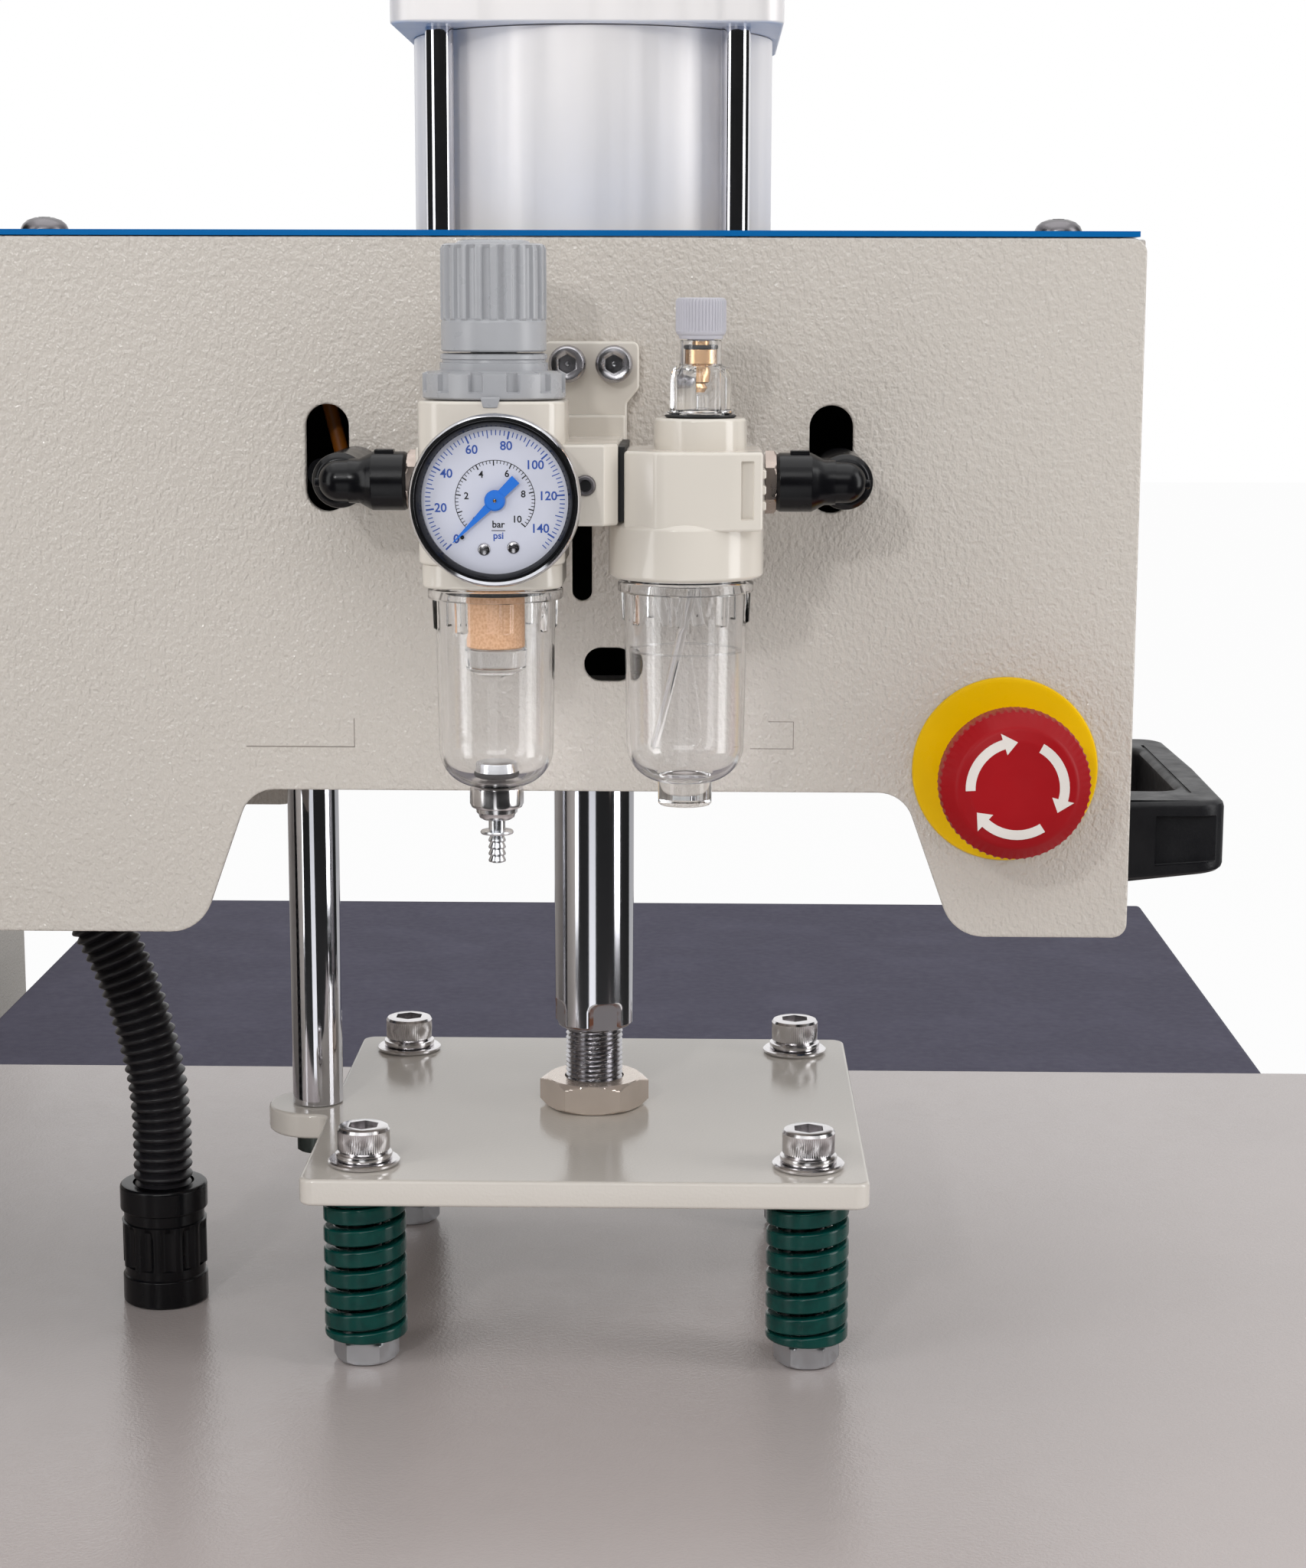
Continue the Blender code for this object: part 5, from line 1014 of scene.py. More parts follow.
def makeRod():
    low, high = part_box("piston_rod")
    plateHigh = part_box("mount_plate")[1].z
    shoulder = plateHigh + 0.0265
    flatTop = shoulder + 0.009
    radius = rodSet["radius"]
    turn = math.radians(rodSet["flatTurn"]) - math.pi / 2

    def flatted(angle, reach, height):
        if height > flatTop:
            return reach
        share = max(0, (height - flatTop + 0.003) / 0.003)
        distance = rodSet["flats"] / 2 + (radius - rodSet["flats"] / 2) * (
            1 - math.sqrt(max(0, 1 - share**2))
        )
        off = (angle - turn + math.pi / 4) % (math.pi / 2) - math.pi / 4
        return min(reach, distance / math.cos(off))

    rod = Piece("rod")
    profile = [
        (0, shoulder), (radius - 0.0012, shoulder), (radius, shoulder + 0.0012), (radius, shoulder + 0.004)
    ]
    profile += [(radius, flatTop - 0.003 + 0.0003 * step) for step in range(11)]
    profile += [
        (radius, flatTop + 0.0001), (radius, high.z - 0.025), (0.0499, high.z - 0.025), (0.0499, high.z),
        (0, high.z),
    ]
    rod.lathe(profile, rodChrome, (axis.x, axis.y, 0), steps=144, cut=flatted)
    rows, steps = [], 48
    count = int((shoulder - low.z) / rodSet["pitch"] * 8)
    for row in range(count + 1):
        z = low.z + (shoulder + 0.0004 - low.z) * row / count
        points = []
        for step in range(steps):
            angle = fullTurn * step / steps
            wave = (z / rodSet["pitch"] - step / steps) % 1
            reach = rodSet["thread"] - rodSet["threadDepth"] * abs(2 * wave - 1)
            points.append((axis.x + reach * math.cos(angle), axis.y + reach * math.sin(angle), z))
        rows.append(points)
    rod.skin([[(axis.x, axis.y, low.z)], *rows, [(axis.x, axis.y, shoulder + 0.0004)]], steel)
    rod.done("press", ["piston_rod"], "chrome", 30)
    nut = Piece("rod_lock_nut")
    base = plateHigh + 0.0003
    corner = 0.015 / math.cos(math.pi / 6)
    slope = [(0.0147 + (corner + 0.0002 - 0.0147) * step / 5, 0.0015 * step / 5) for step in range(6)]
    profile = [
        (0.0094, 0.0092), *[(reach, 0.0092 - drop) for reach, drop in slope],
        *[(reach, drop) for reach, drop in reversed(slope)], (0.0094, 0.0),
    ]
    nut.lathe(profile, nickel, (axis.x, axis.y, base), steps=96, cut=hexed(0.03, math.pi / 2), loop=True)
    nut.done("press", ["rod_nut"], "nickel", 25)


makeRod()

mountSet = {"edge": 0.0011, "size": 0.0835, "corner": 0.0045}


def makeMountPlate():
    low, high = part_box("mount_plate")
    half, corner = mountSet["size"], mountSet["corner"]
    left, ear, guide = axis.x - half, 0.0155, 0.0115
    corners = [
        (left, axis.y - half, corner), (axis.x + half, axis.y - half, corner),
        (axis.x + half, axis.y + half, corner),
    ]
    corners += [
        (left, axis.y + half, corner), (left, axis.y + ear, 0.004), (guide - ear, axis.y + ear, ear - 0.0003)
    ]
    corners += [(guide - ear, axis.y - ear, ear - 0.0003), (left, axis.y - ear, 0.004)]
    holes = [ring(axis.x, axis.y, 0.0094), ring(guide, axis.y, 0.0053, 24)]
    holes += [
        ring(axis.x + x * boltSpread, axis.y + y * boltSpread, 0.0054, 24)
        for x in (-1, 1)
        for y in (-1, 1)
    ]
    plate = Piece("mount_plate_gloss")
    plate.slab(
        [eased(corners, steps=10), *holes], high.z - low.z, plateGloss, (0, 0, (low.z + high.z) / 2),
        edge=mountSet["edge"],
    )
    plate.done("press", ["mount_plate"], "plate_paint")
    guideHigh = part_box("guide_rod")[1]
    rod = Piece("guide")
    place = (guide, axis.y, 0)
    rod.turned([
        (0, guideHigh.z), (0.008, guideHigh.z, 0.0012), (0.008, high.z + 0.0003, 0.0004),
        (0.005, high.z + 0.0003), (0.005, low.z - 0.0003), (0, low.z - 0.0003),
    ], chrome, place, steps=64)
    rod.lathe([
        (0, 0), (0.0062, 0), (0.0072, -0.0006), (0.0072, -0.0066), (0.0064, -0.0072), (0, -0.0072),
    ], greenSteel, (guide, axis.y, low.z - 0.0002), cut=hexed(0.013))
    rod.done("press", ["guide_rod"], "chrome")


makeMountPlate()
print("press plate and rods made")

# Sprung bolts, their nuts and the springs
boltSet = {"head": 0.0078, "knurls": 72, "socket": 0.0084, "washer": 0.0107}
springSet = {
    "turns": 7.66, "outer": 0.01235, "high": 0.0049, "wide": 0.0036, "round": 0.0008, "ground": 0.35,
    "endPitch": 0.0052,
}


def cornersOfFour():
    return [(axis.x + x * boltSpread, axis.y + y * boltSpread) for y in (-1, 1) for x in (-1, 1)]


def makeBolts():
    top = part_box("mount_plate")[1].z + 0.0003
    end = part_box("spring_bolt_1")[0].z
    head, socket = boltSet["head"], boltSet["socket"]
    knurl = ribbed(boltSet["knurls"], 0.00013, 0.0051, 0.0098)
    sixSides = hexed(socket)

    def cut(angle, radius, height):
        return sixSides(angle, radius, height) if radius < 0.006 and height > 0.005 else knurl(
            angle, radius, height
        )

    profile = [
        (0, 0.0066), (0.0048, 0.0066), (0.0048, 0.0112), (0.0056, 0.0114), (0.0066, 0.0114), (0.0073, 0.0111),
        (head, 0.0103),
    ]
    profile += [
        (head, 0.0098), (head, 0.0075), (head, 0.0052), (head, 0.0044), (head - 0.0004, 0.0038),
        (0.0078, 0.0036), (0.0084, 0.0033), (0.0085, 0.0026), (0.0084, 0.0017),
    ]
    profile += [
        (0.0078, 0.0014), (boltSet["washer"] - 0.0005, 0.0014), (boltSet["washer"], 0.001),
        (boltSet["washer"], 0.0004), (boltSet["washer"] - 0.0004, 0),
    ]
    profile += [(0.005, 0), (0.005, -0.0004), (0, -0.0004)]
    shank = [(0, -0.0002), (0.00495, -0.0002), (0.00495, end - top), (0, end - top)]
    nut = [
        (0.0053, 0.0072), (0.006, 0.0072), (0.0081, 0.0072), (0.0089, 0.0068), (0.0095, 0.0062),
        (0.00985, 0.0056),
    ]
    nut += [(0.00985, 0.0016), (0.0095, 0.001), (0.0089, 0.0004), (0.0081, 0.0), (0.0053, 0.0)]
    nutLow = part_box("spring_nut_1")[0].z
    bolts, nuts = Piece("sprung_bolts"), Piece("sprung_nuts")
    for x, y in cornersOfFour():
        bolts.lathe(profile, boltZinc, (x, y, top), steps=288, cut=cut)
        bolts.lathe(shank, darkSteel, (x, y, top), steps=32)
        nuts.lathe(nut, dullZinc, (x, y, nutLow), steps=96, cut=hexed(0.017, math.pi / 2), loop=True)
    bolts.done("platen", fourOf("spring_bolt"), "chrome", 30)
    nuts.done("platen", fourOf("spring_nut"), "zinc", 25)


def makeSprings():
    low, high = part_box("spring_1")
    turns, wire = springSet["turns"], springSet["high"]
    hidden = springSet["ground"] * wire  # how far the wire's middle starts outside the spring's ends
    span = high.z - low.z + 2 * hidden
    openPitch = (span - 2 * springSet["endPitch"]) / (turns - 2)
    radius = springSet["outer"] - springSet["wide"] / 2
    count = int(turns * 40)
    halfWide = springSet["wide"] / 2
    springs = Piece("springs")
    for x, y in cornersOfFour():
        points, outward = [], []
        for index in range(count + 1):
            turn = turns * index / count
            first, final = min(turn, 1), max(turn - turns + 1, 0)
            rise = (first + final) * springSet["endPitch"] + (turn - first - final) * openPitch
            out = Vector((-math.sin(fullTurn * turn), math.cos(fullTurn * turn), 0))
            outward.append(out)
            points.append(Vector((x, y, low.z - hidden + rise)) + out * radius)

        def taper(index):  # the end turns are ground flat
            under = max(-wire / 2, low.z - points[index].z)
            over = min(wire / 2, high.z - points[index].z)
            corner = min(springSet["round"], (over - under) * 0.4)
            corners = [
                (-over, -halfWide, corner), (-under, -halfWide, corner), (-under, halfWide, corner),
                (-over, halfWide, corner),
            ]
            return eased(corners, steps=4)

        springs.sweep(points, taper, springGreen, lambda index: outward[index])
    made = springs.done(None, fourOf("spring"), "spring_green")
    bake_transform(made)


makeBolts()
makeSprings()
print("bolts and springs made")

# Platen cover, connector and conduit
coverCorner = 0.005
conduitSet = {
    "start": 0.3283,
    "end": 0.4807,
    "depth": -0.355,
    "offset": -0.136,
    "reach": 0.044,
    "ribPitch": 0.00327,
    "crest": 0.00925,
    "root": 0.0077,
}


def makeCover():
    low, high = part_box("platen_cover")
    cover = Piece("cover")
    outer = rectangle(low.x, low.y, high.x, high.y, coverCorner)
    holes = [ring(x, y, 0.0056, 24) for x, y in cornersOfFour()]
    cover.slab([outer, *holes], 0.002, coverPaint, (0, 0, high.z - 0.001), edge=0.0008)
    inner = [
        point + (Vector(((low.x + high.x) / 2, (low.y + high.y) / 2)) - point).normalized() * 0.0022
        for point in outer
    ]
    cover.slab(
        [outer, inner], high.z - low.z - 0.0004, coverPaint, (0, 0, (low.z + high.z) / 2 - 0.0002),
        edge=0.0004,
    )
    cover.done("platen", ["platen_cover"], "cover_paint")
    screws = Piece("cover_side_screws")
    for x in (-0.2, 0.0, 0.2):
        place = ((low.x + high.x) / 2 + x, low.y, high.z - 0.018)
        screws.turned([
            (0, 0.0008), (0.0018, 0.0008), (0.002, 0.0021), (0.0036, 0.0018, 0.0008), (0.0042, 0), (0, 0),
        ], darkSteel, place, "near", 24)
    screws.done("platen")


def conduitRoute():
    bottom, top, depth, reach = (conduitSet[name] for name in ("start", "end", "depth", "reach"))
    rise, x = top - bottom, axis.x + conduitSet["offset"]
    shares = [
        (0, 0), (0.12, 0), (0.24, 0.04), (0.38, 0.16), (0.51, 0.34), (0.64, 0.6), (0.76, 0.86), (0.88, 1),
        (1, 1),
    ]
    places = [Vector((x - across * reach, depth, bottom + up * rise)) for up, across in shares]
    points = [Vector((x, depth, bottom - 0.0078)), places[0]]
    for a, b, c, d in zip(places, places[1:], places[2:], places[3:]):
        for step in range(24):
            t = step / 24
            bend = (a * 2 - b * 5 + c * 4 - d) * t**2 + (b * 3 - a - c * 3 + d) * t**3
            points.append((b * 2 + (c - a) * t + bend) / 2)
    return points + [places[-2], Vector((places[-1].x, depth, top))]


def walked(points, spacing):
    made, carried = [points[0]], 0.0
    for start, end in zip(points, points[1:]):
        run = (end - start).length
        along = spacing - carried
        while along <= run:
            made.append(start.lerp(end, along / run))
            along += spacing
        carried = (carried + run) % spacing
    return made


def makeConduit():
    pitch, crest, root, depth = (conduitSet[name] for name in ("ribPitch", "crest", "root", "depth"))
    points = walked(conduitRoute(), pitch / 8)
    hose = Piece("conduit_hose")

    def radius(index):
        wave = 0.5 + 0.5 * math.cos(fullTurn * index / 8)
        return root + (crest - root) * wave**0.6

    hose.tube(points, radius, hoseBlack, 32)
    made = hose.done(None, ["conduit"], "black_plastic", 60)
    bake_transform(made)
    low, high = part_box("conduit_connector")
    place = ((low.x + high.x) / 2, (low.y + high.y) / 2, low.z)
    connector = Piece("connector")
    slots = ribbed(12, 0.0014, 0.012, 0.0262, 0.4)
    wall = eased([
        (0.0062, 0.0), (0.0133, 0.0, 0.0006), (0.0133, 0.0085, 0.0004), (0.0126, 0.009), (0.0126, 0.0118),
    ], False, 3)
    wall += [Vector((0.0133, 0.012 + 0.0142 * step / 8)) for step in range(9)]
    wall += eased([
        (0.0126, 0.0264), (0.0126, 0.0296), (0.0137, 0.0302, 0.0005), (0.0137, 0.0382, 0.0012),
        (0.0096, 0.0382), (0.0096, 0.0112), (0.0062, 0.0095),
    ], False, 3)
    connector.lathe(wall, fittingBlack, place, steps=144, cut=slots, loop=True)
    connector.done("platen", ["conduit_connector"], "black_plastic", 30)


makeCover()
makeConduit()
print("cover and conduit made")

# Front handle
handleSet = {"edge": 0.0024, "lean": 0.0035, "panel": 0.0022}


def makeHandle():
    low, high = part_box("front_handle")
    middleZ = (low.z + high.z) / 2
    grip, inner = high.x, high.x - 0.0125
    outline = [
        (low.x, low.y, 0.001), (grip - 0.001, low.y, 0.009), (grip, axis.y, 0.08),
        (grip - 0.001, high.y, 0.009), (low.x, high.y, 0.001),
    ]
    outline += [
        (low.x, high.y - 0.0205, 0.001), (inner, high.y - 0.0205, 0.007), (inner, low.y + 0.0205, 0.007),
        (low.x, low.y + 0.0205, 0.001),
    ]
    handle = Piece("pull_handle")
    handle.slab(
        [eased(outline, steps=8)], high.z - low.z, handleBlack, (0, 0, middleZ), edge=handleSet["edge"]
    )
    panels = []
    for y, way in ((low.y, 1), (high.y, -1)):
        panel = Piece("panel_cut")
        start, stop = sorted((y - way * 0.002, y + way * handleSet["panel"]))
        panel.block(
            (low.x + 0.0137, start, low.z + 0.0043), (grip - 0.0022, stop, high.z - 0.0042), handleBlack,
            0.0003, 1,
        )
        panels.append(panel)
    groove = Piece("groove_cut")
    groove.block(
        (inner + 0.0024, low.y + 0.016, high.z - 0.0006), (inner + 0.0034, high.y - 0.016, high.z + 0.001),
        handleBlack, 0.0002, 1,
    )
    handle.carved([*panels, groove])
    reach = grip - low.x

    def leaned(co):  # the underside rises towards the grip
        share = max(0, (middleZ + 0.004 - co.z) / 0.016)
        return Vector((co.x, co.y, co.z + handleSet["lean"] * share * (co.x - low.x) / reach))

    handle.bent(leaned)
    handle.done("head", ["front_handle"], "black_plastic", 30)


makeHandle()

# Emergency stop
stopSet = {"disc": 0.0255, "cap": 0.0203, "teeth": 62, "arrowRadius": 0.0124, "arrowWidth": 0.0026}
stopPlace = Vector((stopX, -0.445, stopHeight))


def arrow(start, sweep, radius, width):  # a bent arrow that runs clockwise, as a closed outline
    outer, inner, steps = [], [], 14
    for step in range(steps + 1):
        angle = math.radians(start - sweep * step / steps)
        outer.append(Vector((math.cos(angle), math.sin(angle))) * (radius + width / 2))
        inner.append(Vector((math.cos(angle), math.sin(angle))) * (radius - width / 2))
    end = math.radians(start - sweep)
    point = math.radians(start - sweep - 17)
    barbs = [Vector((math.cos(end), math.sin(end))) * (radius + way * width) for way in (1.15, -1.15)]
    tip = Vector((math.cos(point), math.sin(point))) * radius
    return [*outer, barbs[0], tip, barbs[1], *reversed(inner)]


def makeStop():
    disc = Piece("stop_disc")
    profile = [
        (0, 0.014), (0.0132, 0.014), (0.0135, 0.0137), (0.0135, 0.0019), (0.024, 0.0019), (0.0251, 0.0016),
        (stopSet["disc"], 0.001), (stopSet["disc"], 0.0003), (0.011, 0.0003),
    ]
    disc.lathe(profile, stopYellow, stopPlace, "near", 96)
    disc.drum(0.011, 0.0004, -0.045, fittingBlack, stopPlace, "near")
    disc.turned([
        (0.0112, -0.0036), (0.0145, -0.0036, 0.0004), (0.0145, -0.0096, 0.0004), (0.0112, -0.0096),
    ], knobGrey, stopPlace, "near", 60, ribbed(20, 0.0008, -0.009, -0.004), True)
    disc.done("head", ["estop_plate"], "stop_yellow")
    stem = Piece("stop_stem_core")
    low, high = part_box("estop_stem")
    face = stopPlace.y
    stem.turned([
        (0, face - low.y), (0.0045, face - low.y), (0.0045, face - low.y - 0.003),
        (0.0068, face - low.y - 0.003, 0.0004), (0.0068, face - high.y, 0.0004), (0, face - high.y),
    ], fittingBlack, stopPlace, "near", 32)
    stem.done("stop_stem", ["estop_stem"], "black_plastic")
    capLow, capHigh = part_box("estop_cap")
    crown, skirt = face - capLow.y, face - capHigh.y
    radius = stopSet["cap"]
    cap = Piece("stop_mushroom")
    profile = eased([
        (0, crown - 0.0004), (0.0125, crown - 0.0002, 0.004), (radius - 0.0042, crown - 0.0012, 0.003),
        (radius - 0.0006, crown - 0.0052, 0.003),
    ], False, 4)
    profile += [
        Vector((radius, crown - 0.0066)), Vector((radius, crown - 0.0085)), Vector((radius, crown - 0.012)),
        Vector((radius - 0.0003, crown - 0.0132)),
    ]
    profile += eased([
        (radius - 0.0016, crown - 0.0142), (0.0185, skirt, 0.0006), (0.0148, skirt), (0.0148, skirt + 0.0057),
        (0, skirt + 0.0057),
    ], False)
    teeth = ribbed(stopSet["teeth"], 0.0005, crown - 0.0125, crown - 0.0062)
    cap.lathe(profile, stopRed, stopPlace, "near", 372, teeth)
    for start in (-177, -299, -57):
        shape = arrow(start, 75, stopSet["arrowRadius"], stopSet["arrowWidth"])
        cap.slab([shape], 0.0003, softWhite, stopPlace + Vector((0, -crown + 0.00035, 0)), "near", 0.00005)
    cap.done("stop_cap", ["estop_cap"], "stop_red", 30)


makeStop()
print("handle and stop made")

# Air service unit: bracket and regulator
unitSet = {"corner": 0.0085, "half": 0.0187, "ringNotches": 12, "knobRibs": 21}
regX, lubX = 0.07985, 0.12935
domeX = lubX + 0.0036


def makeBracket():
    low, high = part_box("frl_bracket")
    face = -0.4453
    x, half = 0.1035, 0.0129
    top = high.z
    bracket = Piece("bracket")
    outline = [
        (x - half, top, 0.002), (x + half, top, 0.002), (x + half, top - 0.0125, 0.002),
        (x + half - 0.0033, top - 0.0165, 0.002), (x + half - 0.0033, low.z, 0.001),
    ]
    outline += [
        (x - half + 0.0033, low.z, 0.001), (x - half + 0.0033, top - 0.0165, 0.002),
        (x - half, top - 0.0125, 0.002),
    ]
    bracket.slab([eased(outline)], 0.004, enamel, (0, face - 0.002, 0), "near", 0.0007)
    bracket.block(
        (x - half + 0.0036, face - 0.0058, low.z), (x + half - 0.0036, face - 0.003, top - 0.0195), enamel,
        0.0008,
    )
    side, front = 0.1121, -0.4995
    outline = [
        (0.0975, front), (side - 0.0034, front, 0.0006), (side, front + 0.0044, 0.0006), (side, face - 0.003),
        (0.0975, face - 0.003),
    ]
    bracket.slab([eased(outline)], 0.0206, enamel, (0, 0, portHeight), edge=0.0008)
    bracket.block(
        (side - 0.0004, front + 0.0062, portHeight - 0.0095),
        (side + 0.0018, face - 0.006, portHeight + 0.0095), sealRubber, 0.0002, 1,
    )
    place = (0.104, front, portHeight)
    bracket.lathe([
        (0, 0.0002), (0.0015, 0.0002), (0.0016, 0.0009), (0.0022, 0.001), (0.0026, 0.0006), (0.0027, 0),
        (0, 0),
    ], darkSteel, place, "near", 48)
    bracket.drum(0.0014, 0.0004, 0.0002, sealRubber, place, "near", 18)
    for side in (-1, 1):
        place = (x + side * 0.00625, face - 0.004, top - 0.006)
        head = [
            (0, 0.0012), (0.0024, 0.0012), (0.0026, 0.0044), (0.0032, 0.0049), (0.0042, 0.005),
            (0.0048, 0.0044), (0.005, 0.0036), (0.005, 0.0), (0, 0.0),
        ]
        bracket.lathe(head, steel, place, "near", 48, socketOf(hexed(0.0046), 0.003))
        bracket.lathe([(0, 0.0016), (0.0006, 0.0015), (0.0008, 0.0012), (0, 0.0012)], zinc, place, "near", 20)
    bracket.done("head", ["frl_bracket"], "cream_body")


def squareOutline(half, deep):
    x, y, corner = regX, serviceDepth, unitSet["corner"]
    return rectangle(x - half, y - deep, x + half, y + deep, corner, 8)


def makeRegulator():
    low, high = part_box("reg_body")
    y, half = serviceDepth, unitSet["half"]
    body = Piece("regulator_body")
    body.slab(
        [squareOutline(half, 0.0193)], high.z - low.z - 0.0062, enamel, (0, 0, (high.z + low.z + 0.0062) / 2),
        edge=0.0008,
    )
    body.slab([squareOutline(half - 0.0007, 0.0184)], 0.0066, enamel, (0, 0, low.z + 0.0033), edge=0.0009)
    body.block(
        (regX - 0.0196, y - 0.0092, portHeight - 0.0092), (regX + 0.0196, y + 0.0092, portHeight + 0.0092),
        enamel, 0.0009,
    )
    body.turned([
        (0, 0.0193), (0.0075, 0.0193, 0.0005), (0.0085, 0.0178), (0, 0.0178),
    ], enamel, (regX + 0.0022, y - 0.0012, portHeight - 0.003), "near")
    body.done("head", ["reg_body"], "cream_body")
    bonnet = Piece("regulator_ring")
    base = high.z + 0.0003
    notches = unitSet["ringNotches"]

    def castellated(angle, radius, height):
        if radius < 0.0178 or not 0.0018 < height < 0.0066:
            return radius
        off = abs(((angle + math.radians(100.4)) * notches / fullTurn + 0.5) % 1 - 0.5)
        return radius - (0.0013 if off < 0.19 else 0)

    profile = [
        (0, 0.0174), (0.006, 0.0174), (0.006, 0.0114), (0.0131, 0.0114), (0.0137, 0.0111), (0.0137, 0.0101),
        (0.0132, 0.0098), (0.0133, 0.0092), (0.0139, 0.009), (0.0139, 0.0071), (0.0173, 0.0068),
    ]
    profile += [
        (0.0184, 0.0063), (0.0184, 0.006), (0.0184, 0.0021), (0.0184, 0.0016), (0.0184, 0.0004), (0.018, 0),
        (0, 0),
    ]
    bonnet.lathe(profile, knobGrey, (regX, y, base), steps=240, cut=castellated)
    tongue = eased(
        [
            (regX - 0.0021, base + 0.0008, 0.0004), (regX + 0.0029, base + 0.0008, 0.0004),
            (regX + 0.0022, base - 0.0019, 0.0005), (regX - 0.0014, base - 0.0019, 0.0005),
        ]
    )
    bonnet.slab([tongue], 0.0012, knobGrey, (0, y - 0.0191, 0), "near", 0.0003)
    bonnet.done("head", ["reg_bonnet"], "grey_plastic", 30)
    knobLow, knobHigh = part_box("reg_knob")
    tall = knobHigh.z - knobLow.z
    grip = ribbed(unitSet["knobRibs"], 0.0011, 0.0082, tall - 0.0018, 0.22)
    knob = Piece("regulator_knob")
    profile = [
        (0, 0.0), (0.013, 0.0), (0.0135, 0.0004), (0.0135, 0.0072), (0.0132, 0.0078), (0.0136, 0.0083),
        (0.0136, 0.012), (0.0136, 0.018), (0.01355, tall - 0.0024),
    ]
    profile += [
        (0.0131, tall - 0.0015), (0.0124, tall - 0.0011), (0.0095, tall - 0.001), (0.0089, tall - 0.0004),
        (0.0074, tall - 0.0001), (0.004, tall), (0, tall),
    ]
    knob.lathe(profile, knobGrey, (regX, y, knobLow.z), steps=336, cut=grip)
    knob.done("pressure_knob", ["reg_knob"], "grey_plastic", 30)


makeBracket()
makeRegulator()
print("regulator made")

# Pressure gauge
gaugeSet = {
    "radius": 0.0215,
    "dial": 0.0183,
    "outerScale": 147.0,
    "innerScale": 10.15,
    "start": 225,
    "sweep": 270,
    "ink": 0.00008,
    "largeText": 0.0031,
    "smallText": 0.0024,
}
gaugePlace = Vector((0.08205, -0.5018, 0.5535))


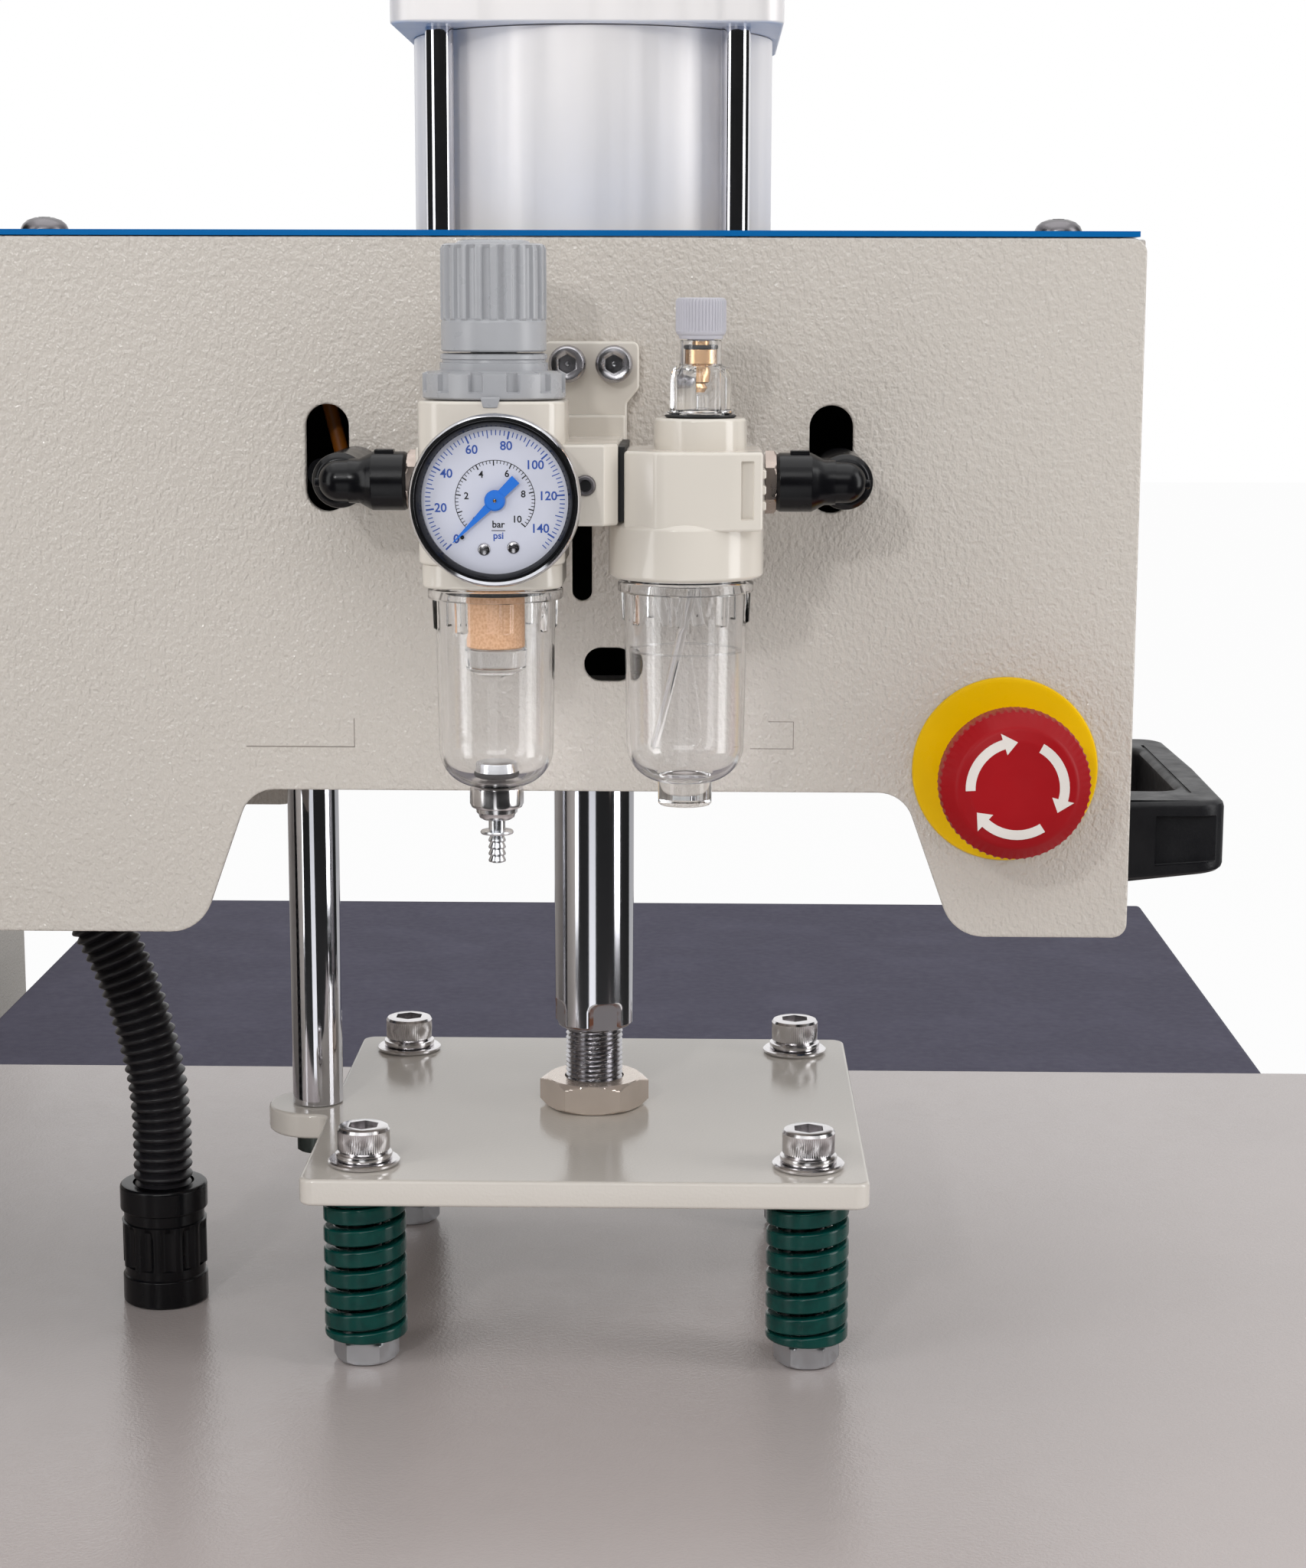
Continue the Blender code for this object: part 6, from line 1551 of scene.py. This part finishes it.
def makeGauge():
    low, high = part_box("gauge_case")
    face = low.y  # the rim's front
    x, z = gaugePlace.x, gaugePlace.z
    radius = gaugeSet["radius"]
    dial, depth = gaugeSet["dial"], high.y - low.y
    gauge = Piece("gauge")
    case = [
        (0, 0.0003), (0.006, 0.0003), (0.006, 0.0012), (0.017, 0.0014), (0.0192, 0.0026), (0.0196, 0.0045),
        (0.0196, 0.0065), (radius - 0.0006, 0.0066),
    ]
    case += [
        (radius, 0.0072), (radius, depth - 0.0022), (radius - 0.0003, depth - 0.0012),
        (radius - 0.0007, depth - 0.0006), (radius - 0.0014, depth - 0.0005),
        (radius - 0.0016, depth - 0.004), (0, depth - 0.0042),
    ]
    gauge.lathe(case, chrome, (x, high.y, z), "near", 96)
    inner = [
        (radius - 0.0014, depth - 0.0006), (radius - 0.0016, depth - 0.0001),
        (radius - 0.0021, depth - 0.0001), (dial, depth - 0.0016), (dial, depth - 0.0041),
        (radius - 0.0014, depth - 0.0041),
    ]
    gauge.lathe(inner, gaugeBlack, (x, high.y, z), "near", 96, loop=True)
    dialFace = face + 0.0038
    gauge.drum(dial + 0.0001, 0.0003, 0, dialWhite, (x, dialFace + 0.0003, z), "near", 96)

    def mark(finish, angle, inside, outside, width):
        way = Vector((math.cos(angle), math.sin(angle)))
        across = Vector((-way.y, way.x)) * width / 2
        corners = [
            way * inside - across, way * outside - across, way * outside + across, way * inside + across
        ]
        gauge.slab([corners], gaugeSet["ink"], finish, (x, dialFace, z), "near")

    start, sweep = math.radians(gaugeSet["start"]), math.radians(gaugeSet["sweep"])
    outerScale, innerScale = gaugeSet["outerScale"], gaugeSet["innerScale"]
    largeText, smallText = gaugeSet["largeText"], gaugeSet["smallText"]

    def write(count, scale, reach, size, ink):
        angle = start - sweep * count / scale
        place = (x + reach * math.cos(angle), dialFace, z + reach * math.sin(angle))
        gauge.text(str(count), size, ink, place)

    for count in range(0, 147, 2):
        angle = start - sweep * count / outerScale
        inside = 0.0154 if count % 10 == 0 else 0.0161
        mark(inkBlue, angle, inside, 0.0174, 0.00042 if count % 20 == 0 else 0.00024)
    for count in range(0, 141, 20):
        write(count, outerScale, 0.0137 if count < 90 else 0.0132, largeText, inkBlue)
    for count in range(0, 51):
        angle = start - sweep * count / 5 / innerScale
        inside = 0.0086 if count % 5 == 0 else 0.0091
        mark(inkBlack, angle, inside, 0.0099, 0.0003 if count % 5 == 0 else 0.00017)
    for count in range(0, 11, 2):
        write(count, innerScale, 0.0072, smallText, inkBlack)
    arc = [
        Vector((math.cos(start - sweep * step / 96), math.sin(start - sweep * step / 96)))
        for step in range(96)
    ]
    gauge.slab(
        [[point * 0.01 for point in arc] + [point * 0.00984 for point in reversed(arc)]],
        gaugeSet["ink"], inkBlack, (x, dialFace, z), "near",
    )
    gauge.text("bar", smallText, inkBlack, (x + 0.0008, dialFace, z - 0.006))
    gauge.text("psi", smallText, inkBlue, (x + 0.0008, dialFace, z - 0.0088))
    gauge.block(
        (x - 0.0009, dialFace - 0.00004, z - 0.0076), (x + 0.0025, dialFace, z - 0.0074), inkBlack, 0.00001, 1
    )
    for dx, dz in ((-0.0028, -0.0122), (0.0045, -0.0117)):
        place = (x + dx, dialFace, z + dz)
        gauge.lathe([
            (0, 0.00042), (0.0012, 0.0004), (0.0015, 0.0002), (0.0016, 0), (0, 0),
        ], steel, place, "near", 24)
        # Painted shade: a raised dark bar on each screw head stands for its slot
        gauge.block(
            (place[0] - 0.001, dialFace - 0.0006, place[2] - 0.00018),
            (place[0] + 0.001, dialFace - 0.0003, place[2] + 0.00018), darkSteel, 0.00005, 1,
        )
    gauge.drum(0.0005, 0.0006, 0, sealRubber, (x - 0.0082, dialFace, z - 0.0092), "near", 12)
    gauge.done("head", ["gauge_case"], "chrome")
    pointer = Piece("pointer_needle")
    along, across = Vector((math.cos(start), math.sin(start))), Vector((-math.sin(start), math.cos(start)))
    tip, tail = 0.0148, -0.0074
    shape = [
        (tip, 0.0001), (0.0014, 0.0011), (-0.0014, 0.0011), (tail, 0.0013), (tail, -0.0013),
        (-0.0014, -0.0011), (0.0014, -0.0011), (tip, -0.0001),
    ]
    outline = [Vector((x, z)) + along * a + across * b for a, b in shape]
    pointer.slab([outline], 0.0004, pointerBlue, (0, dialFace - 0.0009, 0), "near")
    pointer.lathe([
        (0, 0.0005), (0.0022, 0.0005), (0.0026, 0.0001), (0.0026, -0.0003), (0, -0.0003),
    ], pointerBlue, (x, dialFace - 0.0009, z), "near", 40)
    pointer.lathe([
        (0, 0.0009), (0.0004, 0.0008), (0.0005, 0.0004), (0, 0.0004),
    ], brass, (x, dialFace - 0.0009, z), "near", 16)
    pointer.done("pointer", ["gauge_pointer"], "pointer_blue")


makeGauge()
print("gauge made")

# Clear bowls, filter and drain
bowlSet = {"wall": 0.001, "ribs": 8, "ribDepth": 0.0008, "ribHalf": 0.13, "draft": 0.0008, "turn": 0.0105}


def bowlProfile(radius, height, nipple=False):  # down the inside, and up the outside to the lip
    wall, draft, turn = bowlSet["wall"], bowlSet["draft"], bowlSet["turn"]
    wide, deep = turn * 1.02, turn * 0.94  # the curved corner is part of an ellipse

    def foot(reach, inset):  # the corner from the middle outwards, this far inside the outer skin
        bends = [math.radians(12 + 78 * step / 14) for step in range(15)]
        return [
            (reach - wide + (wide - inset) * math.sin(bend), deep - (deep - inset) * math.cos(bend))
            for bend in bends
        ]

    inner = [(radius - wall, height), *reversed(foot(radius - draft, wall)), (0, wall)]
    outer = [(0, -0.006), (0.0066, -0.006), (0.007, -0.0056), (0.0071, 0.0004)] if nipple else [
        (0, 0), (0.0058, 0)
    ]
    outer += [
        *foot(radius - draft, 0)[1 if nipple else 0:], (radius - 0.0003, height - 0.0125),
        (radius - 0.0003, height - 0.0115),
    ]
    outer += [(radius - 0.0003, height - 0.011), (radius, height - 0.004), (radius, height - 0.0036)]
    outer += [
        (0.0174, height - 0.0033), (0.0176, height - 0.0029), (0.0176, height - 0.001),
        (0.0173, height - 0.0006), (0.0168, height - 0.0004), (0.0168, height),
    ]
    return inner + outer


def makeBowls():
    y = serviceDepth
    low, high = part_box("filter_bowl")
    height = high.z - low.z
    turn = math.radians(14)

    def ribs(angle, radius, level):
        if radius < 0.0152 or not height - 0.0114 < level < height - 0.0035:
            return radius
        off = abs(((angle + fullTurn / 4 - turn) * bowlSet["ribs"] / fullTurn + 0.5) % 1 - 0.5)
        return radius + bowlSet["ribDepth"] * max(0, 1 - (off / bowlSet["ribHalf"]) ** 2) ** 0.6

    bowl = Piece("filter_bowl_clear")
    bowl.lathe(bowlProfile(0.0158, height), clearPlastic, (regX, y, low.z), steps=192, cut=ribs, loop=True)
    bowl.done("head", ["filter_bowl"], "clear_plastic")
    core = Piece("filter_core")
    top = high.z - 0.0005
    core.drum(0.0076, 0, -0.0158, filterAmber, (regX, y, top), steps=64, edges=(0, 0.0006))
    core.turned([
        (0, -0.016), (0.0082, -0.016, 0.0006), (0.0078, -0.0215, 0.001), (0.003, -0.0235, 0.001),
        (0, -0.0235),
    ], clearPlastic, (regX, y, top), steps=64)
    core.lathe([
        (0.0136, -0.0005), (0.014, -0.0002), (0.0141, -0.001), (0.0136, -0.0016),
    ], sealRubber, (regX, y, top), loop=True)
    seat = low.z + 0.0021
    core.turned([
        (0, 0.0046), (0.004, 0.0046, 0.0004), (0.0054, 0.0042, 0.0004), (0.0057, 0.0017), (0, 0.0017),
    ], zinc, (regX, y, seat), steps=40)
    core.drum(0.006, 0.0017, 0.0002, sealRubber, (regX, y, seat), steps=40, edges=(0.0005, 0.0005))
    core.done("head")
    drain = Piece("drain_nut")
    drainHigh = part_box("drain_body")[1].z
    profile = [
        (0.0026, 0.0), (0.0069, 0.0), (0.0071, -0.0004), (0.0071, -0.0042), (0.0066, -0.0052),
        (0.0055, -0.0056), (0.0054, -0.0066), (0.0048, -0.0072), (0.0046, -0.008), (0.0036, -0.0086),
        (0.0026, -0.0086),
    ]
    drain.lathe(
        profile, boltZinc, (regX, y, drainHigh), steps=72, cut=ribbed(12, 0.0003, -0.004, -0.0003), loop=True
    )
    drain.done("head", ["drain_body"], "nickel")
    stemLow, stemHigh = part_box("drain_stem")
    stem = Piece("drain_tail")
    flange = drainHigh - 0.0086 - 0.003
    profile = [
        (0, stemHigh.z), (0.0022, stemHigh.z), (0.0022, flange + 0.0002), (0.0042, flange),
        (0.0044, flange - 0.0004), (0.0042, flange - 0.0008), (0.0021, flange - 0.001),
    ]
    barb = flange - 0.0012
    pitch = (barb - stemLow.z - 0.0002) / 4
    for number in range(4):
        profile += [
            (0.0017, barb - pitch * number), (0.0023, barb - pitch * (number + 0.75)),
            (0.0022, barb - pitch * (number + 0.95)),
        ]
    profile += [(0.0014, stemLow.z), (0, stemLow.z)]
    stem.lathe(profile, zinc, (regX, y, 0), steps=40)
    stem.done("drain_pin", ["drain_stem"], "nickel", 25)
    low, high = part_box("lub_bowl")
    height = high.z - low.z - 0.0064
    turn = math.radians(-9)
    lower = Piece("oil_bowl_clear")
    lower.lathe(
        bowlProfile(0.0162, height, True), clearPlastic, (lubX, y, low.z + 0.0064), steps=192, cut=ribs,
        loop=True,
    )
    lower.done("head", ["lub_bowl"], "clear_plastic")
    inside = Piece("drip_tube")
    top = high.z
    route = [
        (lubX + 0.0015, y - 0.003, top - 0.003), (lubX + 0.001, y - 0.003, top - 0.006),
        (lubX - 0.0078, y - 0.003, top - 0.044),
    ]
    inside.tube(route, 0.0012, clearPlastic, 16)
    # Painted highlight: a thin pale thread inside the clear drip tube
    inside.tube([(a - 0.0004, b - 0.0002, c - 0.0005) for a, b, c in route], 0.0003, paintedHighlight, 8)
    inside.lathe([
        (0.0132, 0), (0.0147, 0), (0.0147, -0.0003), (0.0132, -0.0003),
    ], clearPlastic, (lubX, y, top - 0.0186), steps=64, loop=True)
    inside.lathe([
        (0.0136, -0.0003), (0.0142, 0), (0.0144, -0.001), (0.0136, -0.0016),
    ], sealRubber, (lubX, y, top), loop=True)
    for start, end in ((0.0009, 0.0034), (-0.0085, -0.0045)):
        inside.tube(
            [(lubX + start, y + 0.004, top), (lubX + end, y + 0.004, top - 0.0125)], 0.0016, clearPlastic, 20
        )
    inside.done("head")


# Lubricator
def makeLubricator():
    y = serviceDepth
    low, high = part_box("lub_body")
    body = Piece("lubricator_body")
    blockLow, blockHigh = portHeight - 0.0115, portHeight + 0.0085
    middle, left, right = (blockLow + blockHigh) / 2, lubX - 0.0157, lubX + 0.0195
    front = y - 0.0188
    outline = [
        (left, front + 0.0062, 0.001), (left + 0.0088, front, 0.006), (right - 0.0075, front, 0.012),
        (right, front + 0.0014, 0.001),
    ]
    outline += [(right, y + 0.0182, 0.003), (left, y + 0.0182, 0.003)]
    body.slab([eased(outline, steps=8)], blockHigh - blockLow, enamel, (0, 0, middle), edge=0.0009)
    window = Piece("window_cut")
    window.block(
        (right - 0.0056, y - 0.0225, portHeight - 0.0086),
        (right - 0.0022, front + 0.0019, portHeight + 0.0063), enamel, 0.0003, 1,
    )
    body.carved([window])
    skirt = eased([
        (0, blockLow + 0.002), (0.0185, blockLow + 0.002), (0.02, blockLow + 0.0004, 0.0012),
        (0.02, low.z + 0.0008, 0.0008), (0.0188, low.z, 0.0006), (0, low.z),
    ], False)
    body.lathe(skirt, enamel, (lubX, y, 0), steps=96)
    body.turned([
        (0, high.z), (0.0118, high.z, 0.0009), (0.012, blockHigh - 0.001), (0, blockHigh - 0.001),
    ], enamel, (domeX, y, 0), steps=80)
    for rise in (-0.0062, -0.0022, 0.0018):
        body.block(
            (right - 0.0008, y - 0.0165, portHeight + rise),
            (right + 0.0008, y - 0.0075, portHeight + rise + 0.0022), enamel, 0.0003, 1,
        )
    body.done("head", ["lub_body"], "cream_body", 32)
    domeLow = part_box("lub_dome")[0]
    base = domeLow.z
    dome = Piece("sight_dome")

    def lobes(angle, radius, height):
        if radius < 0.0068 or height < 0.0016:
            return radius
        wave = abs(math.cos(3 * angle + 0.5)) ** 0.6
        return min(radius, 0.0064 + 0.0015 * wave)

    profile = [(0.0056, 0.0), (0.0056, 0.0098), (0.005, 0.0114), (0.0046, 0.0122), (0.0046, 0.0192)]
    outer = [
        (0.0052, 0.0194), (0.0054, 0.0188), (0.0054, 0.0136), (0.0056, 0.013), (0.0066, 0.0128),
        (0.0073, 0.0122), (0.0077, 0.0112),
    ]
    outer += [
        (0.0079, 0.0098), (0.0079, 0.006), (0.0079, 0.0026), (0.008, 0.0016), (0.0088, 0.0011), (0.009, 0.0)
    ]
    dome.lathe(profile + outer, clearPlastic, (domeX, y, base), steps=144, cut=lobes, loop=True)
    dome.done("head", ["lub_dome"], "clear_plastic", 30)
    needle = Piece("needle_seat")
    spindle = [
        (0, 0.0192), (0.0022, 0.0192), (0.0022, 0.0172), (0.0041, 0.0171, 0.0002), (0.0041, 0.0132, 0.0004),
        (0.0025, 0.0126), (0.0025, 0.0088, 0.0003),
    ]
    spindle += [(0.0019, 0.0084), (0.0022, 0.0074, 0.0003), (0.0018, 0.0062), (0, 0.0062)]
    needle.turned(spindle, brass, (domeX, y, base), steps=48)
    needle.lathe([
        (0.0022, 0.0181), (0.0043, 0.0181), (0.0045, 0.0176), (0.0043, 0.0171), (0.0022, 0.0171),
    ], sealRubber, (domeX, y, base), steps=40, loop=True)
    needle.lathe([
        (0.0086, 0.0006), (0.0092, 0.0003), (0.0092, 0.0), (0.0086, -0.0003),
    ], sealRubber, (domeX, y, base), loop=True)
    needle.turned([
        (0, 0.0058), (0.0024, 0.0056, 0.0003), (0.0024, 0.0022), (0.0048, 0.0018), (0.0048, 0.0002),
        (0, 0.0002),
    ], clearPlastic, (domeX, y, base), steps=40)
    needle.done("head")
    knobLow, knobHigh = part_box("lub_knob")
    tall = knobHigh.z - knobLow.z
    knob = Piece("drip_knob_ribbed")
    profile = [
        (0, 0.0023), (0.0034, 0.0023), (0.0034, tall - 0.0105), (0.0055, tall - 0.0104),
        (0.0057, tall - 0.0096), (0.0062, tall - 0.0092), (0.0064, tall - 0.0086), (0.0065, tall - 0.0083),
        (0.0065, tall - 0.005), (0.0065, tall - 0.0009), (0.0062, tall - 0.0003), (0.0056, tall), (0, tall),
    ]
    knob.lathe(
        profile, knobPale, (domeX, y, knobLow.z), steps=288,
        cut=ribbed(48, 0.00028, tall - 0.0084, tall - 0.0008, 0.5),
    )
    knob.done("drip_knob", ["lub_knob"], "grey_plastic", 25)


# Push-in elbows
def makeElbows():
    y = serviceDepth
    middle = 0.105  # halfway between the two elbows
    for side, node in ((-1, "left"), (1, "right")):
        start, sleeveStart, sleeveEnd, ball = (
            middle + side * reach
            for reach in (0.0447, 0.0476, 0.0588, 0.0655)
        )
        elbow = Piece(f"push_in_{node}")
        corner = 0.007 / math.cos(math.pi / 6)
        length = 0.0031
        hexProfile = [
            (0, length), (0.0066, length), (0.0074, length - 0.0003), (corner, length - 0.0008), (corner, 0),
            (0, 0),
        ]
        elbow.lathe(hexProfile, darkNickel, (start, y, portHeight), node, 48, hexed(0.014))
        run = abs(sleeveEnd - sleeveStart)
        sleeve = eased([
            (0, 0), (0.0071, 0.0), (0.0076, 0.0008, 0.0004), (0.0076, run - 0.0022, 0.0006),
            (0.007, run - 0.001, 0.0006), (0.0058, run + 0.0012), (0.0058, run + 0.004), (0, run + 0.004),
        ], False)
        elbow.lathe(sleeve, fittingBlack, (sleeveStart, y, portHeight), node, 48)
        arm = [(0, -0.0085), (0.0054, -0.0085)] + [
            (0.0054 * math.cos(math.pi * step / 20), 0.0054 * math.sin(math.pi * step / 20))
            for step in range(11)
        ]
        elbow.lathe(arm, fittingBlack, (ball, y, portHeight), node, 48)
        collar = eased([
            (0, 0.0005), (0.0058, 0.0005, 0.0016), (0.0072, -0.0012, 0.0012), (0.0072, -0.0364), (0, -0.0364),
        ], False)
        elbow.lathe(collar, fittingBlack, (ball, y, portHeight), "near", 48)
        elbow.turned([
            (0, 0.0012), (0.0012, 0.0012, 0.0003), (0.0014, 0), (0, 0),
        ], fittingBlack, (ball + side * 0.0051, y, portHeight - 0.0004), node, 24)
        elbow.block(
            (sleeveStart + (0.0035 if side == 1 else -0.0085), y - 0.002, portHeight + 0.0072),
            (sleeveStart + (0.0085 if side == 1 else -0.0035), y + 0.002, portHeight + 0.0082),
            fittingBlack, 0.0003, 2,
        )
        slotX = axis.x + side * plateSet["slotSpread"]
        route = ((slotX + side * 0.001, -0.449), (slotX, -0.43), (slotX, -0.4155))
        elbow.tube([Vector((x, depth, portHeight)) for x, depth in route], 0.004, fittingBlack, 24)
        elbow.done("head", [f"elbow_{node}"], "black_plastic")


makeBowls()
makeLubricator()
makeElbows()
print("lubricator and elbows made")

# Camera, lamps, floor and backdrop
cameraSet = {
    "place": (0.1338, -1.2164, 0.6), "pitch": 9.54, "yaw": 1.0, "roll": 0.15, "focal": 3700, "wide": 1706
}


def makeCamera():
    yaw, pitch, roll = (math.radians(cameraSet[name]) for name in ("yaw", "pitch", "roll"))
    ahead = Vector((-math.sin(yaw) * math.cos(pitch), math.cos(yaw) * math.cos(pitch), -math.sin(pitch)))
    right = Vector((math.cos(yaw), math.sin(yaw), 0))
    above = right.cross(ahead)
    right = right * math.cos(roll) + above * math.sin(roll)
    above = right.cross(ahead)
    data = bpy.data.cameras.new("camera")
    data.sensor_fit = "HORIZONTAL"
    data.sensor_width = 36
    data.lens = 36 * cameraSet["focal"] / cameraSet["wide"]
    data.shift_y = 4 / cameraSet["wide"]
    data.clip_start = 0.01
    camera = bpy.data.objects.new("camera", data)
    bpy.context.scene.collection.objects.link(camera)
    turn = Matrix((right, above, -ahead)).transposed().to_4x4()
    camera.matrix_world = Matrix.Translation(cameraSet["place"]) @ turn
    bpy.context.scene.camera = camera


lampSet = {
    "left": ((-1.08, -1.25, 0.8), (0.5, 1.55), 5.8),
    "right": ((1.4, -0.75, 0.8), (0.5, 1.5), 9),
    "front": ((0.25, -2.3, 1.75), (1.6, 0.6), 7),
    "key": ((-0.35, -1.9, 1.15), (0.09, 0.09), 3.5),
    "top": ((0.1, -0.3, 2.4), (2.2, 2.2), 13),
}


def makeLamps():
    target = Vector((0.1, -0.4, 0.45))
    for name, (place, size, power) in lampSet.items():
        data = bpy.data.lights.new(f"lamp_{name}", "AREA")
        data.shape = "RECTANGLE"
        data.size, data.size_y = size
        data.energy = power
        lamp = bpy.data.objects.new(f"lamp_{name}", data)
        lamp.location = place
        lamp.rotation_euler = (target - Vector(place)).to_track_quat("-Z", "Y").to_euler()
        lamp.visible_camera = False
        bpy.context.scene.collection.objects.link(lamp)


stageSet = {
    "floor": (0.86, 0.86, 0.86), "ambient": 0.42, "roomGrey": 0.035, "whiteShare": 0.96, "roomTurn": 125,
    "cardLevel": 0.5, "cardSteps": (18, 19, 20),
}


def makeStage():
    world = bpy.data.worlds.new("studio")
    bpy.context.scene.world = world
    world.use_nodes = True
    sky = Nodes(world.node_tree)
    background = sky.tree.nodes["Background"].inputs
    path = sky.add("ShaderNodeLightPath").socket.node.outputs
    shown = Wire(sky, path["Is Camera Ray"])
    for name in ("Is Glossy Ray", "Is Transmission Ray"):
        shown = shown.maths("MAXIMUM", shown, Wire(sky, path[name]))
    inputs = {"To Min": stageSet["ambient"], "To Max": 1.0, "Value": shown}
    sky.feed(background["Color"], (1, 1, 1))
    sky.feed(background["Strength"], sky.add("ShaderNodeMapRange", None, inputs))

    floorPaint = Finish("studio_floor", {"Base Color": stageSet["floor"], "Roughness": 0.9})
    seen = floorPaint.add("ShaderNodeLightPath", output="Is Camera Ray")
    glow = floorPaint.add("ShaderNodeEmission", None, {"Color": (1, 1, 1), "Strength": 1.0})
    floorPaint.veil(seen * stageSet["whiteShare"], glow)
    floor = Piece("studio_floor")
    floor.skin(
        [[
            (-9, -9, 0), (9, -9, 0), (9, 9, 0), (-9, 9, 0),
        ], [(-9, -9, -0.02), (9, -9, -0.02), (9, 9, -0.02), (-9, 9, -0.02)]],
        floorPaint,
    )
    floor.shape.verts.ensure_lookup_table()
    floor.shape.faces.new([floor.shape.verts[index] for index in range(4)])
    floor.done(None)

    roomPaint = Finish(
        "dark_room", {"Base Color": (stageSet["roomGrey"],) * 3, "Roughness": 1.0, "Specular IOR Level": 0.0}
    )
    cardPaint = Finish(
        "pale_card",
        {
            "Base Color": (0.8, 0.8, 0.8), "Emission Color": (0.95, 0.97, 1.0),
            "Emission Strength": stageSet["cardLevel"],
        },
    )
    # the unlit half of the studio, with a pale strip in front, which only shiny surfaces see
    room = Piece("dark_room")
    rows = []
    for radius, height in ((0.5, 0.002), (3.4, 0.002), (3.4, 3.2)):
        row = []
        for step in range(41):
            angle = math.radians(-90 + stageSet["roomTurn"] * (step / 20 - 1))
            row.append(
                room.shape.verts.new(
                    (0.1 + radius * math.cos(angle), -0.34 + radius * math.sin(angle), height)
                )
            )
        rows.append(row)
    for inner, outer in zip(rows, rows[1:]):
        for step in range(40):
            face = room.shape.faces.new((inner[step], outer[step], outer[step + 1], inner[step + 1]))
            isCard = inner is rows[0] and step in stageSet["cardSteps"]
            face.material_index = room.indexOf(cardPaint if isCard else roomPaint)
    made = room.done(None)
    made.visible_camera = made.visible_diffuse = made.visible_transmission = made.visible_shadow = False


makeCamera()
makeLamps()
makeStage()
bpy.context.scene.view_settings.view_transform = "Standard"
print("studio made")
